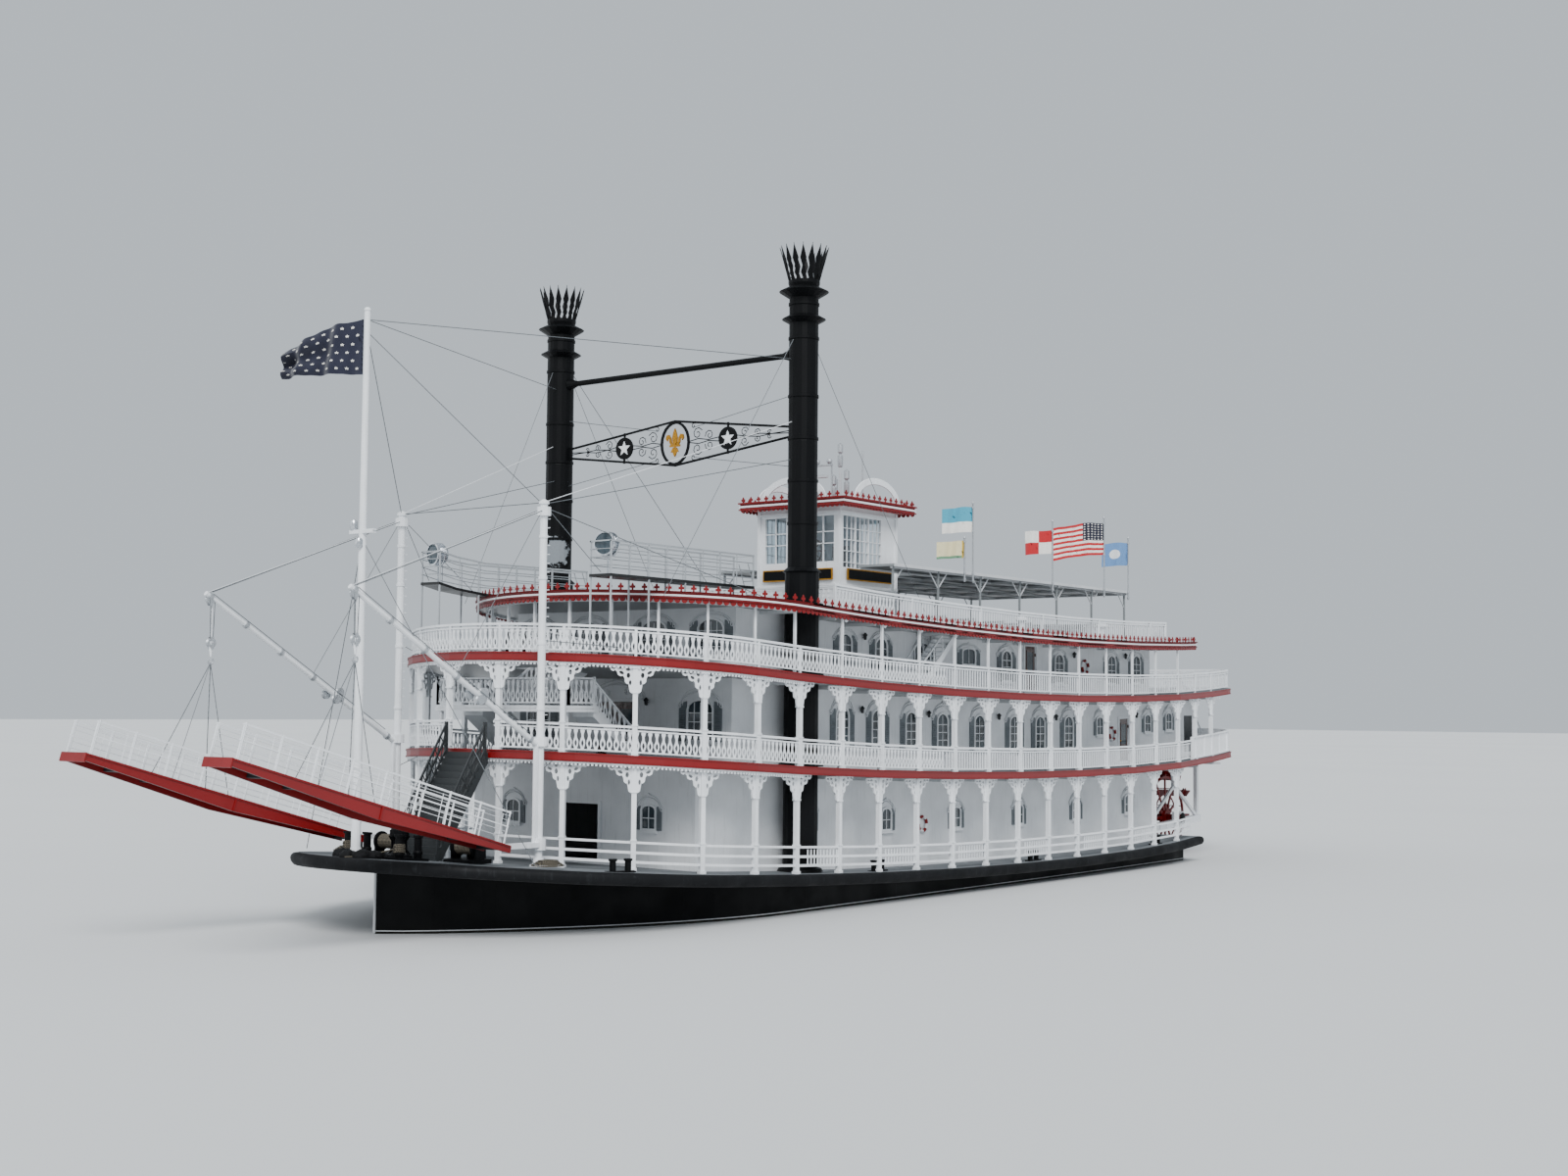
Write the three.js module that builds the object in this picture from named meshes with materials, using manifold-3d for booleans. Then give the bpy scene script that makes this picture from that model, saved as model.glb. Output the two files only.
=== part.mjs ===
// Sternwheel paddle boat with three passenger decks, as a 1:2 scale model.
// +X points to the bow, +Y to port and +Z up. The origin lies on the flat hull bottom, on the centreline,
// in the plane of the two stacks. Named sizes are metres of the full-size boat, and heights count from
// the waterline where the decks lie lowest. The boat's group is scaled to model millimetres at the end.
import * as THREE from "three";
import { mergeVertices } from "three/addons/utils/BufferGeometryUtils.js";
import Module from "manifold-3d";

const wasm = await Module();
wasm.setup();

const MODEL_SCALE = 1 / 2;
const MILLIMETRES = 1000 * MODEL_SCALE;
const GAP = 0.0006;
const SIDES = { port: 1, starboard: -1 };
// A cutting box reaches this far past what it cuts, or past the whole boat.
const PAST = 1;
const FAR = 60;
// Pieces that are joined run this far into each other.
const BITE = 0.02;

// Sheer: the decks rise towards both ends along two parabolas that meet at the lowest station.
const SHEER_LOW_X = -19.95;
const SHEER_FORWARD = 0.001238;
const SHEER_AFT = 0.00162;
const BAY = 2.646;
const SHEER_STATION = 2 * BAY;
const SNAP_STEPS = 2 ** 14;
const SHEER_STATIONS_AFT = 4;
const SHEER_STATIONS_FORWARD = 7;

// Hull and decks.
const DRAFT = 1.7;
const BILGE_HEIGHT = 0.5;
const BILGE_WIDTH = 0.45;
const RAKE_START_X = -23;
const TRANSOM_X = -32.8;
const HULL_AFT = -32.5;
const TRANSOM_FOOT = -0.1;
const STEM_X = 14.9;
const HULL_BEAM = 6.6;
const HULL_SHOULDER_X = 1;
const HULL_FULLNESS = 0.8;
const HULL_STERN_TAPER = 0.2;
const BILGE_FADE = 0.5;
const HULL_SHEER_DEPTH = 0.1;
const HALF_BEAM = 7.56;
const FENDER_WIDTH = 0.3;
const FENDER_DEPTH = 0.42;
// Deck: height of its top, and its thickness.
const MAIN = { top: 0.95, thick: 0.14 };
const FIRST = { top: 4.83, thick: 0.3 };
const SECOND = { top: 8.19, thick: 0.3 };
const ROOF = { top: 10.76, thick: 0.26 };
// Plan: bow ellipse (centre X, length ahead of it), side points X and half-width, stern corner radii.
const MAIN_PLAN = { centre: 6, nose: 10.4, sides: [[-24, 7.56], [-28.8, 7.48], [-32.8, 7.08]] };
const DECK_SIDES = [[-25, 7.56], [-30.2, 7.39], [-32.82, 7.08], [-38.07, 6.42]];
const DECK_PLAN = { centre: 4.2, nose: 6.68, sides: DECK_SIDES, corner: { length: 1.6, width: 2 } };
const ROOF_PLAN = { centre: 1.05, nose: 6.2, sides: [[-24, 7.56], [-30.2, 7.39], [-32.6, 7.12]] };
const NOSE_SEGMENTS = 11;
const CORNER_SEGMENTS = 5;

// Deck houses: front and aft wall, half-width, wall thickness.
const WALL = 0.12;
const MAIN_HOUSE = { front: 5.2, aft: -31.2, half: 5.55 };
const FIRST_HOUSE = { front: 3.2, aft: -35.9, half: 5.55 };
const SECOND_CABIN = { front: 3, aft: -30.5, half: 5.55 };
const DOOR = { width: 0.9, height: 2.05, sill: 0.14, leaf: 0.05, clearance: 0.01 };
const KNUCKLE = { radius: 0.03, length: 0.14, inset: 0.3, plate: 0.11, plate_thick: 0.02, sides: 6 };
const SALOON_DOOR_WIDTH = 0.95;
const MAIN_DOORWAY_HALF = 0.95;
const FIRST_SIDE_DOOR_X = -27.6;
const SECOND_SIDE_DOOR_X = -18.4;

// Railings and the columns that carry the deck above.
const RAIL_INSET = 0.16;
const RAIL_HEIGHT = 1;
const RAIL = { width: 0.1, depth: 0.08 };
const RAIL_SPLIT = 0.2;
const MAIN_RAIL_INSET = 0.26;
const MAIN_RAIL_AFT = -32.4;
const COLUMN = 0.17;
const COLUMN_X = 1.575;
const BOW_BAYS = 5.5;
const THIN_POST = 0.09;
const ROOF_BEAM = { inset: 0.4, width: 0.08, depth: 0.1 };
const MAIN_RAIL_FRONT = 9.4;
const BOW_GATE_HALF = 1.05;
const BULWARK = { front: -32.2, height: 1.15, thick: 0.08 };
const ROOF_RAIL = { front: -1.2, aft: -29.4, half: 6.95 };

// Stacks and what hangs between them.
const STACK_Y = 6.3;
const STACK_RADIUS = 0.555;
const STACK_FOOT_RADIUS = 0.645;
const STACK_HOLE_RADIUS = 0.68;
const STACK_SKIRT_Z = 12.55;
const STACK_SKIRT = { radius: 0.74, drop: 0.03, rise: 0.2 };
const LOWER_FLANGE = { z: 22.13, radius: 0.84, under: 0.16, over: 0.16 };
const UPPER_FLANGE = { z: 23.18, radius: 0.95, under: 0.25, over: 0.2 };
const STACK_NECK = { radius: 0.6, rise: 0.3 };
const STACK_TOP = 23.6;
const STACK_MOUTH_RADIUS = 0.5;
const STACK_SIDES = 18;
const CROWN = { spikes: 16, foot: 0.552, tip: 0.93, top: 24.9, thick: 0.04, point: 0.012 };
const CROSSBAR = { z: 20.84, radius: 0.115, flare: 0.24, cone: 0.4, sides: 12 };
const ORNAMENT = {
  z: 17.93, end: 0.19, middle: 0.885, bar: 0.05, bar_sides: 5, thick: 0.08, plate: 0.1, plate_rise: 0.08,
  hanger_foot: 0.3, hanger_head: 0.62,
};
const MEDALLION = { half_width: 0.74, half_height: 0.87, band: 0.09 };
const STAR_DISC = { y: 2.68, radius: 0.445, star: 0.36, inner: 0.15 };
const GUY_RADIUS = 0.012;
const GUY_SIDES = 5;

// Masts, booms and landing stages at the bow.
const MAST = { x: 10.94, y: 3.54, radius: 0.13, top: 14.46, head: 14.3, sides: 12 };
const MAST_FOOT = { radius: 0.26, height: 0.06 };
const MAST_CAP = { radius: 0.18, height: 0.08, point: 0.05 };
const STAY_TOP = 18.2;
const BOOM = { heel: 6.15, tip_x: 19.2, tip_z: 11.06, radius: 0.1, taper: 0.85, sides: 10 };
const COLLAR = { radius: 0.24, height: 0.3, clearance: 0.0012, head_drop: 0.4, foot_drop: 0.2 };
const ARM = { half: 0.2, under: 0.1, over: 0.06, strut_half: 0.08 };
const LIFT = { drop: 0.25, tip_gap: 0.06, inset: 0.03 };
const FALL = { radius: 0.03, block: 0.1, shackle: 0.02, block_height: 0.5, bite: 0.3, tip_drop: 0.1 };
const STAGE = { hinge_x: 12.7, hinge_z: 2.9, slope: 15.4, start: 0.14, length: 11.35, half: 0.635 };
const STAGE_GIRDER = { end: 0.21, middle: 0.44, thick: 0.08 };
const STAGE_FLOOR = { top: 0.01, thick: 0.07, tongue: 0.1 };
const STAGE_RAIL = { height: 1.05, middle: 0.6, posts: 9, thick: 0.03, post: 0.02, start: 0.3, end: 0.1, inset: 0.02 };
const STAGE_PIN = {
  radius: 0.04, bore: 0.046, knuckle: 0.1, half: 0.15, side_gap: 0.001, ear: 0.06, ear_reach: 0.07, ear_length: 0.4,
  ear_drop: 0.09, arm_gap: 0.06, sides: 12,
};
const HOOK_REACH = 18.95;
const HOOK_Z = 9.0;
const BRIDLE_AT = 7.2;

// Bow gear.
// Profiles of turned pieces list radius and height above the deck.
const JACKSTAFF = { x: 15.75, foot: 0.16, head: 0.1, base: MAIN.top + 0.1, top: 20.46, sides: 12 };
const JACKSTAFF_FLANGE = { radius: 0.26, height: 0.08 };
const JACKSTAFF_BRACKET = { z: 13.1, height: 0.1, thick: 0.2, half: 0.55 };
const CAPSTAN = {
  x: 13.9, sides: 14,
  profile: [[0, 0], [0.45, 0], [0.45, 0.12], [0.22, 0.22], [0.2, 0.6], [0.32, 0.75], [0.32, 0.95], [0, 0.95]],
};
const BITTS = {
  x: 14.6, y: 1.25, half: 0.4, sides: 10,
  profile: [[0, 0.05], [0.13, 0.05], [0.13, 0.75], [0.17, 0.75], [0.17, 0.83], [0, 0.83]],
  plate: { front: 15.25, aft: 13.9, link_aft: 15, half: 0.2, thick: 0.08 },
};

// Pilothouse.
const PILOTHOUSE = { front: -8.29, aft: -12.5, half: 2.15, foot: 12.65, sill: 13.75, lintel: 15.7, top: 16.1 };
const PILOT_WALL = 0.1;
const PILOT_CORNER = 0.25;
const PILOT_PANE = { front_post: 0.07, side_post: 0.04, side_start: 1.1, side_end: 0.2, side_drop: 0.25 };
const PILOT_AFT_PANE = { inner: 0.35, edge: 0.3 };
const PILOT_GLASS = { aft: 0.9, drop: 0.3, rise: 0.1 };
const PILOT_ROOF = { overhang: 0.62, thick: 0.3, crown: 0.22, crown_foot: 0.5, crown_head: -0.9 };
// Masts on the pilothouse roof: how far behind its front or ahead of its back, radii and height.
const RADAR = { back: 0.8, foot: 0.06, head: 0.05, height: 1.9, bar_half: 0.9, bar: 0.1, bar_z: 1.35, sides: 6 };
const WHISTLE = { ahead: 1.2, radius: 0.07, height: 2.3, sides: 6 };
const PILOT_DOOR = { y: -1.2, sill: 0.12 };
const PILOT_STEPS = { run: 1.8, steps: 7, drop: 0.05 };
const PILOT_MULLIONS = 3;
const PILOT_BASE_GROW = 0.06;
const GLASS_THICK = 0.012;

// Catwalks that run forward over the roof deck: front and aft X, lowest and highest floor.
const CATWALK = { front: 8.9, aft: 0.9, inner: 3.75, outer: 4.75, thick: 0.1, floor: 12.05, rail: 1.15 };
// The dip as distance behind the front and share of its depth.
const STARBOARD_DIP = { depth: 0.32, line: [[0, 0], [0.9, 0.55], [2.4, 1], [8, 0.9]] };
const CATWALK_POSTS = 5;
const CATWALK_POST = 0.025;
const CATWALK_RAIL = { inset: 0.03, half: 0.02, depth: 0.04, end: 0.05, cross_top: 0.005, cross_foot: 0.035 };
const CATWALK_ON_ROOF = 0.4;

// Canopy over the roof deck, with its notch round the pilothouse.
const CANOPY = {
  front: -8.6, aft: -30, half: 4.7, z: 13.45, thick: 0.1, notch_x: -13.7, notch_half: 2.85, post_inset: 0.2,
};
const CANOPY_POSTS = 7;
const CANOPY_POST = 0.04;

// Stairs: X and height of the foot and head, the middle Y, half-width and number of steps.
const STAIR_THICK = 0.16;
const BOW_STAIR = { foot: 13.2, drop: 0.12, half: 1, steps: 16 };
const LANDING = {
  front: 9.35, aft: 8.0, half: 3.3, z: 7.52, thick: 0.1, run: 2.4, steps: 9, flight_y: 2.75, upper_half: 0.65,
  leg_y: 3.1, leg: 0.12, leg_gap: 0.03, well_run: 2.6, well_gap: 0.1, well_half: 0.75,
};
const STAIR_HALF = 0.5;
const AFT_STAIR = {
  foot: -38.9, head: -35.95, y: 4.1, half: 0.5, steps: 14, well_foot: -38.3, well_side: 0.1,
};

// Paddle wheel, its beams and the rudders.
const WHEEL = { x: -37.07, z: 1.84, radius: 2.84, half: 3.5, shaft: 0.2, shaft_past: 0.1, blades: 12 };
const HUB = { radius: 0.42, half: 0.15, sides: 12 };
const ARM_BAR = { start: 0.2, short: 0.25, width: 0.11, thick: 0.07 };
const BLADE = { depth: 0.55, thick: 0.05, offset: 0.06 };
const WHEEL_RIM = { radius: 2.1, depth: 0.12, thick: 0.1 };
const WHEEL_FRAMES = [-3.2, 0, 3.2];
const WHEEL_SIDES = 24;
const BEAM = { y: 3.95, half: 0.16, front: -31.35, aft: -39.6, height: 0.36, tie_front: -32.45, tie_aft: -32.75 };
const BEAM_POST = { half: 0.1, places: [-39.3, -33.4] };
const BEARING = { half: 0.4, under: 0.3, over: 0.34 };
const BEARING_CLEARANCE = 0.0008;
const SHAFT_SIDES = 16;
const RUDDER = {
  x: -31, y: 1.9, front: -30.2, aft: -32.3, top: -0.65, foot: -1.6, thick: 0.09, stock: 0.09, stock_foot: -1.55,
  sides: 12,
};

// Flags on poles at the canopy's port edge: name, X of the pole, pole top, top edge of the flag,
// hoist, fly, finish.
const FLAG_POLES = [
  ["flag_teal", -14.8, 16.6, 16.45, 1.1, 1.45, "teal"],
  ["flag_cream", -14.1, 15.0, 14.9, 0.75, 1.3, "cream"],
  ["flag_quartered", -22.0, 16.4, 16.0, 1.1, 1.35, "scarlet"],
  ["flag_striped", -27.2, 17.0, 16.8, 1.6, 2.7, "scarlet"],
  ["flag_blue", -29.8, 16.2, 16.0, 1.15, 1.4, "sky"],
];
const BOW_FLAG = { top: 20.2, hoist: 1.83, fly: 2.9 };
const FLAG_POLE_FOOT = 13.1;
const FLAG_THICK = 0.03;
const FLAG_HEADING = THREE.MathUtils.degToRad(-53);
const POLE_RADIUS = 0.035;

// Colours as sRGB hex, roughness and metalness.
const FINISHES = {
  white: [0xe9eaec, 0.5, 0],
  red: [0xa3131b, 0.45, 0],
  black: [0x15161a, 0.4, 0],
  deck: [0x6f7478, 0.8, 0],
  steel: [0xb9bcc0, 0.35, 0.8],
  dark: [0x2b2e31, 0.6, 0],
  glass: [0x9fb3bd, 0.1, 0],
  door: [0x3a2a24, 0.5, 0],
  navy: [0x1b2340, 0.9, 0],
  teal: [0x4f9db3, 0.9, 0],
  cream: [0xd9d2b4, 0.9, 0],
  scarlet: [0xb8202a, 0.9, 0],
  sky: [0x6e8fb8, 0.9, 0],
};

const boat = new THREE.Group();
boat.position.z = DRAFT * MILLIMETRES;
boat.scale.setScalar(MILLIMETRES);

// Coordinates on a fine grid, so that faces meant to lie in one plane, and neighbouring strips, agree.
const snapped = (value) => Math.round(value * SNAP_STEPS) / SNAP_STEPS;

// Makes a closed solid of a geometry, with its shared vertices merged.
function solidOf(geometry) {
  const bare = new THREE.BufferGeometry();
  bare.setAttribute("position", geometry.getAttribute("position"));
  if (geometry.index) bare.setIndex(geometry.index);
  const merged = mergeVertices(bare, 1e-6);
  const corners = [];
  for (let i = 0; i < merged.index.count; i += 3) {
    const [a, b, c] = [0, 1, 2].map((k) => merged.index.getX(i + k));
    if (a !== b && b !== c && c !== a) corners.push(a, b, c);
  }
  const mesh = new wasm.Mesh({
    numProp: 3,
    vertProperties: merged.attributes.position.array.map(snapped),
    triVerts: new Uint32Array(corners),
  });
  return new wasm.Manifold(mesh);
}

function geometryOf(solid) {
  const mesh = solid.getMesh();
  const geometry = new THREE.BufferGeometry();
  geometry.setAttribute("position", new THREE.BufferAttribute(new Float32Array(mesh.vertProperties), 3));
  geometry.setIndex([...mesh.triVerts]);
  return geometry;
}

const join = (solids) => solids.reduce((whole, piece) => whole.add(piece));
const cut = (solid, holes) => holes.reduce((whole, hole) => whole.subtract(hole), solid);

function box(x0, x1, y0, y1, z0, z1) {
  const geometry = new THREE.BoxGeometry(x1 - x0, y1 - y0, z1 - z0);
  return solidOf(geometry.translate((x0 + x1) / 2, (y0 + y1) / 2, (z0 + z1) / 2));
}

// A box that spans the same X and Z on one side of the boat, from y0 to y1 outwards.
function sideBox(side, x0, x1, y0, y1, z0, z1) {
  return side > 0 ? box(x0, x1, y0, y1, z0, z1) : box(x0, x1, -y1, -y0, z0, z1);
}

// A round bar between two points, with its radius at each and its number of sides.
function rod(from, to, radius0, radius1 = radius0, sides = 8) {
  const a = new THREE.Vector3(...from);
  const b = new THREE.Vector3(...to);
  const geometry = new THREE.CylinderGeometry(radius1, radius0, a.distanceTo(b), sides);
  const along = new THREE.Vector3().subVectors(b, a).normalize();
  geometry.applyQuaternion(new THREE.Quaternion().setFromUnitVectors(THREE.Object3D.DEFAULT_UP, along));
  const middle = a.add(b).multiplyScalar(0.5);
  return solidOf(geometry.translate(middle.x, middle.y, middle.z));
}

// A turned solid about an upright axis at x, y. Its profile lists radius and height from the foot up.
function turned(profile, x, y, sides) {
  const geometry = new THREE.LatheGeometry(profile.map(([r, z]) => new THREE.Vector2(r, z)), sides);
  return solidOf(geometry.rotateX(Math.PI / 2).translate(x, y, 0));
}

// An outline in plan raised from z0 to z1, with holes given as outlines.
function slab(outline, z0, z1, holes = []) {
  const shape = new THREE.Shape(outline.map(([x, y]) => new THREE.Vector2(x, y)));
  shape.holes = holes.map((hole) => new THREE.Path(hole.map(([x, y]) => new THREE.Vector2(x, y))));
  const geometry = new THREE.ExtrudeGeometry(shape, { depth: z1 - z0, bevelEnabled: false });
  return solidOf(geometry.translate(0, 0, z0));
}

// An outline in X and Z made as thick as y0 to y1.
function sidePlate(outline, y0, y1) {
  const shape = new THREE.Shape(outline.map(([x, z]) => new THREE.Vector2(x, z)));
  const geometry = new THREE.ExtrudeGeometry(shape, { depth: y1 - y0, bevelEnabled: false });
  return solidOf(geometry.rotateX(Math.PI / 2).translate(0, y1, 0));
}

// The outline of a deck from its nose round the port side, mirrored to starboard, drawn in by inset.
function planOutline(plan, inset = 0) {
  const half = [];
  for (let k = 0; k <= NOSE_SEGMENTS; k++) {
    const angle = (k / NOSE_SEGMENTS) * (Math.PI / 2);
    const x = plan.centre + (plan.nose - inset) * Math.cos(angle);
    half.push([x, (HALF_BEAM - inset) * Math.sin(angle)]);
  }
  const last = plan.sides.length - 1;
  plan.sides.forEach(([x, y], k) => half.push([k === last && !plan.corner ? x + inset : x, y - inset]));
  if (plan.corner) {
    const [x, y] = plan.sides[last];
    const { length, width } = plan.corner;
    for (let k = 1; k <= CORNER_SEGMENTS; k++) {
      const angle = (k / CORNER_SEGMENTS) * (Math.PI / 2);
      half.push([x - (length - inset) * Math.sin(angle), y - width + (width - inset) * Math.cos(angle)]);
    }
  }
  const mirrored = half.slice(1).reverse().map(([x, y]) => [x, -y]);
  return [...half, ...mirrored];
}

// A band that follows a deck's edge, from one inset to another.
function planRing(plan, outer, inner, z0, z1) {
  return slab(planOutline(plan, outer), z0, z1, [planOutline(plan, inner)]);
}

// Points on a deck's port edge: around the bow from the nose, then one bay apart to the stern.
// Each is X, Y and the edge's direction there.
function columnPlaces(plan, inset, lastX) {
  const edge = planOutline(plan, inset).filter(([, y]) => y >= 0);
  const bend = edge.filter(([x]) => x > COLUMN_X);
  bend.push([COLUMN_X, HALF_BEAM - inset]);
  const lengths = bend.slice(1).map(([x, y], k) => Math.hypot(x - bend[k][0], y - bend[k][1]));
  const whole = lengths.reduce((sum, length) => sum + length, 0);
  const places = [];
  for (let k = 0; k < BOW_BAYS; k++) {
    let rest = ((k + 0.5) / BOW_BAYS) * whole;
    let i = 0;
    while (i < lengths.length - 1 && rest > lengths[i]) rest -= lengths[i++];
    const [dx, dy] = [bend[i + 1][0] - bend[i][0], bend[i + 1][1] - bend[i][1]];
    const part = rest / lengths[i];
    places.push([bend[i][0] + part * dx, bend[i][1] + part * dy, Math.atan2(dy, dx)]);
  }
  for (let x = COLUMN_X - BAY; x > lastX; x -= BAY) {
    const after = edge.findIndex((point) => point[0] < x);
    const [p, q] = [edge[after - 1], edge[after]];
    const part = (x - p[0]) / (q[0] - p[0]);
    places.push([x, p[1] + part * (q[1] - p[1]), Math.atan2(q[1] - p[1], q[0] - p[0])]);
  }
  return places;
}

// Upright square posts at the same places on both sides.
function posts(places, thick, z0, z1) {
  return places.flatMap(([x, y, angle]) =>
    Object.values(SIDES).map((side) => {
      const geometry = new THREE.BoxGeometry(thick, thick, z1 - z0);
      return solidOf(geometry.rotateZ(side * angle).translate(x, side * y, (z0 + z1) / 2));
    }),
  );
}

function sheerCurve(x) {
  const rate = x > SHEER_LOW_X ? SHEER_FORWARD : SHEER_AFT;
  return rate * (x - SHEER_LOW_X) ** 2;
}

// The sheer as built: straight between stations, so that flat pieces stay flat between them.
function sheer(x) {
  const station = Math.floor((x - SHEER_LOW_X) / SHEER_STATION);
  const [x0, x1] = [0, 1].map((step) => SHEER_LOW_X + (station + step) * SHEER_STATION);
  return sheerCurve(x0) + ((x - x0) / SHEER_STATION) * (sheerCurve(x1) - sheerCurve(x0));
}

// Lifts a solid to the sheer, strip by strip between stations. What lies above levelAbove or below
// levelBelow keeps its height.
function sheered(solid, levelAbove = Infinity, levelBelow = -Infinity) {
  const { min, max } = solid.boundingBox();
  const strips = [];
  for (let k = -SHEER_STATIONS_AFT; k < SHEER_STATIONS_FORWARD; k++) {
    const [x0, x1] = [0, 1].map((step) => snapped(SHEER_LOW_X + (k + step) * SHEER_STATION));
    if (max[0] <= x0 || min[0] >= x1) continue;
    const inside = min[0] >= x0 && max[0] <= x1;
    const strip = inside ? solid : solid.intersect(box(x0, x1, min[1] - 1, max[1] + 1, min[2] - 1, max[2] + 1));
    if (strip.isEmpty()) continue;
    const geometry = geometryOf(strip);
    const position = geometry.getAttribute("position");
    for (let i = 0; i < position.count; i++) {
      const [x, z] = [snapped(position.getX(i)), snapped(position.getZ(i))];
      const keeps = z < levelBelow || z > levelAbove;
      position.setZ(i, keeps ? z : z + sheer(x));
    }
    strips.push(solidOf(geometry));
  }
  return join(strips);
}

function add(name, solid, finish, parent = boat) {
  const [color, roughness, metalness] = FINISHES[finish];
  const material = new THREE.MeshStandardMaterial({ color, roughness, metalness });
  const mesh = new THREE.Mesh(geometryOf(solid), material);
  mesh.name = name;
  parent.add(mesh);
  return mesh;
}

// A solid between rings of like points, from the lowest up.
function loft(rings) {
  const count = rings[0].length;
  const positions = rings.flat(2);
  const cap = THREE.ShapeUtils.triangulateShape(rings[0].map(([x, y]) => new THREE.Vector2(x, y)), []);
  const index = cap.flatMap(([a, b, c]) => [a, c, b]);
  rings.slice(1).forEach((ring, level) => {
    for (let k = 0; k < count; k++) {
      const [a, b] = [level * count + k, level * count + ((k + 1) % count)];
      index.push(a, b, b + count, a, b + count, a + count);
    }
  });
  const top = (rings.length - 1) * count;
  index.push(...cap.flatMap(([a, b, c]) => [top + a, top + b, top + c]));
  const geometry = new THREE.BufferGeometry();
  geometry.setAttribute("position", new THREE.Float32BufferAttribute(positions, 3));
  geometry.setIndex(index);
  return solidOf(geometry);
}

// Hull: flat bottom, sharp plumb stem, and a bottom that rakes up to the transom.
function hull() {
  const waterlines = (inset) => {
    const half = [[STEM_X - inset, 0]];
    for (let k = 1; k <= NOSE_SEGMENTS; k++) {
      const part = k / NOSE_SEGMENTS;
      const x = STEM_X - inset - (STEM_X - HULL_SHOULDER_X) * part;
      half.push([x, (HULL_BEAM - inset) * Math.sin((part * Math.PI) / 2) ** HULL_FULLNESS]);
    }
    half.push([RAKE_START_X, HULL_BEAM - inset], [HULL_AFT, HULL_BEAM - inset - HULL_STERN_TAPER]);
    return [...half, ...half.slice(1).reverse().map(([x, y]) => [x, -y])];
  };
  const rakeLift = (x) => Math.max(0, (RAKE_START_X - x) / (RAKE_START_X - HULL_AFT)) * (TRANSOM_FOOT + DRAFT);
  const bilgeRise = (x) => BILGE_HEIGHT * (1 - BILGE_FADE * rakeLift(x));
  const bottom = waterlines(BILGE_WIDTH).map(([x, y]) => [x, y, -DRAFT + rakeLift(x)]);
  const bilge = waterlines(0).map(([x, y]) => [x, y, -DRAFT + bilgeRise(x) + rakeLift(x)]);
  const top = waterlines(0).map(([x, y]) => [x, y, MAIN.top - MAIN.thick - GAP]);
  return sheered(loft([bottom, bilge, top]), Infinity, MAIN.top - MAIN.thick - HULL_SHEER_DEPTH);
}

const stackHole = (side, z0, z1) => {
  const profile = [[0, z0], [STACK_HOLE_RADIUS, z0], [STACK_HOLE_RADIUS, z1], [0, z1]];
  return turned(profile, 0, side * STACK_Y, STACK_SIDES);
};

function deck(plan, level, wells = []) {
  const [z0, z1] = [level.top - level.thick, level.top];
  const holes = wells.map(([x0, x1, y0, y1]) => box(x0, x1, y0, y1, z0 - PAST, z1 + PAST));
  const stackHoles = Object.values(SIDES).map((side) => stackHole(side, z0 - PAST, z1 + PAST));
  return cut(slab(planOutline(plan), z0, z1), [...holes, ...stackHoles]);
}

add("hull", hull(), "black");
const fender = planRing(MAIN_PLAN, -FENDER_WIDTH, GAP, MAIN.top - FENDER_DEPTH, MAIN.top);
add("hull_fender", sheered(fender), "black");
const mainDeck = slab(planOutline(MAIN_PLAN, 2 * GAP), MAIN.top - MAIN.thick, MAIN.top);
add("main_deck", sheered(mainDeck), "deck");
const stairWell = [LANDING.aft - LANDING.well_run, LANDING.aft + LANDING.well_gap, -LANDING.well_half, LANDING.well_half];
const aftWellHalf = AFT_STAIR.half + AFT_STAIR.well_side;
const aftWell = [AFT_STAIR.well_foot, AFT_STAIR.head + GAP, AFT_STAIR.y - aftWellHalf, AFT_STAIR.y + aftWellHalf];
add("first_deck", sheered(deck(DECK_PLAN, FIRST)), "red");
add("second_deck", sheered(deck(DECK_PLAN, SECOND, [stairWell, aftWell])), "red");

add("roof_deck", sheered(deck(ROOF_PLAN, ROOF)), "red");

// A beam under the roof deck's front edge, on thin posts.
const beamTop = ROOF.top - ROOF.thick - GAP;
const roofPostPlaces = columnPlaces(ROOF_PLAN, ROOF_BEAM.inset, COLUMN_X);
const roofPosts = posts(roofPostPlaces, THIN_POST, SECOND.top + GAP, beamTop - BITE);
const [beamOuter, beamInner] = [-1, 1].map((edge) => ROOF_BEAM.inset + (edge * ROOF_BEAM.width) / 2);
const beamRing = planRing(ROOF_PLAN, beamOuter, beamInner, beamTop - ROOF_BEAM.depth, beamTop);
const bowHalf = box(COLUMN_X, FAR, -FAR, FAR, 0, FAR);
add("roof_posts", sheered(join([beamRing.intersect(bowHalf), ...roofPosts])), "white");

// One half of a deck house, from the centreline to one side, with its doorways cut.
function houseHalf(house, level, above, side, doorways) {
  const [z0, z1] = [level.top + GAP, above.top - above.thick - GAP];
  const walls = join([
    sideBox(side, house.aft, house.front, house.half - WALL, house.half, z0, z1),
    sideBox(side, house.front - WALL, house.front, GAP / 2, house.half, z0, z1),
    sideBox(side, house.aft, house.aft + WALL, GAP / 2, house.half, z0, z1),
  ]);
  return sheered(cut(walls, doorways));
}

// A doorway's box through a wall, above its sill.
function doorway(level, x0, x1, y0, y1) {
  return box(x0, x1, y0, y1, level.top + DOOR.sill, level.top + DOOR.sill + DOOR.height);
}

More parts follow.
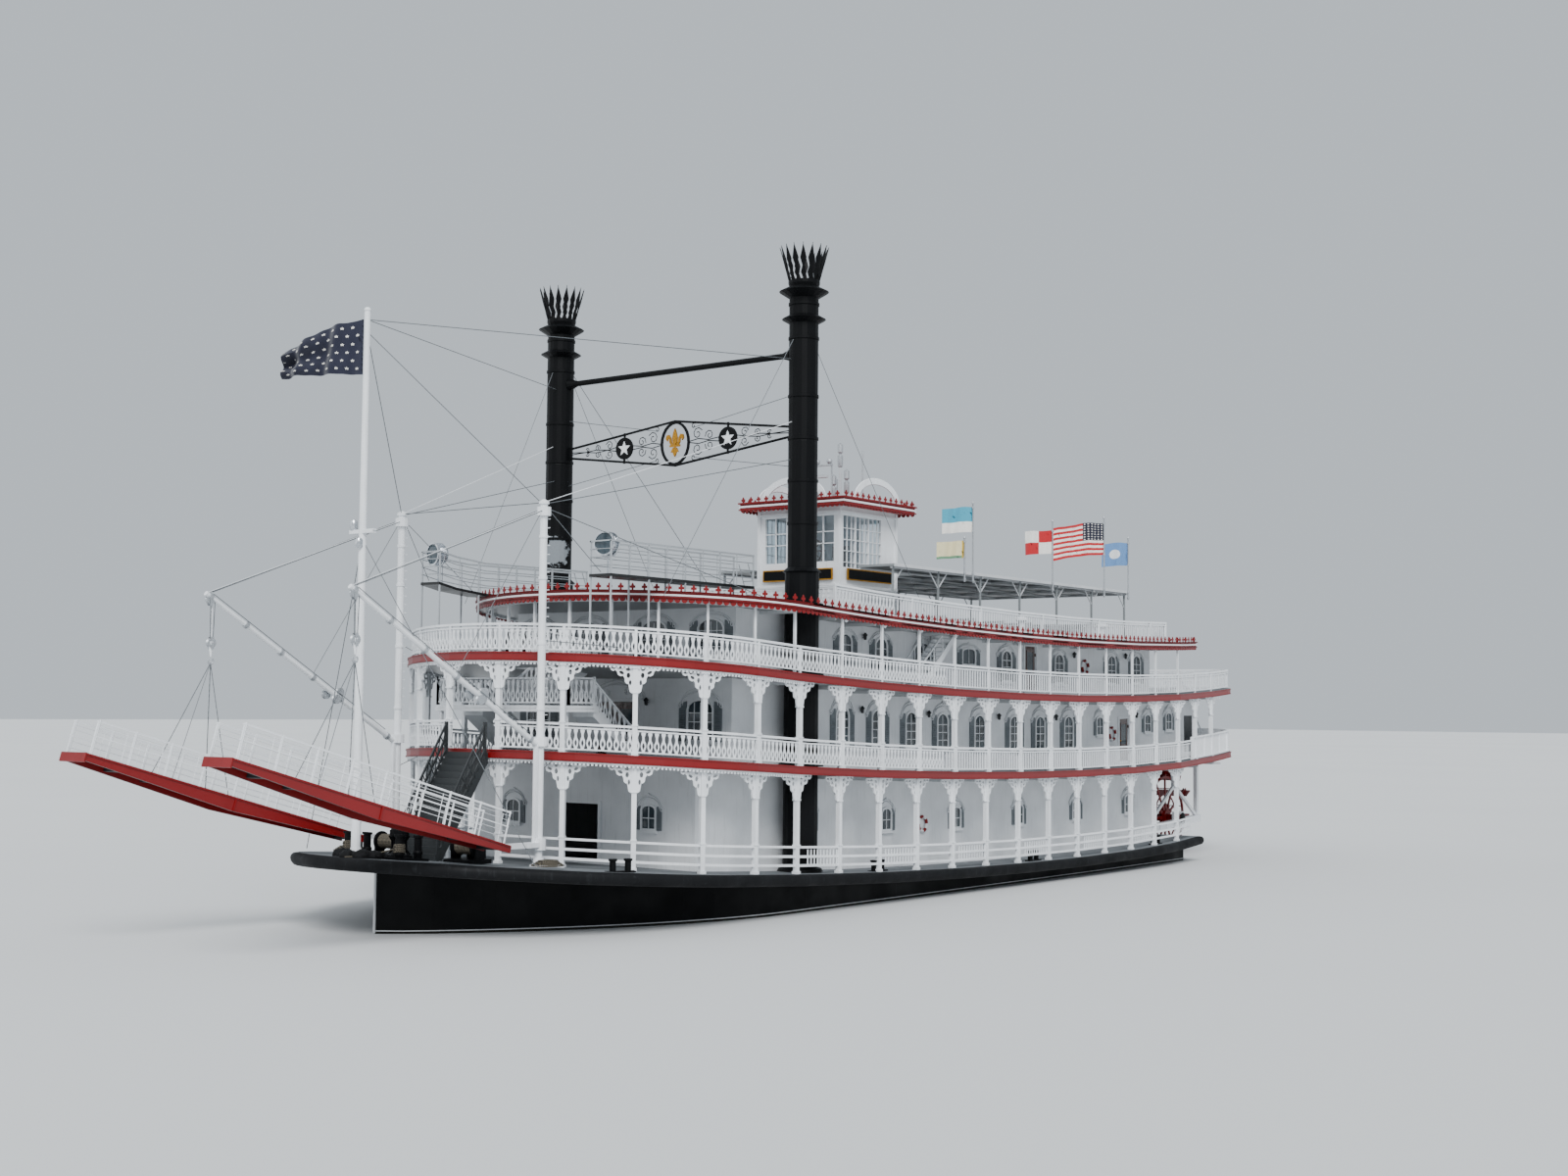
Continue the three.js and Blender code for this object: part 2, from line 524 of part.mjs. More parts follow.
const frontDoorway = (house, level, half) => doorway(level, house.front - PAST, house.front + PAST, -half, half);
const mainDoorway = frontDoorway(MAIN_HOUSE, MAIN, MAIN_DOORWAY_HALF);
const saloonDoorway = frontDoorway(FIRST_HOUSE, FIRST, SALOON_DOOR_WIDTH);
for (const [sideName, side] of Object.entries(SIDES)) {
  const sideDoorway = (house, level, x) => {
    const [y0, y1] = [side * (house.half - PAST), side * (house.half + PAST)].sort((a, b) => a - b);
    return doorway(level, x - DOOR.width / 2, x + DOOR.width / 2, y0, y1);
  };
  const firstDoorway = sideDoorway(FIRST_HOUSE, FIRST, FIRST_SIDE_DOOR_X);
  const secondDoorway = sideDoorway(SECOND_CABIN, SECOND, SECOND_SIDE_DOOR_X);
  add("main_house_" + sideName, houseHalf(MAIN_HOUSE, MAIN, FIRST, side, [mainDoorway]), "white");
  const firstWalls = houseHalf(FIRST_HOUSE, FIRST, SECOND, side, [saloonDoorway, firstDoorway]);
  add("first_house_" + sideName, firstWalls, "white");
  add("second_cabin_" + sideName, houseHalf(SECOND_CABIN, SECOND, ROOF, side, [secondDoorway]), "white");
}

// A door leaf with its hinge knuckles, made with the hinge axis at the origin: the leaf runs along +X
// and lies inside the wall, whose outer face is at Y = -KNUCKLE.radius - GAP. It opens towards +Y.
function doorLeaf(width, side) {
  const face = -KNUCKLE.radius - GAP;
  const [x0, x1] = [DOOR.clearance, width - DOOR.clearance];
  const [z0, z1] = [DOOR.clearance, DOOR.height - DOOR.clearance];
  const leaf = box(x0, x1, face - DOOR.leaf, face, z0, z1);
  const hinges = [z0 + KNUCKLE.inset, z1 - KNUCKLE.inset - KNUCKLE.length].flatMap((z) => [
    rod([0, 0, z], [0, 0, z + KNUCKLE.length], KNUCKLE.radius, KNUCKLE.radius, KNUCKLE.sides),
    box(0, KNUCKLE.plate, face - GAP, face + KNUCKLE.plate_thick, z, z + KNUCKLE.length),
  ]);
  const whole = join([leaf, ...hinges]);
  return side > 0 ? whole : solidOf(mirroredY(geometryOf(whole)));
}

function mirroredY(geometry) {
  const flipped = geometry.clone().scale(1, -1, 1);
  const index = [...flipped.index.array];
  for (let i = 0; i < index.length; i += 3) [index[i + 1], index[i + 2]] = [index[i + 2], index[i + 1]];
  flipped.setIndex(index);
  return flipped;
}

// A door at its hinge: the leaf points along heading, and opens to the left of it, or for a negative
// side to the right.
function doorAt(width, side, x, y, heading, z) {
  const leaf = geometryOf(doorLeaf(width, side));
  return solidOf(leaf.applyMatrix4(new THREE.Matrix4().makeRotationZ(heading).setPosition(x, y, z)));
}

const hingeOut = KNUCKLE.radius + GAP;
const sillTop = (level) => level.top + DOOR.sill;
for (const [sideName, side] of Object.entries(SIDES)) {
  const saloonX = FIRST_HOUSE.front + hingeOut;
  const turnIn = side > 0 ? -Math.PI / 2 : Math.PI / 2;
  const saloonDoor = doorAt(SALOON_DOOR_WIDTH, side, saloonX, side * SALOON_DOOR_WIDTH, turnIn, sillTop(FIRST));
  add("saloon_door_" + sideName, sheered(saloonDoor), "door");
  for (const [name, house, level, x] of [
    ["first_side_door_", FIRST_HOUSE, FIRST, FIRST_SIDE_DOOR_X],
    ["second_side_door_", SECOND_CABIN, SECOND, SECOND_SIDE_DOOR_X],
  ]) {
    const y = side * (house.half + hingeOut);
    add(name + sideName, sheered(doorAt(DOOR.width, side, x - DOOR.width / 2, y, 0, sillTop(level))), "door");
  }
}

// Railing rings with the columns that carry the deck above, cut where people pass.
function railing(plan, level, inset, feet, gates) {
  const half = RAIL.width / 2;
  const top = level.top + RAIL_HEIGHT;
  const ring = planRing(plan, inset - half, inset + half, top - RAIL.depth, top);
  return join([cut(ring, gates), ...feet]);
}

const oneSide = (solid, side) => solid.intersect(sideBox(side, -FAR, FAR, RAIL_SPLIT, FAR, -FAR, FAR));
const columnTop = (above) => above.top - above.thick - GAP;
const bowGate = box(MAIN_RAIL_FRONT, FAR, -BOW_GATE_HALF, BOW_GATE_HALF, 0, SECOND.top);
const bulwarkRun = box(-FAR, BULWARK.front, -FAR, FAR, 0, SECOND.top - SECOND.thick - PAST);
const edgePlaces = columnPlaces(DECK_PLAN, RAIL_INSET, DECK_SIDES.at(-1)[0]);
const firstColumns = posts(edgePlaces, COLUMN, FIRST.top + GAP, columnTop(SECOND));
const carried = posts(edgePlaces.filter(([x]) => x > BULWARK.front), COLUMN, FIRST.top + GAP, columnTop(SECOND));
const firstRailing = railing(DECK_PLAN, FIRST, RAIL_INSET, carried, [bowGate, bulwarkRun]);
for (const [sideName, side] of Object.entries(SIDES)) {
  add("first_deck_rail_" + sideName, sheered(oneSide(firstRailing, side)), "white");
}

const sternPosts = firstColumns.slice(carried.length);
const bulwarkBand = planRing(DECK_PLAN, RAIL_INSET - BULWARK.thick / 2, RAIL_INSET + BULWARK.thick / 2,
  FIRST.top + GAP, FIRST.top + BULWARK.height);
const bulwark = bulwarkBand.intersect(box(-FAR, BULWARK.front - GAP, -FAR, FAR, FIRST.top, SECOND.top));
add("stern_bulwark", sheered(join([bulwark, ...sternPosts])), "white");

const secondPosts = posts(edgePlaces.filter(([x]) => x > COLUMN_X || x < ROOF_PLAN.sides.at(-1)[0]), THIN_POST,
  SECOND.top + GAP, SECOND.top + RAIL_HEIGHT);
const roofCarriers = posts(edgePlaces.filter(([x]) => x <= COLUMN_X && x > ROOF_PLAN.sides.at(-1)[0]), THIN_POST,
  SECOND.top + GAP, columnTop(ROOF));
add("second_deck_rail", sheered(railing(DECK_PLAN, SECOND, RAIL_INSET, [...secondPosts, ...roofCarriers], [])), "white");

// Columns between the main deck and the first deck stand under the first deck's edge, joined by a rail.
const mainPlaces = columnPlaces(DECK_PLAN, MAIN_RAIL_INSET, TRANSOM_X);
const mainColumns = posts(mainPlaces, COLUMN, MAIN.top + GAP, columnTop(FIRST));
const sternRun = box(-FAR, MAIN_RAIL_AFT, -FAR, FAR, 0, MAIN.top + RAIL_HEIGHT + PAST);
const mainRailing = railing(DECK_PLAN, MAIN, MAIN_RAIL_INSET, mainColumns, [bowGate, sternRun]);
for (const [sideName, side] of Object.entries(SIDES)) {
  add("main_deck_rail_" + sideName, sheered(oneSide(mainRailing, side)), "white");
}

// Roof deck railing: a long loop inside the roof's edge.
function roofRailing() {
  const { front, aft, half } = ROOF_RAIL;
  const loop = (inset) => {
    const [y, x0, x1] = [half - inset, aft + inset, front - inset];
    return [[x1, -y], [x1, y], [x0, y], [x0, -y]];
  };
  const band = (width, z0, z1) => slab(loop(-width / 2), z0, z1, [loop(width / 2)]);
  const top = ROOF.top + RAIL_HEIGHT;
  const places = [];
  for (let x = front; x > aft; x -= 2 * BAY) places.push([x, half, 0]);
  places.push([aft, half, 0]);
  for (let y = BAY; y < half; y += 2 * BAY) places.push([front, y, 0], [aft, y, 0]);
  return join([band(RAIL.width, top - RAIL.depth, top), ...posts(places, THIN_POST, ROOF.top + GAP, top)]);
}
add("roof_deck_rail", sheered(roofRailing()), "white");

// Stacks: turned casings with two flanges, an open mouth and a crown of spikes.
function stack(side) {
  const z0 = MAIN.top + GAP;
  const flange = ({ z, radius, under, over }) => [[STACK_RADIUS, z - under], [radius, z], [STACK_RADIUS, z + over]];
  const profile = [
    [0, z0], [STACK_FOOT_RADIUS, z0], [STACK_FOOT_RADIUS, STACK_SKIRT_Z],
    [STACK_SKIRT.radius, STACK_SKIRT_Z + STACK_SKIRT.drop], [STACK_RADIUS, STACK_SKIRT_Z + STACK_SKIRT.rise],
    ...flange(LOWER_FLANGE),
    ...flange(UPPER_FLANGE),
    [STACK_NECK.radius, UPPER_FLANGE.z + STACK_NECK.rise], [STACK_NECK.radius, STACK_TOP],
    [STACK_MOUTH_RADIUS, STACK_TOP],
    [STACK_MOUTH_RADIUS, LOWER_FLANGE.z], [0, LOWER_FLANGE.z],
  ];
  const casing = turned(profile, 0, side * STACK_Y, STACK_SIDES);
  const spikes = Array.from({ length: CROWN.spikes }, (_, k) => {
    const angle = ((k + 0.5) / CROWN.spikes) * 2 * Math.PI;
    const at = (radius, z) => [radius * Math.cos(angle), side * STACK_Y + radius * Math.sin(angle), z];
    return rod(at(CROWN.foot, STACK_TOP - BITE), at(CROWN.tip, CROWN.top), CROWN.thick, CROWN.point, 4);
  });
  return sheered(join([casing, ...spikes]), MAIN.top + PAST);
}

for (const [sideName, side] of Object.entries(SIDES)) add("stack_" + sideName, stack(side), "black");

// Bar between the stacks, flared where it meets them.
const inner = STACK_Y - STACK_RADIUS - GAP;
const onCrossbar = (y) => [0, y, CROSSBAR.z];
const crossbarRod = (y0, y1, radius1) => rod(onCrossbar(y0), onCrossbar(y1), CROSSBAR.radius, radius1, CROSSBAR.sides);
const crossbarCones = Object.values(SIDES).map((side) =>
  crossbarRod(side * (inner - CROSSBAR.cone), side * inner, CROSSBAR.flare),
);
const crossbar = crossbarRod(CROSSBAR.cone / 2 - inner, inner - CROSSBAR.cone / 2, CROSSBAR.radius);
add("stack_crossbar", join([crossbar, ...crossbarCones]), "black");

// Ornament: a flat diamond of bars with a medallion in its middle and a star disc each side.
function ornament() {
  const half = ORNAMENT.thick / 2;
  const upright = (geometry) => solidOf(geometry.rotateX(Math.PI / 2).rotateZ(Math.PI / 2).translate(-half, 0, 0));
  const flat = (shape) => upright(new THREE.ExtrudeGeometry(shape, { depth: ORNAMENT.thick, bevelEnabled: false }));
  const bar = (y0, z0, y1, z1) => rod([0, y0, z0], [0, y1, z1], ORNAMENT.bar, ORNAMENT.bar, ORNAMENT.bar_sides);
  const { z, end, middle } = ORNAMENT;
  const reach = inner - ORNAMENT.plate / 2;
  const plateHalf = end + ORNAMENT.plate_rise;
  const pieces = [];
  for (const side of Object.values(SIDES)) {
    pieces.push(bar(side * reach, z + end, 0, z + middle), bar(side * reach, z - end, 0, z - middle));
    pieces.push(sideBox(side, -half, half, inner - ORNAMENT.plate, inner, z - plateHalf, z + plateHalf));
    const disc = new THREE.Shape().absarc(side * STAR_DISC.y, z, STAR_DISC.radius, 0, 2 * Math.PI);
    const star = Array.from({ length: 10 }, (_, k) => {
      const radius = k % 2 ? STAR_DISC.inner : STAR_DISC.star;
      const angle = Math.PI / 2 + (k * Math.PI) / 5;
      return new THREE.Vector2(side * STAR_DISC.y + radius * Math.cos(angle), z + radius * Math.sin(angle));
    });
    disc.holes.push(new THREE.Path(star));
    pieces.push(flat(disc));
    for (const way of [1, -1]) {
      const [foot, head] = [z + way * ORNAMENT.hanger_foot, z + way * ORNAMENT.hanger_head];
      pieces.push(bar(side * STAR_DISC.y, foot, side * STAR_DISC.y, head));
    }
  }
  const ring = new THREE.Shape().absellipse(0, z, MEDALLION.half_width, MEDALLION.half_height, 0, 2 * Math.PI);
  const hole = new THREE.Path().absellipse(0, z, MEDALLION.half_width - MEDALLION.band,
    MEDALLION.half_height - MEDALLION.band, 0, 2 * Math.PI);
  ring.holes.push(hole);
  const bandMiddle = MEDALLION.half_height - MEDALLION.band / 2;
  pieces.push(flat(ring), bar(0, z + bandMiddle, 0, z + middle), bar(0, z - bandMiddle, 0, z - middle));
  return join(pieces);
}
add("stack_ornament", ornament(), "black");

// A wire as a thin rod.
const line = (from, to) => rod(from, to, GUY_RADIUS, GUY_RADIUS, GUY_SIDES);

// Masts for the booms, with a stay from each head to its stack.
for (const [sideName, side] of Object.entries(SIDES)) {
  const y = side * MAST.y;
  const [foot, footTop] = [MAIN.top + GAP, MAIN.top + MAST_FOOT.height];
  const profile = [
    [0, foot], [MAST_FOOT.radius, foot], [MAST_FOOT.radius, footTop], [MAST.radius, footTop],
    [MAST.radius, MAST.head], [MAST_CAP.radius, MAST.head], [MAST_CAP.radius, MAST.head + MAST_CAP.height],
    [MAST_CAP.point, MAST.top], [0, MAST.top],
  ];
  const pole = sheered(turned(profile, MAST.x, y, MAST.sides), MAIN.top + PAST);
  const away = new THREE.Vector3(MAST.x, y - side * STACK_Y, 0).normalize();
  const reach = STACK_RADIUS + GAP;
  const stayFoot = [MAST.x, y, MAST.head + MAST_CAP.height - BITE];
  const stayHead = [away.x * reach, side * STACK_Y + away.y * reach, STAY_TOP];
  add("mast_" + sideName, join([pole, line(stayFoot, stayHead)]), "white");
}

// Booms: the spar, its collars on the mast, the stage's turntable arm, and the two main lines.
function boom(side) {
  const [x, y] = [MAST.x, side * MAST.y];
  // The bore's flats face the mast's corners, a clearance away from them.
  const bore = (MAST.radius + COLLAR.clearance) / Math.cos(Math.PI / MAST.sides);
  const collar = (z, height) => {
    const profile = [[bore, z], [COLLAR.radius, z], [COLLAR.radius, z + height], [bore, z + height], [bore, z]];
    return turned(profile, 0, 0, MAST.sides).rotate([0, 0, 180 / MAST.sides]).translate([x, y, 0]);
  };
  const collars = [
    collar(BOOM.heel, COLLAR.height), collar(MAST.head - COLLAR.head_drop, COLLAR.height),
    collar(STAGE.hinge_z - COLLAR.foot_drop, 2 * COLLAR.foot_drop),
  ];
  const heelZ = BOOM.heel + COLLAR.height / 3;
  const tip = [BOOM.tip_x, y, BOOM.tip_z];
  const spar = rod([x + COLLAR.radius, y, heelZ], tip, BOOM.radius, BOOM.radius * BOOM.taper, BOOM.sides);
  const { hinge_x: hingeX, hinge_z: hingeZ } = STAGE;
  const armEnd = hingeX - STAGE_PIN.knuckle - STAGE_PIN.arm_gap;
  const arm = box(x + bore + BITE, armEnd, y - ARM.half, y + ARM.half, hingeZ - ARM.under, hingeZ + ARM.over);
  const earAt = STAGE_PIN.half + STAGE_PIN.side_gap;
  const ears = [1, -1].map((edge) => {
    const [y0, y1] = [y + edge * earAt, y + edge * (earAt + STAGE_PIN.ear)].sort((a, b) => a - b);
    const [x0, x1] = [hingeX - STAGE_PIN.ear_length, hingeX + STAGE_PIN.ear_reach];
    return box(x0, x1, y0, y1, hingeZ - STAGE_PIN.ear_drop, hingeZ + STAGE_PIN.ear_reach);
  });
  const pinHalf = earAt + BITE;
  const pin = rod([hingeX, y - pinHalf, hingeZ], [hingeX, y + pinHalf, hingeZ], STAGE_PIN.radius, STAGE_PIN.radius,
    STAGE_PIN.sides);
  const strut = box(x + bore + BITE, x + COLLAR.radius, y - ARM.strut_half, y + ARM.strut_half, hingeZ, heelZ);
  const liftHead = [x + COLLAR.radius - LIFT.inset, y, MAST.head - LIFT.drop];
  const lift = line(liftHead, [BOOM.tip_x - LIFT.tip_gap, y, BOOM.tip_z + BITE]);
  const fallAt = (z) => [HOOK_REACH, y, z];
  const fall = rod(fallAt(HOOK_Z + FALL.bite), fallAt(BOOM.tip_z - FALL.tip_drop), FALL.radius, FALL.radius, 6);
  const block = rod(fallAt(HOOK_Z), fallAt(HOOK_Z + FALL.block_height), FALL.shackle, FALL.block, 8);
  return join([...collars, spar, arm, ...ears, pin, strut, lift, fall, block]);
}

// A landing stage, drawn level along +X from its hinge: girders, floor, and posts with two rails.
function stage() {
  const { start, half } = STAGE;
  const end = start + STAGE.length;
  const girders = [1, -1].map((edge) => {
    const outline = [[start, 0], [start, -STAGE_GIRDER.end], [(start + end) / 2, -STAGE_GIRDER.middle],
      [end, -STAGE_GIRDER.end], [end, 0]];
    const [y0, y1] = [edge * half, edge * (half - STAGE_GIRDER.thick)].sort((a, b) => a - b);
    return sidePlate(outline, y0, y1);
  });
  const floorFoot = STAGE_FLOOR.top - STAGE_FLOOR.thick;
  const floor = box(start, end, -half + BITE / 2, half - BITE / 2, floorFoot, STAGE_FLOOR.top);
  const rails = [1, -1].flatMap((edge) => {
    const y = edge * (half - STAGE_GIRDER.thick / 2 + STAGE_RAIL.inset);
    const railHalf = STAGE_RAIL.thick / 2;
    const pieces = [STAGE_RAIL.middle, STAGE_RAIL.height].map((z) =>
      box(start + STAGE_RAIL.start, end - STAGE_RAIL.end, y - railHalf, y + railHalf, z - STAGE_RAIL.thick, z),
    );
    const pitch = (STAGE.length - STAGE_RAIL.start - 2 * STAGE_RAIL.end) / (STAGE_RAIL.posts - 1);
    for (let k = 0; k < STAGE_RAIL.posts; k++) {
      const x = start + STAGE_RAIL.start + STAGE_RAIL.end / 2 + k * pitch;
      const thick = STAGE_RAIL.post;
      pieces.push(box(x - thick, x + thick, y - thick, y + thick, floorFoot, STAGE_RAIL.height));
    }
    return pieces;
  });
  const tongue = box(0, start + STAGE_FLOOR.tongue, -STAGE_PIN.half, STAGE_PIN.half, floorFoot, STAGE_FLOOR.top);
  const across = (y) => [0, y, 0];
  const barrel = rod(across(-STAGE_PIN.half), across(STAGE_PIN.half), STAGE_PIN.knuckle, STAGE_PIN.knuckle, STAGE_PIN.sides);
  const bore = rod(across(-PAST), across(PAST), STAGE_PIN.bore, STAGE_PIN.bore, STAGE_PIN.sides);
  return cut(join([...girders, floor, tongue, barrel, ...rails]), [bore]);
}

for (const [sideName, side] of Object.entries(SIDES)) {
  add("boom_" + sideName, boom(side), "white");
  const place = new THREE.Group();
  place.position.set(STAGE.hinge_x, side * MAST.y, STAGE.hinge_z);
  place.rotation.y = -THREE.MathUtils.degToRad(STAGE.slope);
  boat.add(place);
  add("stage_" + sideName, stage(), "red", place);
}

// Jackstaff, capstan and bitts on the bow.
const bowFoot = MAIN.top + GAP;
const onBow = (profile, x, y, sides) => turned(profile.map(([r, z]) => [r, bowFoot + z]), x, y, sides);
const staff = turned([
  [0, bowFoot], [JACKSTAFF_FLANGE.radius, bowFoot], [JACKSTAFF_FLANGE.radius, MAIN.top + JACKSTAFF_FLANGE.height],
  [JACKSTAFF.foot, JACKSTAFF.base], [JACKSTAFF.head, JACKSTAFF.top], [0, JACKSTAFF.top],
], JACKSTAFF.x, 0, JACKSTAFF.sides);
const { z: bracketZ, half: bracketHalf, thick: bracketThick, height: bracketHeight } = JACKSTAFF_BRACKET;
const bracket = box(JACKSTAFF.x - bracketThick / 2, JACKSTAFF.x + bracketThick / 2, -bracketHalf, bracketHalf,
  bracketZ, bracketZ + bracketHeight);
add("jackstaff", join([sheered(staff, MAIN.top + PAST), bracket]), "white");
add("capstan", sheered(onBow(CAPSTAN.profile, CAPSTAN.x, 0, CAPSTAN.sides)), "black");
const bittPieces = Object.values(SIDES).flatMap((side) =>
  [-1, 1].map((end) => onBow(BITTS.profile, BITTS.x + end * BITTS.half, side * BITTS.y, BITTS.sides)),
);
const { front: plateFront, aft: plateAft, link_aft: linkAft, half: plateHalf, thick: plateThick } = BITTS.plate;
const plateTop = bowFoot + plateThick;
const bittLink = box(linkAft, plateFront, -BITTS.y - plateHalf, BITTS.y + plateHalf, bowFoot, plateTop);
const bittFeet = Object.values(SIDES).map((side) =>
  sideBox(side, plateAft, plateFront, BITTS.y - plateHalf, BITTS.y + plateHalf, bowFoot, plateTop),
);
add("bow_bitts", sheered(join([bittLink, ...bittFeet, ...bittPieces])), "black");

// A flight of stairs as a stepped solid: foot and head are X and height, y the middle.
function flight(footX, footZ, headX, headZ, y, half, steps) {
  const [dx, dz] = [(headX - footX) / steps, (headZ - footZ) / steps];
  const outline = [];
  for (let k = 0; k < steps; k++) {
    outline.push([footX + k * dx, footZ + k * dz], [footX + k * dx, footZ + (k + 1) * dz]);
  }
  outline.push([headX, headZ], [headX, headZ - STAIR_THICK - dz], [footX + dx + Math.sign(dx) * STAIR_THICK, footZ]);
  return sidePlate(dx > 0 ? outline.reverse() : outline, y - half, y + half);
}

// Height of a foot that stands on a deck, where x is the foot's forward edge.
const standing = (deckTop, x) => deckTop + sheer(x) + GAP;
const bowStairX = DECK_PLAN.centre + DECK_PLAN.nose + GAP;
const bowStairTop = FIRST.top - BOW_STAIR.drop + sheer(bowStairX);
const bowStairFoot = standing(MAIN.top, BOW_STAIR.foot);
const bowStair = flight(BOW_STAIR.foot, bowStairFoot, bowStairX, bowStairTop, 0, BOW_STAIR.half, BOW_STAIR.steps);
add("bow_stair", bowStair, "dark");

const landingFoot = LANDING.z - LANDING.thick;
const landingFlat = box(LANDING.aft, LANDING.front, -LANDING.half, LANDING.half, landingFoot, LANDING.z);
const stairFootX = LANDING.aft - LANDING.run;
const lowerFootZ = standing(FIRST.top, stairFootX + LANDING.run / LANDING.steps + STAIR_THICK);
const lowerFlights = Object.values(SIDES).map((side) =>
  flight(stairFootX, lowerFootZ, LANDING.aft + BITE, LANDING.z - BITE, side * LANDING.flight_y, STAIR_HALF, LANDING.steps),
);
const upperHeadZ = SECOND.top - BITE + sheer(stairFootX);
const upperFootX = LANDING.aft + LANDING.well_gap - BITE;
const upperFlight = flight(upperFootX, LANDING.z - BITE, stairFootX, upperHeadZ, 0, LANDING.upper_half, LANDING.steps);
const legX = LANDING.front - LANDING.leg_gap;
const [legY0, legY1] = [LANDING.leg_y - LANDING.leg / 2, LANDING.leg_y + LANDING.leg / 2];
const landingLegs = Object.values(SIDES).map((side) =>
  sideBox(side, legX - LANDING.leg, legX, legY0, legY1, standing(FIRST.top, legX), LANDING.z),
);
add("grand_stair", join([landingFlat, ...lowerFlights, upperFlight, ...landingLegs]), "white");

const aftFoot = [AFT_STAIR.foot, FIRST.top + GAP];
const aftHead = [AFT_STAIR.head, SECOND.top - BITE];
const aftFlight = flight(...aftFoot, ...aftHead, AFT_STAIR.y, AFT_STAIR.half, AFT_STAIR.steps);
add("aft_stair", sheered(aftFlight), "white");

// Pilothouse: a clapboard base on the roof deck, glazed walls, and a crowned roof.
const P = PILOTHOUSE;
const basePlan = [P.aft - PILOT_BASE_GROW, P.front + PILOT_BASE_GROW, -P.half - PILOT_BASE_GROW, P.half + PILOT_BASE_GROW];
const stepRun = PILOT_STEPS.run / PILOT_STEPS.steps;
const stepFootX = P.aft - PILOT_STEPS.run;
const stepFoot = standing(ROOF.top, stepFootX + stepRun + STAIR_THICK);
const stepY = PILOT_DOOR.y + DOOR.width / 2;
const pilotSteps = flight(stepFootX, stepFoot, P.aft, P.foot - PILOT_STEPS.drop, stepY, STAIR_HALF, PILOT_STEPS.steps);
const baseOuter = box(...basePlan, ROOF.top + GAP, P.foot);
const baseInner = box(basePlan[0] + WALL, basePlan[1] - WALL, basePlan[2] + WALL, basePlan[3] - WALL, 0, P.foot - WALL);
const hollowBase = sheered(cut(baseOuter, [baseInner]), ROOF.top + PAST);
add("pilothouse_base", join([hollowBase, cut(pilotSteps, [baseOuter])]), "white");

const pilotShell = box(P.aft, P.front, -P.half, P.half, P.foot + GAP, P.top);
const [roomAft, roomFront, roomHalf] = [P.aft + PILOT_WALL, P.front - PILOT_WALL, P.half - PILOT_WALL];
const pilotRoom = box(roomAft, roomFront, -roomHalf, roomHalf, P.foot - PAST, P.top + PAST);
const paneWidth = (2 * P.half - 2 * PILOT_CORNER) / PILOT_MULLIONS;
const frontPanes = Array.from({ length: PILOT_MULLIONS }, (_, k) => {
  const y = -P.half + PILOT_CORNER + k * paneWidth;
  const [y0, y1] = [y + PILOT_PANE.front_post, y + paneWidth - PILOT_PANE.front_post];
  return box(P.front - PAST / 2, P.front + PAST, y0, y1, P.sill, P.lintel);
});
const sideSpan = (P.front - P.aft - PILOT_PANE.side_start - PILOT_PANE.side_end) / PILOT_MULLIONS;
const sidePanes = Array.from({ length: PILOT_MULLIONS }, (_, k) => {
  const x = P.aft + PILOT_PANE.side_start + k * sideSpan;
  const [x0, x1] = [x + PILOT_PANE.side_post, x + sideSpan - PILOT_PANE.side_post];
  return box(x0, x1, -P.half - PAST, P.half + PAST, P.sill - PILOT_PANE.side_drop, P.lintel);
});
const aftPane = box(P.aft - PAST, P.aft + PAST, PILOT_AFT_PANE.inner, P.half - PILOT_AFT_PANE.edge, P.sill, P.lintel);
const pilotSill = P.foot + PILOT_DOOR.sill;
const pilotDoorway = box(P.aft - PAST, P.aft + PAST / 2, PILOT_DOOR.y, PILOT_DOOR.y + DOOR.width,
  pilotSill, pilotSill + DOOR.height);
add("pilothouse_walls", cut(pilotShell, [pilotRoom, ...frontPanes, ...sidePanes, aftPane, pilotDoorway]), "white");

// The glazing is one lining of sheet glass just inside the front and side walls.
const lining = (inset) => {
  const edge = PILOT_WALL + GAP + inset;
  const [x0, x1, y] = [P.aft + PILOT_GLASS.aft, P.front - edge, P.half - edge];
  return [[x0, y], [x1, y], [x1, -y], [x0, -y]];
};
const glassOutline = [...lining(0), ...lining(GLASS_THICK).reverse()];
const glass = slab(glassOutline.reverse(), P.sill - PILOT_GLASS.drop, P.lintel + PILOT_GLASS.rise);
add("pilothouse_glass", glass, "glass");

const roofPlanBox = (grow, z0, z1) => box(P.aft - grow, P.front + grow, -P.half - grow, P.half + grow, z0, z1);
const eaves = roofPlanBox(PILOT_ROOF.overhang, P.top + GAP, P.top + PILOT_ROOF.thick);
const eavesTop = P.top + PILOT_ROOF.thick;
const crownRings = [[PILOT_ROOF.crown_foot, eavesTop - BITE], [PILOT_ROOF.crown_head, eavesTop + PILOT_ROOF.crown]];
const crown = loft(crownRings.map(([grow, z]) => [
  [P.aft - grow, -P.half - grow, z], [P.front + grow, -P.half - grow, z],
  [P.front + grow, P.half + grow, z], [P.aft - grow, P.half + grow, z],
]));
const upright = (x, height, foot, head, sides) => rod([x, 0, eavesTop], [x, 0, P.top + height], foot, head, sides);
const radarX = P.front - RADAR.back;
const [barLow, barHigh] = [P.top + RADAR.bar_z, P.top + RADAR.bar_z + RADAR.bar];
const roofMasts = [
  upright(radarX, RADAR.height, RADAR.foot, RADAR.head, RADAR.sides),
  box(radarX - RADAR.bar, radarX + RADAR.bar, -RADAR.bar_half, RADAR.bar_half, barLow, barHigh),
  upright(P.aft + WHISTLE.ahead, WHISTLE.height, WHISTLE.radius, WHISTLE.radius, WHISTLE.sides),
];
add("pilothouse_roof", join([eaves, crown, ...roofMasts]), "red");
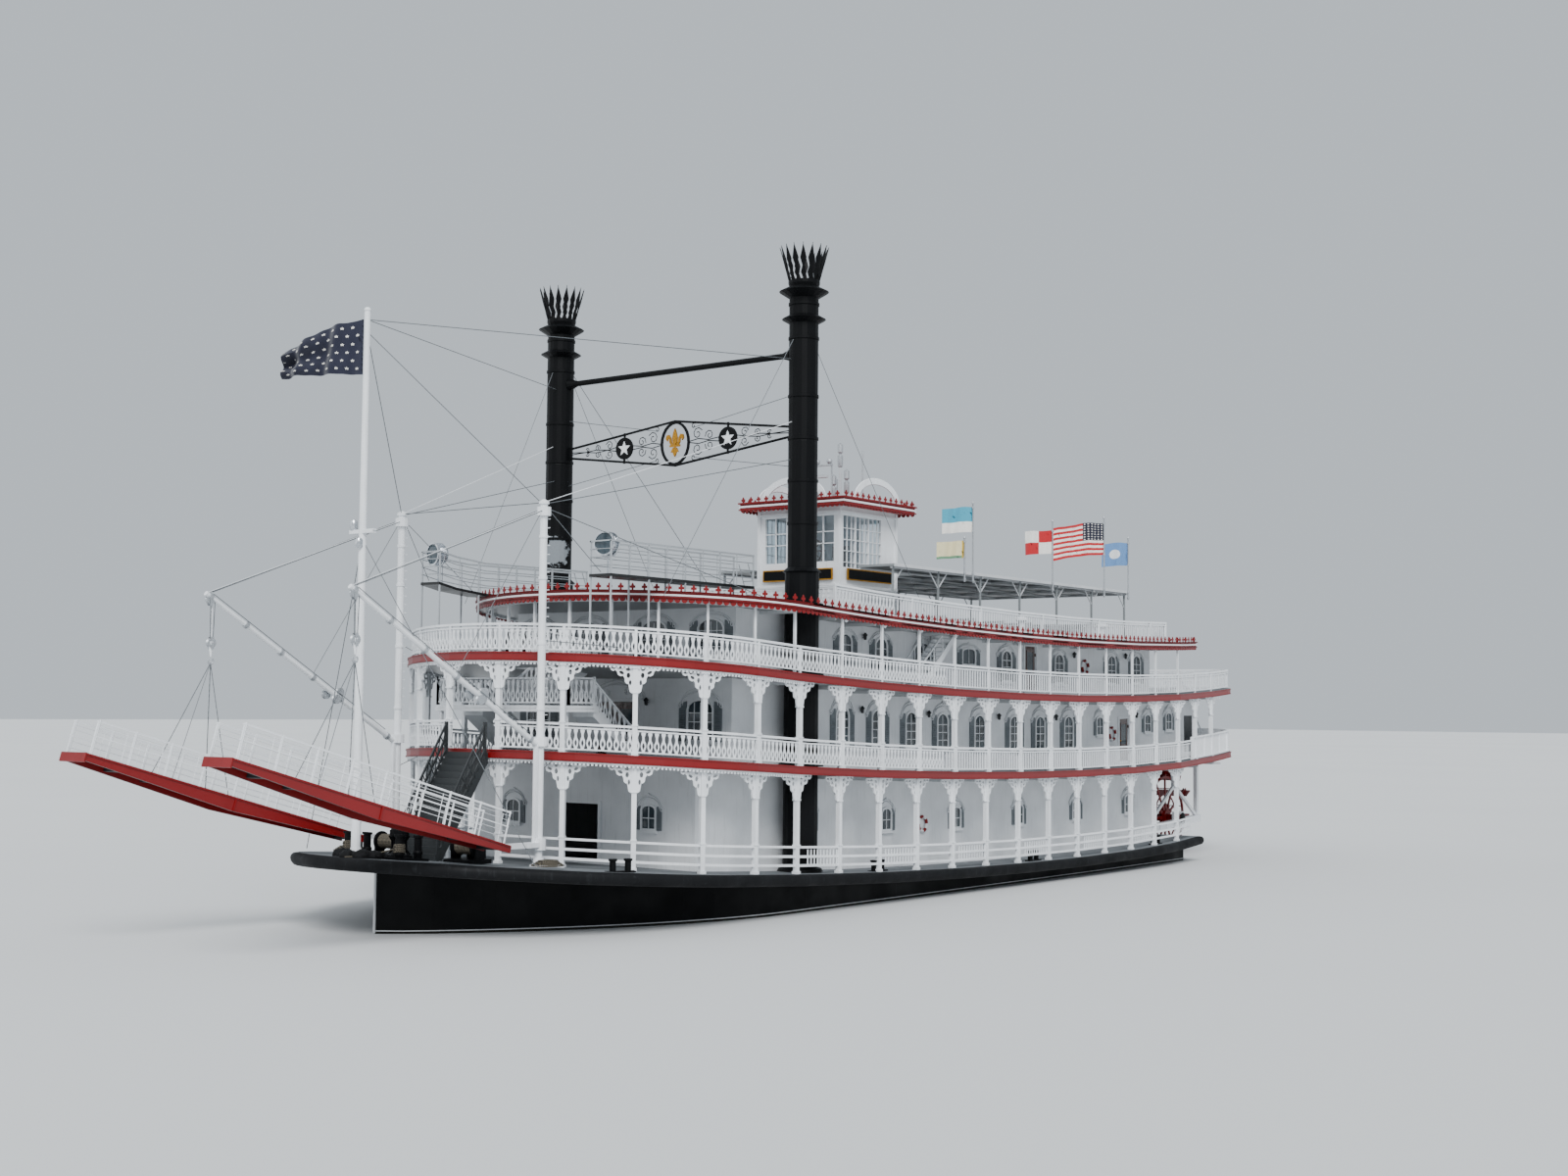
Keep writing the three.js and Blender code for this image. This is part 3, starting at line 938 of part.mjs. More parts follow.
add("pilothouse_door", doorAt(DOOR.width, 1, P.aft - hingeOut, PILOT_DOOR.y, Math.PI / 2, pilotSill), "door");

// Catwalks over the roof deck: a floor on posts with pipe rails. The starboard floor dips behind its ramp.
function catwalk(side) {
  const { front, aft, inner: insideY, outer, thick, floor, rail } = CATWALK;
  const dip = side > 0 ? 0 : STARBOARD_DIP.depth;
  const floorLine = STARBOARD_DIP.line.map(([back, share]) => [front - back, floor - dip * share]);
  const heightAt = (x) => {
    const k = floorLine.findIndex(([fx]) => fx <= x + GAP);
    const [[x0, z0], [x1, z1]] = [floorLine[Math.max(k - 1, 0)], floorLine[Math.max(k, 1)]];
    return z0 + ((x - x0) / (x1 - x0)) * (z1 - z0);
  };
  const strip = (rise, depth) => {
    const upper = floorLine.map(([x, z]) => [x, z + rise]);
    const lower = floorLine.map(([x, z]) => [x, z + rise - depth]).reverse();
    return [...upper, ...lower].reverse();
  };
  const [y0, y1] = [side * insideY, side * outer].sort((a, b) => a - b);
  const [endFront, endAft] = [front - CATWALK_RAIL.end, aft + CATWALK_RAIL.end];
  const roofEdge = ROOF_PLAN.centre + ROOF_PLAN.nose * Math.sqrt(1 - (outer / HALF_BEAM) ** 2) - CATWALK_ON_ROOF;
  const pieces = [sidePlate(strip(0, thick), y0, y1)];
  for (const y of [y0 + CATWALK_RAIL.inset, y1 - CATWALK_RAIL.inset]) {
    pieces.push(sidePlate(strip(rail, CATWALK_RAIL.depth), y - CATWALK_RAIL.half, y + CATWALK_RAIL.half));
    for (let k = 0; k < CATWALK_POSTS; k++) {
      const x = endFront - (k * (endFront - endAft)) / (CATWALK_POSTS - 1);
      const foot = standing(x < roofEdge ? ROOF.top : SECOND.top, x + CATWALK_POST);
      const head = heightAt(x) + rail - CATWALK_RAIL.half;
      pieces.push(box(x - CATWALK_POST, x + CATWALK_POST, y - CATWALK_POST, y + CATWALK_POST, foot, head));
    }
  }
  for (const x of [endFront, endAft]) {
    const [low, high] = [CATWALK_RAIL.cross_foot, CATWALK_RAIL.cross_top].map((drop) => heightAt(x) + rail - drop);
    pieces.push(box(x - BITE, x + BITE, y0 + BITE, y1 - BITE, low, high));
  }
  return join(pieces);
}
for (const [sideName, side] of Object.entries(SIDES)) add("catwalk_" + sideName, catwalk(side), "steel");

// Canopy: a flat cover on posts that stand on the roof deck.
function canopy() {
  const c = CANOPY;
  const outline = [[c.front, c.half], [c.aft, c.half], [c.aft, -c.half], [c.front, -c.half], [c.front, -c.notch_half],
    [c.notch_x, -c.notch_half], [c.notch_x, c.notch_half], [c.front, c.notch_half]];
  const pieces = [slab(outline, c.z, c.z + c.thick)];
  for (let k = 0; k < CANOPY_POSTS; k++) {
    const x = c.front - c.post_inset - (k * (c.front - c.aft - 2 * c.post_inset)) / (CANOPY_POSTS - 1);
    const foot = Math.max(standing(ROOF.top, x - CANOPY_POST), standing(ROOF.top, x + CANOPY_POST));
    for (const side of Object.values(SIDES)) {
      const y = side * (c.half - c.post_inset);
      pieces.push(box(x - CANOPY_POST, x + CANOPY_POST, y - CANOPY_POST, y + CANOPY_POST, foot, c.z + BITE));
    }
  }
  return join(pieces);
}
add("canopy", canopy(), "dark");

// Flags, each with its pole, streaming the same way.
function flagCloth(x, y, radius, top, hoist, fly) {
  const geometry = new THREE.BoxGeometry(fly, FLAG_THICK, hoist);
  geometry.translate(radius + fly / 2, 0, top - hoist / 2).rotateZ(FLAG_HEADING).translate(x, y, 0);
  return solidOf(geometry);
}
const poleY = CANOPY.half + GAP + POLE_RADIUS;
for (const [name, x, poleTop, top, hoist, fly, finish] of FLAG_POLES) {
  const pole = rod([x, poleY, FLAG_POLE_FOOT], [x, poleY, poleTop], POLE_RADIUS, POLE_RADIUS, 8);
  add(name, join([pole, flagCloth(x, poleY, POLE_RADIUS / 2, top, hoist, fly)]), finish);
}
const staffTaper = (JACKSTAFF.foot - JACKSTAFF.head) / (JACKSTAFF.top - JACKSTAFF.base);
const staffRadius = JACKSTAFF.head + staffTaper * (JACKSTAFF.top - BOW_FLAG.top + BOW_FLAG.hoist);
add("flag_bow", flagCloth(JACKSTAFF.x, 0, staffRadius + GAP, BOW_FLAG.top, BOW_FLAG.hoist, BOW_FLAG.fly), "navy");

// Paddle wheel: three wheels of arms on a shaft, joined by the bucket boards.
function paddleWheel() {
  const { x, z, radius, half } = WHEEL;
  const pieces = [];
  for (const y of WHEEL_FRAMES) {
    const ring = new THREE.Shape().absarc(0, 0, WHEEL_RIM.radius + WHEEL_RIM.depth, 0, 2 * Math.PI);
    ring.holes.push(new THREE.Path().absarc(0, 0, WHEEL_RIM.radius, 0, 2 * Math.PI));
    const rim = new THREE.ExtrudeGeometry(ring, { depth: WHEEL_RIM.thick, bevelEnabled: false, curveSegments: WHEEL_SIDES / 2 });
    pieces.push(solidOf(rim.rotateX(Math.PI / 2).translate(x, y + WHEEL_RIM.thick / 2, z)));
    pieces.push(rod([x, y - HUB.half, z], [x, y + HUB.half, z], HUB.radius, HUB.radius, HUB.sides));
    for (let k = 0; k < WHEEL.blades; k++) {
      const length = radius - ARM_BAR.short;
      const arm = new THREE.BoxGeometry(length, ARM_BAR.thick, ARM_BAR.width);
      arm.translate(length / 2 + ARM_BAR.start, 0, 0).rotateY((k / WHEEL.blades) * 2 * Math.PI).translate(x, y, z);
      pieces.push(solidOf(arm));
    }
  }
  for (let k = 0; k < WHEEL.blades; k++) {
    const blade = new THREE.BoxGeometry(BLADE.depth, 2 * half, BLADE.thick);
    blade.translate(radius - BLADE.depth / 2, 0, BLADE.offset);
    blade.rotateY((k / WHEEL.blades) * 2 * Math.PI).translate(x, 0, z);
    pieces.push(solidOf(blade));
  }
  const shaftLength = 2 * (BEAM.y + BEAM.half + WHEEL.shaft_past);
  const shaft = new THREE.CylinderGeometry(WHEEL.shaft, WHEEL.shaft, shaftLength, SHAFT_SIDES);
  pieces.push(solidOf(shaft.translate(x, 0, z)));
  return join(pieces);
}
add("paddle_wheel", paddleWheel(), "red");

// Wheel beams run aft from the main deck and carry the shaft's bearings, with posts under the overhang.
function wheelBeams() {
  const foot = MAIN.top + GAP;
  const warped = [];
  for (const side of Object.values(SIDES)) {
    warped.push(sideBox(side, BEAM.aft, BEAM.front, BEAM.y - BEAM.half, BEAM.y + BEAM.half, foot, foot + BEAM.height));
    for (const x of BEAM_POST.places) {
      const thick = BEAM_POST.half;
      warped.push(sideBox(side, x - thick, x + thick, BEAM.y - thick, BEAM.y + thick, foot, columnTop(FIRST)));
    }
  }
  warped.push(box(BEAM.tie_aft, BEAM.tie_front, -BEAM.y, BEAM.y, foot, foot + BEAM.height - BITE));
  const [bearingFoot, bearingTop] = [WHEEL.z - BEARING.under, WHEEL.z + BEARING.over];
  const bearings = Object.values(SIDES).map((side) =>
    sideBox(side, WHEEL.x - BEARING.half, WHEEL.x + BEARING.half, BEAM.y - BEAM.half, BEAM.y + BEAM.half,
      bearingFoot, bearingTop),
  );
  // The bore's flats face the shaft's corners, a clearance away from them.
  const bore = (WHEEL.shaft + BEARING_CLEARANCE) / Math.cos(Math.PI / SHAFT_SIDES);
  const through = 2 * (BEAM.y + PAST);
  const hole = new THREE.CylinderGeometry(bore, bore, through, SHAFT_SIDES, 1, false, Math.PI / SHAFT_SIDES);
  const shaftHole = solidOf(hole.translate(WHEEL.x, 0, WHEEL.z));
  return cut(join([sheered(join(warped)), ...bearings]), [shaftHole]);
}
add("wheel_beams", wheelBeams(), "white");

// Rudders ahead of the wheel, hung on stocks under the raked bottom.
for (const [sideName, side] of Object.entries(SIDES)) {
  const y = side * RUDDER.y;
  const bottomAt = (x) => -DRAFT + ((RAKE_START_X - x) / (RAKE_START_X - HULL_AFT)) * (TRANSOM_FOOT + DRAFT);
  const blade = box(RUDDER.aft, RUDDER.front, y - RUDDER.thick / 2, y + RUDDER.thick / 2, RUDDER.foot, RUDDER.top);
  const stockTop = bottomAt(RUDDER.x + RUDDER.stock) - GAP;
  const at = (z) => [RUDDER.x, y, z];
  const stock = rod(at(RUDDER.stock_foot), at(stockTop), RUDDER.stock, RUDDER.stock, RUDDER.sides);
  add("rudder_" + sideName, join([blade, stock]), "black");
}

export default boat;
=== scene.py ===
"""Sternwheel paddle boat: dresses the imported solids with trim, gear, cloth and paint.

Shapes are drawn in metres of the full-size boat, with heights counted from the waterline. They are
brought to the model's metres when a piece is finished.
"""
import random
from math import atan2, ceil, cos, pi, radians, sin

import bmesh
import bpy
from bpy.types import Operator, Panel, PropertyGroup
from mathutils import Matrix, Vector


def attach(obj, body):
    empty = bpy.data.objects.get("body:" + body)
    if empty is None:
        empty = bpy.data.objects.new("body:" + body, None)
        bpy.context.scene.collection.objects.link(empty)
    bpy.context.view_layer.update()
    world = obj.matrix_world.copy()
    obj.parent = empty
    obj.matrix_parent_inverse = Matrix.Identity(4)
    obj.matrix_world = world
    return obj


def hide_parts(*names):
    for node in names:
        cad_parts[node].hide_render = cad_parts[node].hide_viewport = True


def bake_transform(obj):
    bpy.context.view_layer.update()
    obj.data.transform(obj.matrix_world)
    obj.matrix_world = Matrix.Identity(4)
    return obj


bl_info = {
    "name": "Sternwheel paddle boat",
    "version": (1, 0, 0),
    "blender": (4, 5, 0),
    "location": "3D View > Sidebar > Paddle boat",
    "description": "Adds the trim, gear, flags and paint of a sternwheel paddle boat",
    "category": "Add Mesh",
}

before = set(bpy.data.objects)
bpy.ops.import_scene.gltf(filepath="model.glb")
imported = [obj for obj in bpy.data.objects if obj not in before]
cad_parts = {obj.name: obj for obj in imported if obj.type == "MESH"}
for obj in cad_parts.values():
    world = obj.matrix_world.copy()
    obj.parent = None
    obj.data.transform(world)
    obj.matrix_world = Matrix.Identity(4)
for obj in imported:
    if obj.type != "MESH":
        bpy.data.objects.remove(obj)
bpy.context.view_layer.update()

# The boat's main places, in full-size metres.
DRAFT = 1.7
TO_MODEL = Matrix.Scale(0.5, 4) @ Matrix.Translation((0, 0, DRAFT))
LOW_X, SHEER_FORWARD, SHEER_AFT, STATION = -19.95, 0.001238, 0.00162, 5.292
HALF_BEAM, NOSE_SEGMENTS, CORNER_SEGMENTS = 7.56, 11, 5
BAY, COLUMN_X, BOW_BAYS = 2.646, 1.575, 5.5
MAIN, FIRST, SECOND, ROOF = 0.95, 4.83, 8.19, 10.76
FIRST_CEILING, SECOND_CEILING, ROOF_CEILING = 4.53, 7.89, 10.5
MAIN_PLAN = (6, 10.4, ((-24, 7.56), (-28.8, 7.48), (-32.8, 7.08)), None)
DECK_PLAN = (4.2, 6.68, ((-25, 7.56), (-30.2, 7.39), (-32.82, 7.08), (-38.07, 6.42)), (1.6, 2.0))
ROOF_PLAN = (1.05, 6.2, ((-24, 7.56), (-30.2, 7.39), (-32.6, 7.12)), None)
RAIL_INSET, MAIN_RAIL_INSET, BULWARK_X = 0.16, 0.26, -32.2
BOW_GATE_HALF = 1.05
HOUSE_HALF = 5.55
FIRST_HOUSE, SECOND_CABIN, MAIN_HOUSE = (3.2, -35.9), (3.0, -30.5), (5.2, -31.2)
DOOR_SILL, DOOR_HEIGHT, SIDE_DOOR_X, CABIN_DOOR_X, PILOT_DOOR_Y = 0.14, 2.05, -27.6, -18.4, -0.75
ROOF_RAIL = (-1.2, -29.4, 6.95)
STACK_Y = 6.3
MAST_X, MAST_Y, MAST_HEAD = 10.94, 3.54, 14.3
STAFF_X = 15.75
HINGE_X, HINGE_Z, STAGE_SLOPE = 12.7, 2.9, radians(15.4)
PILOT_FRONT, PILOT_AFT, PILOT_HALF = -8.29, -12.5, 2.15
PILOT_FOOT, PILOT_SILL, PILOT_LINTEL, PILOT_TOP = 12.65, 13.75, 15.7, 16.1
WHEEL_X, WHEEL_Z = -37.07, 1.84
POLE_Y, POLE_FOOT, FLAG_TURN = 4.7356, 13.1, radians(-53)
SIDES = {"port": 1, "starboard": -1}
BOTH = (1, -1)
UP = Vector((0, 0, 1))
QUARTER = pi / 2
# Turns that lay an upright piece along Y and along X.
ON_SIDE, AHEAD = Matrix.Rotation(QUARTER, 4, "X"), Matrix.Rotation(QUARTER, 4, "Y")

# The solids that each paint goes on; their names may end in a side. The others are plain white.
NODE_PAINTS = {
    "white sheeted wall": ("main_house", "first_house", "second_cabin", "pilothouse_base"),
    "black hull plating": ("hull", "rudder"),
    "grey deck paint": ("main_deck",),
    "deck with red edge": ("first_deck", "second_deck"),
    "roof with red edge": ("roof_deck",),
    "red roof enamel": ("pilothouse_roof",),
    "clear plate glass": ("pilothouse_glass",),
    "black stack paint": ("stack_port", "stack_crossbar", "stack_ornament", "capstan", "bow_bitts"),
    "black stack paint with bare patch": ("stack_starboard",),
    "dark grey steel paint": ("bow_stair",),
    "canopy sheet": ("canopy",),
    "stage plating": ("stage",),
    "catwalk plating": ("catwalk",),
    "red gloss enamel": ("paddle_wheel",),
    "varnished mahogany": ("saloon_door", "first_side_door", "second_side_door", "pilothouse_door"),
}

# Each flag: X of its pole, pole's top, cloth's top, hoist, fly and cloth.
FLAGS = {
    "flag_teal": (-14.8, 16.6, 16.45, 1.1, 1.45, "teal and white flag cloth"),
    "flag_cream": (-14.1, 15.0, 14.9, 0.75, 1.3, "cream flag cloth"),
    "flag_quartered": (-22.0, 16.4, 16.0, 1.1, 1.35, "quartered flag cloth"),
    "flag_striped": (-27.2, 17.0, 16.8, 1.6, 2.7, "striped flag cloth"),
    "flag_blue": (-29.8, 16.2, 16.0, 1.15, 1.4, "light blue flag cloth"),
}
BOW_FLAG_TOP, BOW_FLAG_HOIST, BOW_FLAG_FLY, BOW_FLAG_GAP, BOW_SEED = 20.2, 1.83, 2.9, 0.115, 9


def linear(code):
    """An sRGB hex colour as the linear colour that shaders take."""
    parts = [((code >> shift) & 255) / 255 for shift in (16, 8, 0)]
    return tuple(p / 12.92 if p <= 0.04045 else ((p + 0.055) / 1.055) ** 2.4 for p in parts)


def colour(name, description, code):
    return bpy.props.FloatVectorProperty(
        name=name, description=description, default=linear(code), size=3, min=0, max=1, subtype="COLOR")


def length(name, description, default):
    return bpy.props.FloatProperty(name=name, description=description, default=default, unit="LENGTH")


class BoatPaint(PropertyGroup):
    """Colours of the boat's paints and cloths."""

    white: colour("White", "Gloss paint of houses, rails and columns", 0xEDF0F3)
    red: colour("Red", "Gloss paint of deck edges, eaves and landing stages", 0x7C060A)
    black: colour("Black", "Gloss paint of the stacks", 0x08090B)
    hull: colour("Hull black", "Paint of the hull", 0x050607)
    shutter: colour("Shutter grey", "Paint of the louvred shutters", 0x6C7479)
    deck: colour("Deck grey", "Non-slip paint of the decks", 0x6A6F73)
    # On the canopy's underside this dark grey is painted shade.
    dark: colour("Dark grey", "Paint of the bow stair and the canopy's underside", 0x25292B)
    wood: colour("Door brown", "Varnished wood of the doors", 0x4A2115)
    gold: colour("Gold", "Leaf on the ornament", 0xC08A2E)
    teal: colour("Teal", "Cloth of the teal flag", 0x3E9BB5)
    sky: colour("Light blue", "Cloth of the light blue flag", 0x5F87B8)
    navy: colour("Navy", "Cloth of the bow flag and of the striped flag's corner", 0x0F142C)
    scarlet: colour("Scarlet", "Cloth of the striped and quartered flags", 0xB4141F)
    floor: colour("Floor", "The studio floor", 0xD3D5D6)


class BoatSizes(PropertyGroup):
    """Sizes of repeated trim, in metres of the full-size boat."""

    baluster_pitch: length("Baluster pitch", "Distance between cut-out balusters", 0.23)
    slat_pitch: length("Slat pitch", "Distance between plain slats", 0.2)
    vase_end: length("Cut-outs end", "X aft of which the deck rails have plain slats", -8.4)
    roof_vase_end: length("Roof cut-outs end", "X aft of which the roof rail has plain slats", -5.4)
    bracket_reach: length("Bracket reach", "How far a column's bracket runs along the deck edge", 0.78)
    bracket_drop: length("Bracket drop", "How far a column's bracket reaches down", 0.95)
    scallop_pitch: length("Scallop pitch", "Distance between the scallops under the eaves", 0.25)
    crest_pitch: length("Crest pitch", "Distance between the leaves on the eaves", 0.44)
    window_width: length("Window width", "Width of an arched window", 0.78)
    shutter_width: length("Shutter width", "Width of a louvred shutter", 0.34)
    wire: length("Wire", "Radius of rigging wire", 0.014)


# Lines and places on the boat.

def sheer_curve(x):
    return (SHEER_FORWARD if x > LOW_X else SHEER_AFT) * (x - LOW_X) ** 2


def sheer(x):
    """Rise of the decks at x, straight between stations as in the solids."""
    station = (x - LOW_X) // STATION
    x0, x1 = (LOW_X + (station + step) * STATION for step in (0, 1))
    return sheer_curve(x0) + (x - x0) / STATION * (sheer_curve(x1) - sheer_curve(x0))


def plan_edge(plan, inset=0.0):
    """Port half of a deck's edge from its nose to its stern, drawn in by inset."""
    centre, nose, sides, corner = plan
    bow = swing(NOSE_SEGMENTS, 0, QUARTER)
    half = [Vector((centre + (nose - inset) * c, (HALF_BEAM - inset) * s)) for c, s in bow]
    for k, (x, y) in enumerate(sides):
        last = k == len(sides) - 1
        half.append(Vector((x + inset if last and not corner else x, y - inset)))
    if corner:
        (x, y), (run, width) = sides[-1], corner
        for c, s in swing(CORNER_SEGMENTS, 0, QUARTER)[1:]:
            half.append(Vector((x - (run - inset) * s, y - width + (width - inset) * c)))
    return half


def fine(points, step=0.9):
    """The same line with more points, none further apart than step."""
    out = [points[0]]
    for a, b in zip(points, points[1:]):
        count = max(1, ceil((b - a).length / step))
        out += [a.lerp(b, k / count) for k in range(1, count + 1)]
    return out


def ring(plan, across=False):
    """A deck's whole edge from the starboard stern round the bow, or all the way round."""
    half = plan_edge(plan)
    whole = [Vector((p.x, -p.y)) for p in reversed(half[1:])] + half
    end = Vector((half[-1].x, 0))
    return [end, *whole, end] if across else whole


def run_of(plan, inset, front=99.0, aft=-99.0, inner=0.0):
    """Part of the port edge, with its stern, between two X and outside a distance from the centreline."""
    edge = plan_edge(plan, inset)
    whole = fine(edge + [Vector((edge[-1].x, 0.0))], 0.3)
    return [p for p in whole if aft <= p.x <= front and p.y >= inner]


def walk(points, pitch, first=0.0):
    """Places one pitch apart along a line: each a point and the line's heading there."""
    rest, found = first, []
    for a, b in zip(points, points[1:]):
        run = (b - a).length
        while rest <= run:
            found.append((a.lerp(b, rest / run), atan2(b.y - a.y, b.x - a.x)))
            rest += pitch
        rest -= run
    return found


def columns(inset, last_x):
    """The port columns under a deck's edge: place and heading, as in the solids."""
    edge = plan_edge(DECK_PLAN, inset)
    bend = [p for p in edge if p.x > COLUMN_X] + [Vector((COLUMN_X, HALF_BEAM - inset))]
    whole = sum((b - a).length for a, b in zip(bend, bend[1:]))
    places = walk(bend, whole / BOW_BAYS, whole / BOW_BAYS / 2)[:6]
    x = COLUMN_X - BAY
    while x > last_x:
        k = next(i for i, p in enumerate(edge) if p.x < x)
        a, b = edge[k - 1], edge[k]
        places.append((a.lerp(b, (x - a.x) / (b.x - a.x)), atan2(b.y - a.y, b.x - a.x)))
        x -= BAY
    return places


COLUMN_ROWS = ((FIRST, SECOND_CEILING, RAIL_INSET, -38.07), (MAIN, FIRST_CEILING, MAIN_RAIL_INSET, -32.8))


def on_deck(points, deck, rise=0.0):
    """Level points lifted to a deck that follows the sheer."""
    return [Vector((p.x, p.y, deck + sheer(p.x) + rise)) for p in points]


def at(x=0.0, y=0.0, z=0.0, heading=0.0):
    return Matrix.Translation((x, y, z)) @ Matrix.Rotation(heading, 4, "Z")


def on(x, y, deck, rise=0.0, heading=0.0):
    """A place over a deck that follows the sheer."""
    return at(x, y, deck + sheer(x) + rise, heading)


def on_places(places, deck, rise=0.0):
    return [on(p.x, p.y, deck, rise, heading) for p, heading in places]


def wall_at(side, x, deck, rise):
    """A place on a house's side wall, whose own -Y points outwards."""
    return on(x, side * HOUSE_HALF, deck, rise, pi if side > 0 else 0.0)


def on_stage(side, x, y, z):
    """A point given along a landing stage from its hinge, across it and above its floor line."""
    turn = Matrix.Rotation(-STAGE_SLOPE, 3, "Y")
    return Vector((HINGE_X, side * MAST_Y, HINGE_Z)) + turn @ Vector((x, y, z))


# Outlines, each a list of (along, up) points.

def rect(left, low, right, high):
    return [(left, low), (right, low), (right, high), (left, high)]


def swing(steps, start=0.0, turn=2 * pi):
    """Cosines and sines of evenly spaced angles."""
    return [(cos(start + turn * k / steps), sin(start + turn * k / steps)) for k in range(steps + 1)]


def arc(half, rise, steps, base=0.0):
    """Half an oval over a base line, from its right end to its left."""
    return [(half * c, base + rise * s) for c, s in swing(steps, 0, pi)]


def arch(width, height, rise, grow=0.0):
    """Outline of an arched opening that stands on zero."""
    half = width / 2 + grow
    return [(-half, -grow), (half, -grow)] + arc(half, rise + grow, 7, height - rise)


def both_halves(right):
    """A right half, drawn from its foot to its head, closed by its mirror image."""
    return right + [(-u, v) for u, v in reversed(right) if u]


def vase(height, half):
    """Outline of a sawn baluster."""
    widths = ((0.55, 0), (0.55, 0.08), (0.8, 0.16), (1, 0.3), (0.86, 0.44), (0.5, 0.56), (0.36, 0.68),
              (0.5, 0.8), (0.72, 0.88), (0.72, 1))
    return both_halves([(half * w, height * h) for w, h in widths])


def lens(half, low, high, steps=4):
    """Outline of a pointed oval hole."""
    rise = [(half * sin(pi * k / steps), low + (high - low) * k / steps) for k in range(steps + 1)]
    return rise + [(-u, v) for u, v in reversed(rise[1:-1])]


def leaf(width, height):
    """Outline of a trefoil leaf that stands on an eave."""
    shape = ((0.16, 0), (0.16, 0.3), (0.5, 0.3), (0.5, 0.62), (0.22, 0.62), (0.2, 0.8), (0, 1))
    return both_halves([(width * u, height * v) for u, v in shape])


def scallop(half, drop):
    """Outline of a hanging half round."""
    return arc(-half, -drop, 5) + [(half, 0.04), (-half, 0.04)]


def star(radius, inner):
    reaches = [inner if k % 2 else radius for k in range(10)]
    return [(r * c, r * s) for r, (c, s) in zip(reaches, swing(10, QUARTER))]


def oval(u, v, half, rise, lean=0.0):
    """Outline of an oval hole that leans by an angle."""
    across, up = cos(lean), sin(lean)
    points = [(half * c, rise * s) for c, s in swing(8)[:8]]
    return [(u + a * across - b * up, v + a * up + b * across) for a, b in points]


def scroll(centre, wide, narrow, start, turn, steps=9):
    """Points of a flat spiral from its outer end inwards."""
    reaches = [wide + (narrow - wide) * k / steps for k in range(steps + 1)]
    return [(centre[0] + r * c, centre[1] + r * s) for r, (c, s) in zip(reaches, swing(steps, start, turn))]


def strap(width, height, out=0.0, up=0.0):
    """Profile of a flat bar for sweep, centred on (out, up)."""
    return rect(out - width / 2, up - height / 2, out + width / 2, up + height / 2)


def upright(points, y=0.0):
    """Flat (along, up) points stood up as points in space."""
    return [Vector((u, y, v)) for u, v in points]


def hoop(centre, radius, axis, steps, start=0.0, turn=2 * pi):
    """Points of a circle, or of part of one, about an axis through its centre."""
    ways = {"X": ((0, 1, 0), UP), "Y": ((1, 0, 0), UP), "Z": ((1, 0, 0), (0, 1, 0))}[axis]
    u, v = Vector(ways[0]), Vector(ways[1])
    return [Vector(centre) + radius * (u * c + v * s) for c, s in swing(steps, start, turn)]


# Shapes.

def as_mesh(bm):
    """Closes a mesh in the making and gives it as mesh data."""
    bmesh.ops.recalc_face_normals(bm, faces=bm.faces)
    mesh = bpy.data.meshes.new("shape")
    bm.to_mesh(mesh)
    bm.free()
    return mesh


def stamp(bm, shape, places):
    """Adds a copy of a mesh at each place."""
    for place in places:
        copy = shape.copy()
        copy.transform(place)
        bm.from_mesh(copy)
        bpy.data.meshes.remove(copy)


def block(bm, low, high, place=Matrix()):
    """A square-edged block between two corners."""
    low, high = Vector(low), Vector(high)
    size = Matrix.Diagonal((*(high - low), 1))
    bmesh.ops.create_cube(bm, size=1, matrix=place @ Matrix.Translation((low + high) / 2) @ size)


def bar(bm, start, end, width, height):
    """A square bar between two points, width across and height upwards."""
    start, end = Vector(start), Vector(end)
    along = (end - start).normalized()
    side = UP.cross(along)
    side = side.normalized() if side.length > 1e-6 else Vector((0, 1, 0))
    turn = Matrix((along, side, along.cross(side))).transposed().to_4x4()
    size = Matrix.Diagonal(((end - start).length, width, height, 1))
    bmesh.ops.create_cube(bm, size=1, matrix=Matrix.Translation((start + end) / 2) @ turn @ size)


def plate(outline, thick, holes=()):
    """A flat cut-out, drawn as (along, up) points and made thick to both sides."""
    bm = bmesh.new()
    edges = []
    for loop in (outline, *holes):
        verts = [bm.verts.new((u, 0, v)) for u, v in loop]
        edges += [bm.edges.new((verts[k - 1], verts[k])) for k in range(len(verts))]
    bmesh.ops.triangle_fill(bm, edges=edges, use_beauty=True, normal=(0, -1, 0))
    made = bmesh.ops.extrude_face_region(bm, geom=bm.faces[:])["geom"]
    moved = [v for v in made if isinstance(v, bmesh.types.BMVert)]
    bmesh.ops.translate(bm, vec=(0, thick, 0), verts=moved)
    bmesh.ops.translate(bm, vec=(0, -thick / 2, 0), verts=bm.verts)
    return as_mesh(bm)


def turned(profile, steps=16):
    """A piece turned about an upright axis, from a profile of (radius, height) points."""
    bm = bmesh.new()
    verts = [bm.verts.new((r, 0, z)) for r, z in profile]
    edges = [bm.edges.new(pair) for pair in zip(verts, verts[1:])]
    bmesh.ops.spin(bm, geom=verts + edges, cent=(0, 0, 0), axis=(0, 0, 1), angle=2 * pi, steps=steps,
                   use_merge=True)
    bmesh.ops.remove_doubles(bm, verts=bm.verts, dist=1e-5)
    return as_mesh(bm)


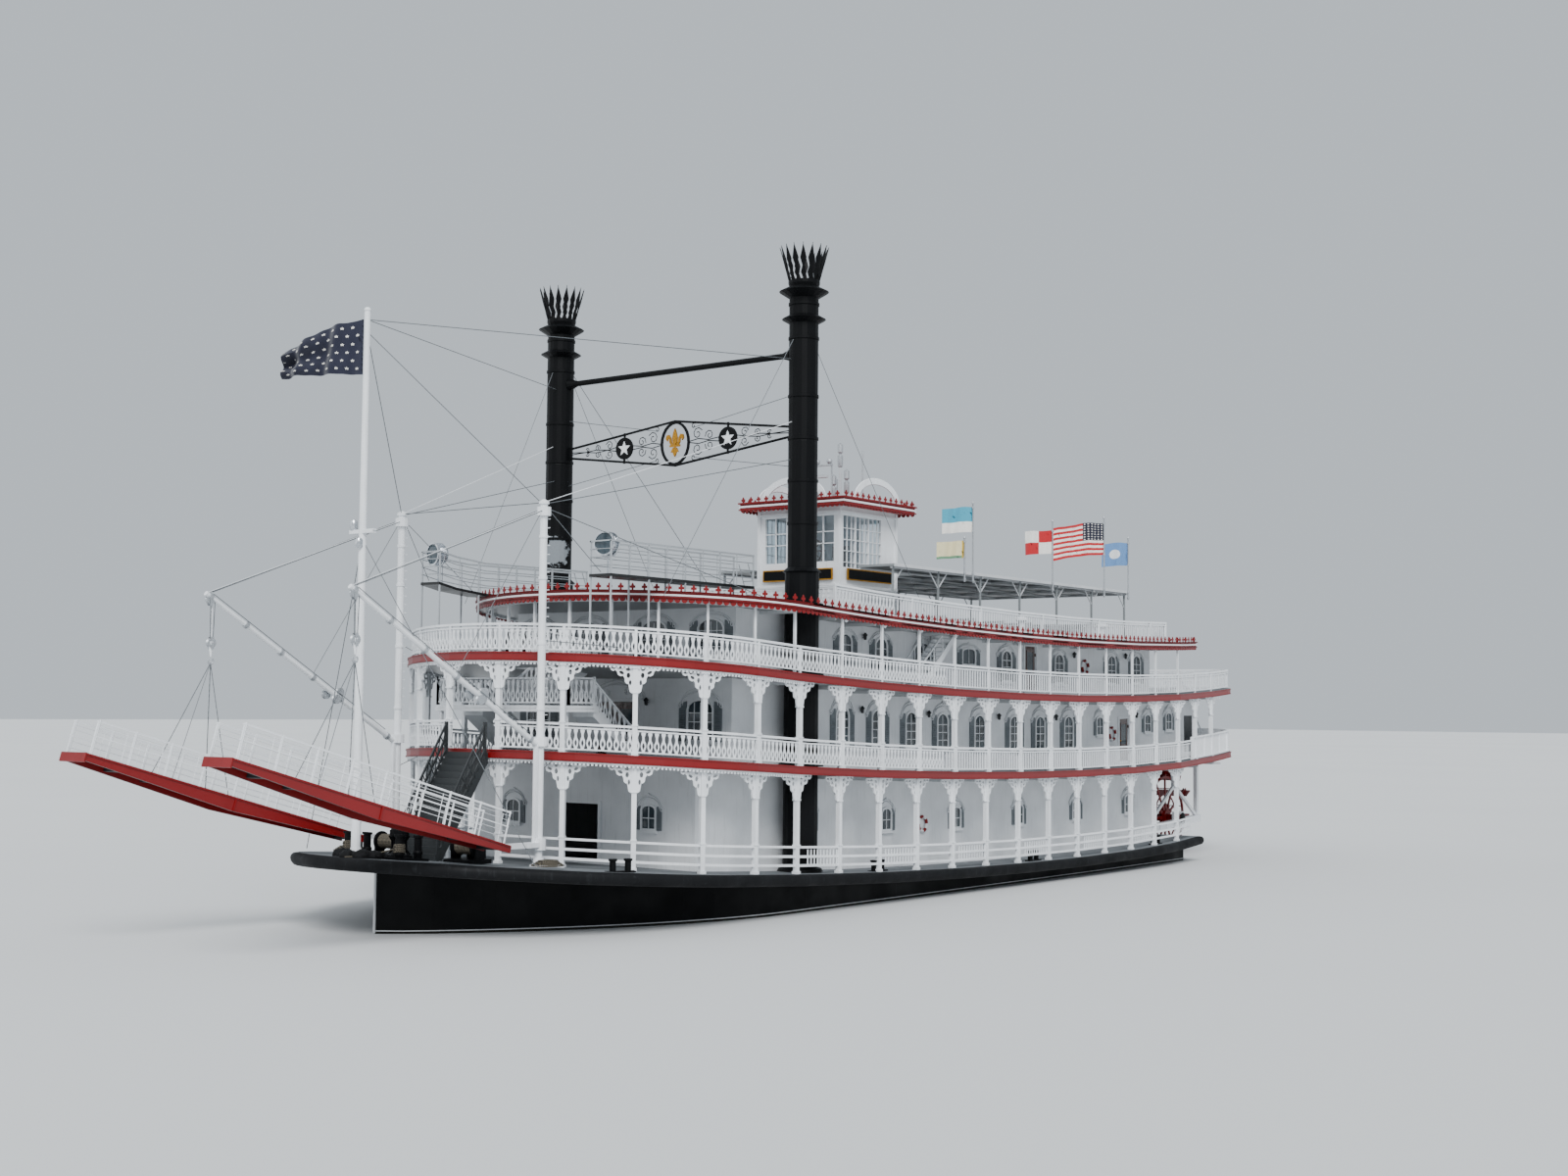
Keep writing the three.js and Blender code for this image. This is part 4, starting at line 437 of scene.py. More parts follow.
def tubes(bm, paths, radius, resolution=0):
    """Round bars or wires along lines of points."""
    curve = bpy.data.curves.new("run", "CURVE")
    curve.dimensions, curve.bevel_depth, curve.bevel_resolution = "3D", radius, resolution
    curve.use_fill_caps = True
    for path in paths:
        spline = curve.splines.new("POLY")
        spline.points.add(len(path) - 1)
        for point, spot in zip(spline.points, path):
            point.co = (*spot, 1)
    holder = bpy.data.objects.new("run", curve)
    mesh = bpy.data.meshes.new_from_object(holder)
    bm.from_mesh(mesh)
    bpy.data.objects.remove(holder)
    bpy.data.curves.remove(curve)
    bpy.data.meshes.remove(mesh)


def sweep(bm, path, profile):
    """Runs a closed profile of (outward, up) points along a path, mitred at its bends."""
    run = bmesh.new()
    rings = []
    for k, here in enumerate(path):
        steps = [(here - path[k - 1]) if k else None, (path[k + 1] - here) if k + 1 < len(path) else None]
        level = [Vector((d.x, d.y)).normalized() for d in steps if d is not None]
        mean = (level[0] + level[-1]).normalized()
        out = Vector((mean.y, -mean.x, 0)) / max(0.4, mean.dot(level[0]))
        verts = [run.verts.new(here + out * o + UP * u) for o, u in profile]
        rings.append([run.edges.new((verts[i - 1], verts[i])) for i in range(len(verts))])
    for a, b in zip(rings, rings[1:]):
        bmesh.ops.bridge_loops(run, edges=a + b)
    for end in (rings[0], rings[-1]):
        bmesh.ops.edgeloop_fill(run, edges=end)
    mesh = as_mesh(run)
    bm.from_mesh(mesh)
    bpy.data.meshes.remove(mesh)


def finish(name, bm, paint="white gloss enamel", body="boat", mirrored=False, smooth=0, stands_for=()):
    """Makes the object of a piece drawn in boat metres, and hangs it under the empty of the body that it
    rides on.
    """
    if mirrored:
        everything = bm.verts[:] + bm.edges[:] + bm.faces[:]
        copies = bmesh.ops.duplicate(bm, geom=everything)["geom"]
        flipped = [v for v in copies if isinstance(v, bmesh.types.BMVert)]
        bmesh.ops.scale(bm, vec=(1, -1, 1), verts=flipped)
    bmesh.ops.recalc_face_normals(bm, faces=bm.faces)
    mesh = bpy.data.meshes.new(name)
    bm.to_mesh(mesh)
    bm.free()
    if not mesh.polygons:
        raise RuntimeError(name + " has no faces")
    mesh.transform(TO_MODEL)
    mesh.materials.append(bpy.data.materials[paint])
    if smooth:
        mesh.polygons.foreach_set("use_smooth", [True] * len(mesh.polygons))
        mesh.set_sharp_from_angle(angle=radians(smooth))
    piece = bpy.data.objects.new(name, mesh)
    bpy.context.scene.collection.objects.link(piece)
    if body:
        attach(piece, body)
    if stands_for:
        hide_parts(*stands_for)
    return piece


# Materials.

RGBA = {"out": 2, "data_type": "RGBA"}


def plug(tree, node, inputs):
    """Gives a node its inputs: a socket is linked, and anything else is a value."""
    for socket, value in inputs.items():
        if isinstance(value, bpy.types.NodeSocket):
            tree.links.new(value, node.inputs[socket])
        else:
            node.inputs[socket].default_value = value


def add(tree, kind, inputs=None, out=0, **settings):
    """Adds a shader node with its settings, values and links, and gives one of its outputs."""
    node = tree.nodes.new("ShaderNode" + kind)
    for key, value in settings.items():
        setattr(node, key, value)
    plug(tree, node, inputs or {})
    return node.outputs[out]


def material(name):
    """A new material's node tree, its shader and the object's own coordinates."""
    made = bpy.data.materials.new(name)
    made.use_nodes = True
    tree = made.node_tree
    shader = next(n for n in tree.nodes if n.type == "BSDF_PRINCIPLED")
    return tree, shader, add(tree, "TexCoord", out="Object")


def full(tone):
    """A hex colour or a linear one as shaders take it."""
    return (*(linear(tone) if isinstance(tone, int) else tone), 1)


def shade(rgb, by):
    return tuple(c * by for c in rgb)


def enamel(name, base, dirt, gloss=(0.28, 0.5), dirtiness=0.35, seams=None, stained=None, shine=0.5):
    """Brushed or sprayed gloss enamel: soft shine, faint brush marks, blotches and rain streaks."""
    tree, shader, spot = material(name)
    blotch = add(tree, "TexNoise", {"Vector": spot, "Scale": 1.3, "Detail": 5, "Roughness": 0.6})
    tall = add(tree, "Mapping", {"Vector": spot, "Scale": (9, 9, 0.7)})
    streak = add(tree, "TexNoise", {"Vector": tall, "Scale": 1.6, "Detail": 4, "Roughness": 0.7})
    patchy = add(tree, "MapRange", {0: blotch, 1: 0.35, 2: 0.7})
    tone = add(tree, "Mix", {0: patchy, 6: full(base), 7: full(shade(base, 0.86))}, **RGBA)
    rain = add(tree, "MapRange", {0: streak, 1: 0.56, 2: 0.78, 4: dirtiness})
    tone = add(tree, "Mix", {0: rain, 6: tone, 7: full(dirt)}, **RGBA)
    if stained:
        tone = stained(tree, spot, tone)
    height = add(tree, "TexNoise", {"Vector": spot, "Scale": 45, "Detail": 2})
    if seams:
        pitch, axis = seams
        along = add(tree, "SeparateXYZ", {0: spot}, axis)
        away = add(tree, "Math", {0: along, 1: pitch}, operation="PINGPONG")
        groove = add(tree, "MapRange", {0: away, 1: 0, 2: 0.006, 3: -6, 4: 0})
        height = add(tree, "Math", {0: height, 1: groove}, operation="ADD")
    plug(tree, shader, {
        "Base Color": tone, "Specular IOR Level": shine,
        "Roughness": add(tree, "MapRange", {0: blotch, 1: 0.3, 2: 0.7, 3: gloss[0], 4: gloss[1]}),
        "Normal": add(tree, "Bump", {"Height": height, "Strength": 0.25, "Distance": 0.004})})


def surface(name, kind, pattern, tones, gloss, relief=None, stretch=(1, 1, 1), sockets=None):
    """A finish whose tone, shine and relief all follow one pattern."""
    tree, shader, spot = material(name)
    place = add(tree, "Mapping", {"Vector": spot, "Scale": stretch})
    grain = add(tree, kind, {"Vector": place, **pattern})
    part = add(tree, "MapRange", {0: grain, 1: 0.3, 2: 0.7})
    tone = add(tree, "Mix", {0: part, 6: full(tones[0]), 7: full(tones[1])}, **RGBA)
    rough = add(tree, "MapRange", {0: grain, 1: 0.3, 2: 0.7, 3: gloss[0], 4: gloss[1]})
    plug(tree, shader, {"Base Color": tone, "Roughness": rough, **(sockets or {})})
    if relief:
        bump = add(tree, "Bump", {"Height": grain, "Strength": relief[0], "Distance": relief[1]})
        plug(tree, shader, {"Normal": bump})


def by_facing(name, top, side, under):
    """Painted plate whose walked-on top and edge have their own paints, and whose underside takes a darker
    colour as painted shade.
    """
    tree, shader, spot = material(name)
    up = add(tree, "SeparateXYZ", {0: add(tree, "NewGeometry", out="Normal")}, 2)
    blotch = add(tree, "TexNoise", {"Vector": spot, "Scale": 0.9, "Detail": 6, "Roughness": 0.65})
    # Non-slip grit of about 5 mm, coarser than the real one so that it shows.
    grit = add(tree, "TexNoise", {"Vector": spot, "Scale": 220, "Detail": 2})
    tones = []
    for tone, low, high, darker in ((top, 0.42, 0.68, 0.72), (side, 0.4, 0.75, 0.82)):
        part = add(tree, "MapRange", {0: blotch, 1: low, 2: high})
        tones.append(add(tree, "Mix", {0: part, 6: full(tone), 7: full(shade(tone, darker))}, **RGBA))
    flat = add(tree, "MapRange", {0: up, 1: 0.4, 2: 0.6})
    tone = add(tree, "Mix", {0: flat, 6: tones[1], 7: tones[0]}, **RGBA)
    down = add(tree, "MapRange", {0: up, 1: -0.4, 2: -0.6})
    plug(tree, shader, {
        "Base Color": add(tree, "Mix", {0: down, 6: tone, 7: full(under)}, **RGBA),
        "Roughness": add(tree, "MapRange", {0: up, 1: 0.4, 2: 0.6, 3: 0.38, 4: 0.85}),
        "Normal": add(tree, "Bump", {"Height": grit, "Strength": 0.15, "Distance": 0.002})})
    return tree, shader, spot


def cloth(name, pattern):
    """Woven flag cloth: matt with a soft sheen, and threads drawn coarse enough to show."""
    tree, shader, _ = material(name)
    spot = add(tree, "UVMap", uv_map="cut")
    across, up, _ = add(tree, "SeparateXYZ", {0: spot}).node.outputs
    threads = add(tree, "TexWave", {"Vector": spot, "Scale": 60, "Distortion": 1.5})
    bump = add(tree, "Bump", {"Height": threads, "Strength": 0.15, "Distance": 0.001})
    plug(tree, shader, {"Base Color": pattern(tree, across, up), "Roughness": 0.85, "Sheen Weight": 0.3,
                        "Sheen Roughness": 0.5, "Normal": bump})


def repaint(tree, shader, where, tone):
    """Another colour where a factor is one."""
    before = shader.inputs["Base Color"].links[0].from_socket
    mixed = add(tree, "Mix", {0: where, 6: before, 7: full(tone)}, **RGBA)
    plug(tree, shader, {"Base Color": mixed})


def within(tree, spot, centre, half):
    """One inside an upright box, given in the boat's metres along and across, and zero outside it."""
    away = add(tree, "VectorMath", {0: spot, 1: (centre[0] / 2, centre[1] / 2, 0)}, operation="SUBTRACT")
    share = add(tree, "VectorMath", {0: away, 1: (half[0] / 2, half[1] / 2, 1000)}, operation="DIVIDE")
    size = add(tree, "VectorMath", {0: share}, operation="ABSOLUTE")
    parts = add(tree, "SeparateXYZ", {0: size}).node.outputs
    most = add(tree, "Math", {0: parts[0], 1: parts[1]}, operation="MAXIMUM")
    return add(tree, "Math", {0: most, 1: 1}, operation="LESS_THAN")


def dots(tree, across, up, pitch_u, pitch_v, radius):
    """One inside round spots that stand in a grid, and zero elsewhere."""
    parts = {}
    for axis, value, pitch in ((0, across, pitch_u), (1, up, pitch_v)):
        share = add(tree, "Math", {0: value, 1: pitch}, operation="DIVIDE")
        part = add(tree, "Math", {0: share}, operation="FRACT")
        parts[axis] = add(tree, "Math", {0: part, 1: 0.5}, operation="SUBTRACT")
    far = add(tree, "VectorMath", {0: add(tree, "CombineXYZ", parts)}, "Value", operation="LENGTH")
    return add(tree, "Math", {0: far, 1: radius}, operation="LESS_THAN")


def masts_pale(tree, spot, tone):
    """Grey paint on what stands higher than the pilothouse roof."""
    height = add(tree, "SeparateXYZ", {0: spot}, 2)
    high = add(tree, "Math", {0: height, 1: (PILOT_TOP + 0.6 + DRAFT) / 2}, operation="GREATER_THAN")
    return add(tree, "Mix", {0: high, 6: tone, 7: full(0xB9BEC2)}, **RGBA)


def peeled(tree, spot, tone):
    """Grey undercoat where the black has come off, in a ragged patch that faces forward."""
    shift = add(tree, "Mapping", {"Vector": spot, "Location": (-0.25, 3.02, -7.76)})
    stretch = add(tree, "Mapping", {"Vector": shift, "Scale": (2.4, 3.6, 2.7)})
    far = add(tree, "VectorMath", {0: stretch}, "Value", operation="LENGTH")
    rag = add(tree, "TexNoise", {"Vector": spot, "Scale": 7, "Detail": 6, "Roughness": 0.7})
    edge = add(tree, "Math", {0: rag, 1: 1.6, 2: far}, operation="MULTIPLY_ADD")
    bare = add(tree, "MapRange", {0: edge, 1: 1.62, 2: 1.55})
    return add(tree, "Mix", {0: bare, 6: tone, 7: full(0x7F858A)}, **RGBA)


def scummed(tree, spot, tone):
    """Pale scum that dries on the plating just over the water."""
    height = add(tree, "SeparateXYZ", {0: spot}, 2)
    rag = add(tree, "TexNoise", {"Vector": spot, "Scale": 2.5, "Detail": 5})
    line = add(tree, "Math", {0: rag, 1: 0.12, 2: height}, operation="MULTIPLY_ADD")
    part = add(tree, "MapRange", {0: line, 1: 0.97, 2: 0.92, 4: 0.5})
    return add(tree, "Mix", {0: part, 6: tone, 7: full(0x3A3B33)}, **RGBA)


def make_paints(paint):
    white, red, black, grey, dark = paint.white, paint.red, paint.black, paint.deck, paint.dark
    # Gloss enamel on timber and steel: bright, with a wet shine and grey rain marks under the rails.
    enamel("white gloss enamel", white, 0x9A9A90, dirtiness=0.3)
    # The same enamel on sheeted house walls, with the joint between sheets every 1.2 m.
    enamel("white sheeted wall", shade(white, 0.95), 0x8E9190, dirtiness=0.3, seams=(0.6, 0))
    enamel("light grey panel", shade(white, 0.72), 0x80868A)
    # Red gloss enamel, older than the white: a little chalked, with dark runs.
    enamel("red gloss enamel", red, 0x3A0608, dirtiness=0.4, shine=0.35)
    enamel("red roof enamel", red, 0x3A0608, dirtiness=0.4, stained=masts_pale, shine=0.35)
    # Satin paints of shutters and ironwork: duller, with dusty blotches and streaks.
    enamel("grey shutter paint", paint.shutter, 0x40464A, gloss=(0.45, 0.65))
    enamel("dark grey steel paint", dark, 0x0E0F10, gloss=(0.4, 0.7))
    # Heat-proof black on the stacks: satin, dusty, with a welded joint every 2.4 m.
    heat_proof = {"gloss": (0.4, 0.6), "dirtiness": 0.3, "seams": (1.2, 2), "shine": 0.12}
    enamel("black stack paint", black, 0x16171A, **heat_proof)
    enamel("black stack paint with bare patch", black, 0x16171A, stained=peeled, **heat_proof)
    # Coal-tar black on welded hull plates, scuffed and dull near the water.
    enamel("black hull plating", paint.hull, 0x0C0D0F, gloss=(0.4, 0.7), dirtiness=0.5, seams=(1.5, 0),
           stained=scummed, shine=0.12)
    # Rubber and old tar on the fender roll: dull, with pale scuffs.
    enamel("scuffed black rubber", linear(0x131416), 0x3E4043, gloss=(0.55, 0.85), dirtiness=0.4,
           shine=0.15)
    # Non-slip deck paint: flat grey, walked pale in blotches. The edges of the decks are gloss red.
    enamel("grey deck paint", grey, 0x3B3E40, gloss=(0.6, 0.85))
    # Their undersides are the white paint darkened to 0.32, a painted shade.
    by_facing("roof with red edge", grey, red, shade(white, 0.32))
    tree, shader, spot = by_facing("deck with red edge", grey, red, shade(white, 0.32))
    # Only the outer edge is red: the stairwells' edges lie inside this box, and face neither up nor down;
    # they get the white darkened to 0.6 as painted shade.
    facing = add(tree, "SeparateXYZ", {0: add(tree, "NewGeometry", out="Normal")}, 2)
    edge = add(tree, "Math", {0: facing, 1: 0, 2: 0.5}, operation="COMPARE")
    inside = within(tree, spot, (-15.2, 0), (23.8, 5.2))
    repaint(tree, shader, add(tree, "Math", {0: edge, 1: inside}, operation="MULTIPLY"), shade(white, 0.6))
    # Landing stage plating: dark grey floor and red sides; the near-black underside is painted shade.
    tree, shader, spot = by_facing("stage plating", linear(0x3A3D40), red, linear(0x101113))
    # The rails over the floor are white: their height is counted from the floor's slope.
    foot = tuple(TO_MODEL @ Vector((HINGE_X, 0, HINGE_Z)))
    shift = add(tree, "VectorMath", {0: spot, 1: foot}, operation="SUBTRACT")
    normal = (-sin(STAGE_SLOPE), 0, cos(STAGE_SLOPE))
    rise = add(tree, "VectorMath", {0: shift, 1: normal}, "Value", operation="DOT_PRODUCT")
    repaint(tree, shader, add(tree, "Math", {0: rise, 1: 0.012}, operation="GREATER_THAN"), white)
    # Catwalk plating: grey floor and paler sides; the near-black underside is painted shade.
    tree, shader, spot = by_facing("catwalk plating", linear(0x8C9195), linear(0xA9AEB2), linear(0x030303))
    # Only the floor reaches the full width of 1 m and the front end; its edge is black.
    mirror = add(tree, "VectorMath", {0: spot}, operation="ABSOLUTE")
    rails = within(tree, mirror, (4.44, 4.25), (4.44, 0.498))
    repaint(tree, shader, add(tree, "Math", {0: 1, 1: rails}, operation="SUBTRACT"), linear(0x08090A))
    # Sheet of the canopy: weathered light grey on top, and dark grey beneath as painted shade.
    by_facing("canopy sheet", linear(0xB9BDBE), linear(0x83888A), dark)

    # Hot-dip galvanised steel: grey metal with a faint crystal spangle, about 20 mm across.
    tree, shader, spot = material("galvanised steel")
    spangle = add(tree, "SeparateXYZ", {0: add(tree, "TexVoronoi", {"Vector": spot, "Scale": 50}, "Color")})
    part = add(tree, "MapRange", {0: spangle})
    plug(tree, shader, {
        "Base Color": add(tree, "Mix", {0: part, 6: full(0xA6ABAF), 7: full(0xBBBFC3)}, **RGBA),
        "Roughness": add(tree, "MapRange", {0: spangle, 3: 0.42, 4: 0.5}), "Metallic": 0.6})
    # Bright rolled steel of lamp bodies: clouded by wear.
    surface("polished lamp steel", "TexNoise", {"Scale": 14, "Detail": 4}, (0xB9BEC4, 0xE6E9EC),
            (0.12, 0.3), sockets={"Metallic": 1})
    # Gold leaf: warm metal with small dull creases.
    surface("gold leaf", "TexNoise", {"Scale": 30, "Detail": 5}, (paint.gold, shade(paint.gold, 0.6)),
            (0.25, 0.5), sockets={"Metallic": 0.9})
    # Varnished mahogany: long grain about 8 mm wide under a hard gloss.
    surface("varnished mahogany", "TexNoise", {"Scale": 2, "Detail": 5, "Distortion": 0.6},
            (paint.wood, shade(paint.wood, 0.45)), (0.22, 0.35), stretch=(60, 60, 5),
            sockets={"Coat Weight": 0.5})
    # Window glass with a dark room behind it: near black, mirror smooth, slightly wavy.
    surface("dark window glass", "TexNoise", {"Scale": 2.2, "Detail": 1}, (0x1C262C, 0x3C4A52),
            (0.05, 0.08), (0.15, 0.02), sockets={"IOR": 1.52})
    # Clear plate glass of the pilothouse, faintly blue and filmed here and there.
    surface("clear plate glass", "TexNoise", {"Scale": 3, "Detail": 3}, (0xDCE8EE, 0xE2EBF0), (0.02, 0.12),
            sockets={"Transmission Weight": 1, "IOR": 1.45})
    # Laid rope: strands about 15 mm wide that run round it.
    surface("laid rope", "TexWave", {"Scale": 22, "Distortion": 2}, (0x2E2B26, 0x6A6355), (0.85, 0.95),
            (0.5, 0.004))
    # Steel rope seen from afar: dark grey metal with fine twists.
    surface("steel wire rope", "TexWave", {"Scale": 40, "Distortion": 1}, (0x4B5054, 0x868B8F),
            (0.45, 0.55), sockets={"Metallic": 0.5})
    # Coated black cover cloth: dull, creased.
    surface("black cover cloth", "TexNoise", {"Scale": 9, "Detail": 6, "Distortion": 1},
            (0x050506, 0x151618), (0.75, 0.85), (0.8, 0.02), sockets={"Specular IOR Level": 0.2})
    # Studio floor: matt and pale, with the faintest unevenness.
    surface("studio floor", "TexNoise", {"Scale": 0.05, "Detail": 3},
            (paint.floor, shade(paint.floor, 0.96)), (0.7, 0.8))

    pale, navy, scarlet = full(0xE8E6E0), full(paint.navy), full(paint.scarlet)

    def banded(tree, _, up):
        top = add(tree, "Math", {0: up, 1: 0.42}, operation="GREATER_THAN")
        return add(tree, "Mix", {0: top, 6: pale, 7: full(paint.teal)}, **RGBA)

    def bordered(tree, across, up):
        field, inner = (add(tree, "Math", {0: value, 1: limit}, operation="GREATER_THAN")
                        for value, limit in ((up, 0.14), (across, 0.07)))
        edge = add(tree, "Mix", {0: field, 6: full(0x5E8A6B), 7: full(0xD8CFA6)}, **RGBA)
        return add(tree, "Mix", {0: inner, 6: full(0xC9A93F), 7: edge}, **RGBA)

    def quartered(tree, across, up):
        halves = [add(tree, "Math", {0: value, 1: 0.5}, operation="GREATER_THAN") for value in (across, up)]
        odd = add(tree, "Math", dict(enumerate(halves)), operation="COMPARE")
        return add(tree, "Mix", {0: odd, 6: scarlet, 7: pale}, **RGBA)

    def striped(tree, across, up):
        """Thirteen bars, and a navy corner with small pale spots."""
        part = add(tree, "Math", {0: add(tree, "Math", {0: up, 1: 13 / 2}, operation="MULTIPLY")},
                   operation="FRACT")
        odd = add(tree, "Math", {0: part, 1: 0.5}, operation="GREATER_THAN")
        bars = add(tree, "Mix", {0: odd, 6: scarlet, 7: pale}, **RGBA)
        near = add(tree, "Math", {0: across, 1: 0.4}, operation="LESS_THAN")
        high = add(tree, "Math", {0: up, 1: 6 / 13}, operation="GREATER_THAN")
        corner = add(tree, "Math", {0: near, 1: high}, operation="MULTIPLY")
        spots = dots(tree, across, up, 1 / 15, 1 / 13, 0.22)
        field = add(tree, "Mix", {0: spots, 6: navy, 7: pale}, **RGBA)
        return add(tree, "Mix", {0: corner, 6: bars, 7: field}, **RGBA)

    def centred(tree, across, up):
        """Light blue with a pale oval in the middle."""
        middle = dots(tree, across, up, 1, 1, 0.2)
        return add(tree, "Mix", {0: middle, 6: full(paint.sky), 7: full(0xD9DEE0)}, **RGBA)

    # Navy that grows up to 15 % darker towards the fly's top corner.
    def navy_darker_to_fly(tree, across, up):
        toward_fly_top = add(tree, "Math", {0: across, 1: up}, operation="MULTIPLY")
        darker = full(shade(paint.navy, 0.85))
        return add(tree, "Mix", {0: toward_fly_top, 6: navy, 7: darker}, **RGBA)

    # Flag cloths: light polyester weave, dyed right through.
    for name, pattern in (("teal and white", banded), ("cream", bordered), ("quartered", quartered),
                          ("striped", striped), ("light blue", centred), ("navy", navy_darker_to_fly)):
        cloth(name + " flag cloth", pattern)
    enamel("white star cloth", linear(0xE8E6E0), 0xB0B0AC, gloss=(0.8, 0.95), dirtiness=0.1)


class BOAT_OT_paints(Operator):
    """Make the paints and put them on the solids of the boat"""

    bl_idname = "boat.paints"
    bl_label = "Paints"

    def execute(self, context):
        make_paints(context.scene.boat_paint)
        chosen = {name + end: paint for paint, names in NODE_PAINTS.items() for name in names
                  for end in ("", "_port", "_starboard")}
        for name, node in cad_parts.items():
            node.data.materials.clear()
            node.data.materials.append(bpy.data.materials[chosen.get(name, "white gloss enamel")])
        return {"FINISHED"}


class BOAT_OT_hull_trim(Operator):
    """Add the round fender roll, the stem bar, the waterline stripe and the mooring bollards"""

    bl_idname = "boat.hull_trim"
    bl_label = "Hull trim"

    def execute(self, context):
        bm = bmesh.new()
        roll = [(-0.02, -0.42), (0.1, -0.42), (0.2, -0.38), (0.27, -0.29), (0.295, -0.18), (0.27, -0.09),
                (0.2, -0.02), (0.1, 0), (-0.02, 0)]
        sweep(bm, on_deck(fine(ring(MAIN_PLAN)), MAIN), roll)
        finish("fender_roll", bm, "scuffed black rubber", smooth=40, stands_for=("hull_fender",))

        bm = bmesh.new()
        bar(bm, (14.89, 0, 0.02), (14.89, 0, 1.98), 0.06, 0.07)
        finish("stem_bar", bm, "light grey panel")

        bm = bmesh.new()
        shares = [k / 24 for k in range(25)]
        line = [Vector((14.9 - 13.9 * part, 6.6 * sin(part * QUARTER) ** 0.8, 0.1)) for part in shares]
        sweep(bm, line + [Vector((-23, 6.6, 0.1)), Vector((-32.4, 6.4, 0.1))], strap(0.016, 0.03))
        finish("waterline_stripe", bm, "light grey panel", mirrored=True)

        bm = bmesh.new()
        block(bm, (-32.56, 2.3, 0.05), (-32.5, 4.9, 0.16))
        pin = turned([(0, 0.04), (0.11, 0.04), (0.11, 0.36), (0.15, 0.38), (0.15, 0.44), (0, 0.44)], 12)
        for x in (10.2, -4.0, -16.0, -28.0):
            edge = min(run_of(MAIN_PLAN, 0.42), key=lambda p: abs(p.x - x))
            place = on(edge.x, edge.y, MAIN, heading=-0.55 if x > 6 else 0.0)
            block(bm, (-0.5, -0.13, 0), (0.5, 0.13, 0.05), place)
            stamp(bm, pin, [place @ at(end) for end in (-0.26, 0.26)])
        finish("mooring_bollards", bm, "black stack paint", mirrored=True, smooth=40)
        return {"FINISHED"}


class BOAT_OT_deck_trim(Operator):
    """Add the beads, dentils and ceiling beams of the first and second decks"""

    bl_idname = "boat.deck_trim"
    bl_label = "Deck edge trim"

    def execute(self, context):
        bm = bmesh.new()
        for deck in (FIRST, SECOND):
            path = on_deck(fine(ring(DECK_PLAN, across=True)), deck)
            sweep(bm, path, rect(-0.02, -0.05, 0.028, -0.012))
            sweep(bm, path, rect(-0.02, -0.29, 0.028, -0.25))
        finish("deck_edge_beads", bm, "red gloss enamel")

        bm = bmesh.new()
        tooth = plate(rect(-0.035, -0.12, 0.035, 0), 0.035)
        for deck in (FIRST_CEILING, SECOND_CEILING):
            run = run_of(DECK_PLAN, 0.06, aft=1.5)
            stamp(bm, tooth, on_places(walk(run, 0.14, 0.05), deck, -0.002))
            sweep(bm, on_deck(run, deck, -0.03), strap(0.05, 0.05))
        finish("deck_edge_dentils", bm, mirrored=True)

        bm = bmesh.new()
        for ceiling, count in ((FIRST_CEILING, 15), (SECOND_CEILING, 15), (ROOF_CEILING, 13)):
            for x in (COLUMN_X - BAY * k for k in range(count)):
                z = ceiling + sheer(x)
                low = HOUSE_HALF + 0.01 if -35 < x < 3 else 0
                block(bm, (x - 0.05, low, z - 0.13), (x + 0.05, 7.1, z - 0.004))
        finish("deck_beams", bm, "light grey panel", mirrored=True)
        return {"FINISHED"}


class BOAT_OT_roof_trim(Operator):
    """Add the roof's white stripe, its cresting and the scallops under it"""

    bl_idname = "boat.roof_trim"
    bl_label = "Roof trim"

    def execute(self, context):
        sizes = context.scene.boat_sizes
        bm = bmesh.new()
        path = on_deck(fine(ring(ROOF_PLAN, across=True)), ROOF)
        sweep(bm, path, rect(-0.02, -0.16, 0.03, -0.1))
        finish("roof_stripe", bm)

        bm = bmesh.new()
        # The mouldings go all the way round, so they lie double when mirrored, which darkens their line.
        sweep(bm, path, rect(-0.05, -0.035, 0.06, 0.02))
        sweep(bm, path, rect(-0.02, -0.26, 0.045, -0.22))
        edge = run_of(ROOF_PLAN, 0)
        stamp(bm, plate(leaf(0.2, 0.27), 0.03), on_places(walk(edge, sizes.crest_pitch, 0.2), ROOF, 0.01))
        drop = plate(scallop(sizes.scallop_pitch * 0.47, 0.13), 0.03)
        stamp(bm, drop, on_places(walk(edge, sizes.scallop_pitch, 0.1), ROOF_CEILING, -0.01))
        finish("roof_cresting", bm, "red gloss enamel", mirrored=True)
        return {"FINISHED"}


def vase_shape(height, pitch):
    return plate(vase(height, pitch * 0.42), 0.024, [lens(pitch * 0.2, height * 0.12, height * 0.48)])


def slat_shape(height):
    return plate(rect(-0.034, 0, 0.034, height), 0.018)


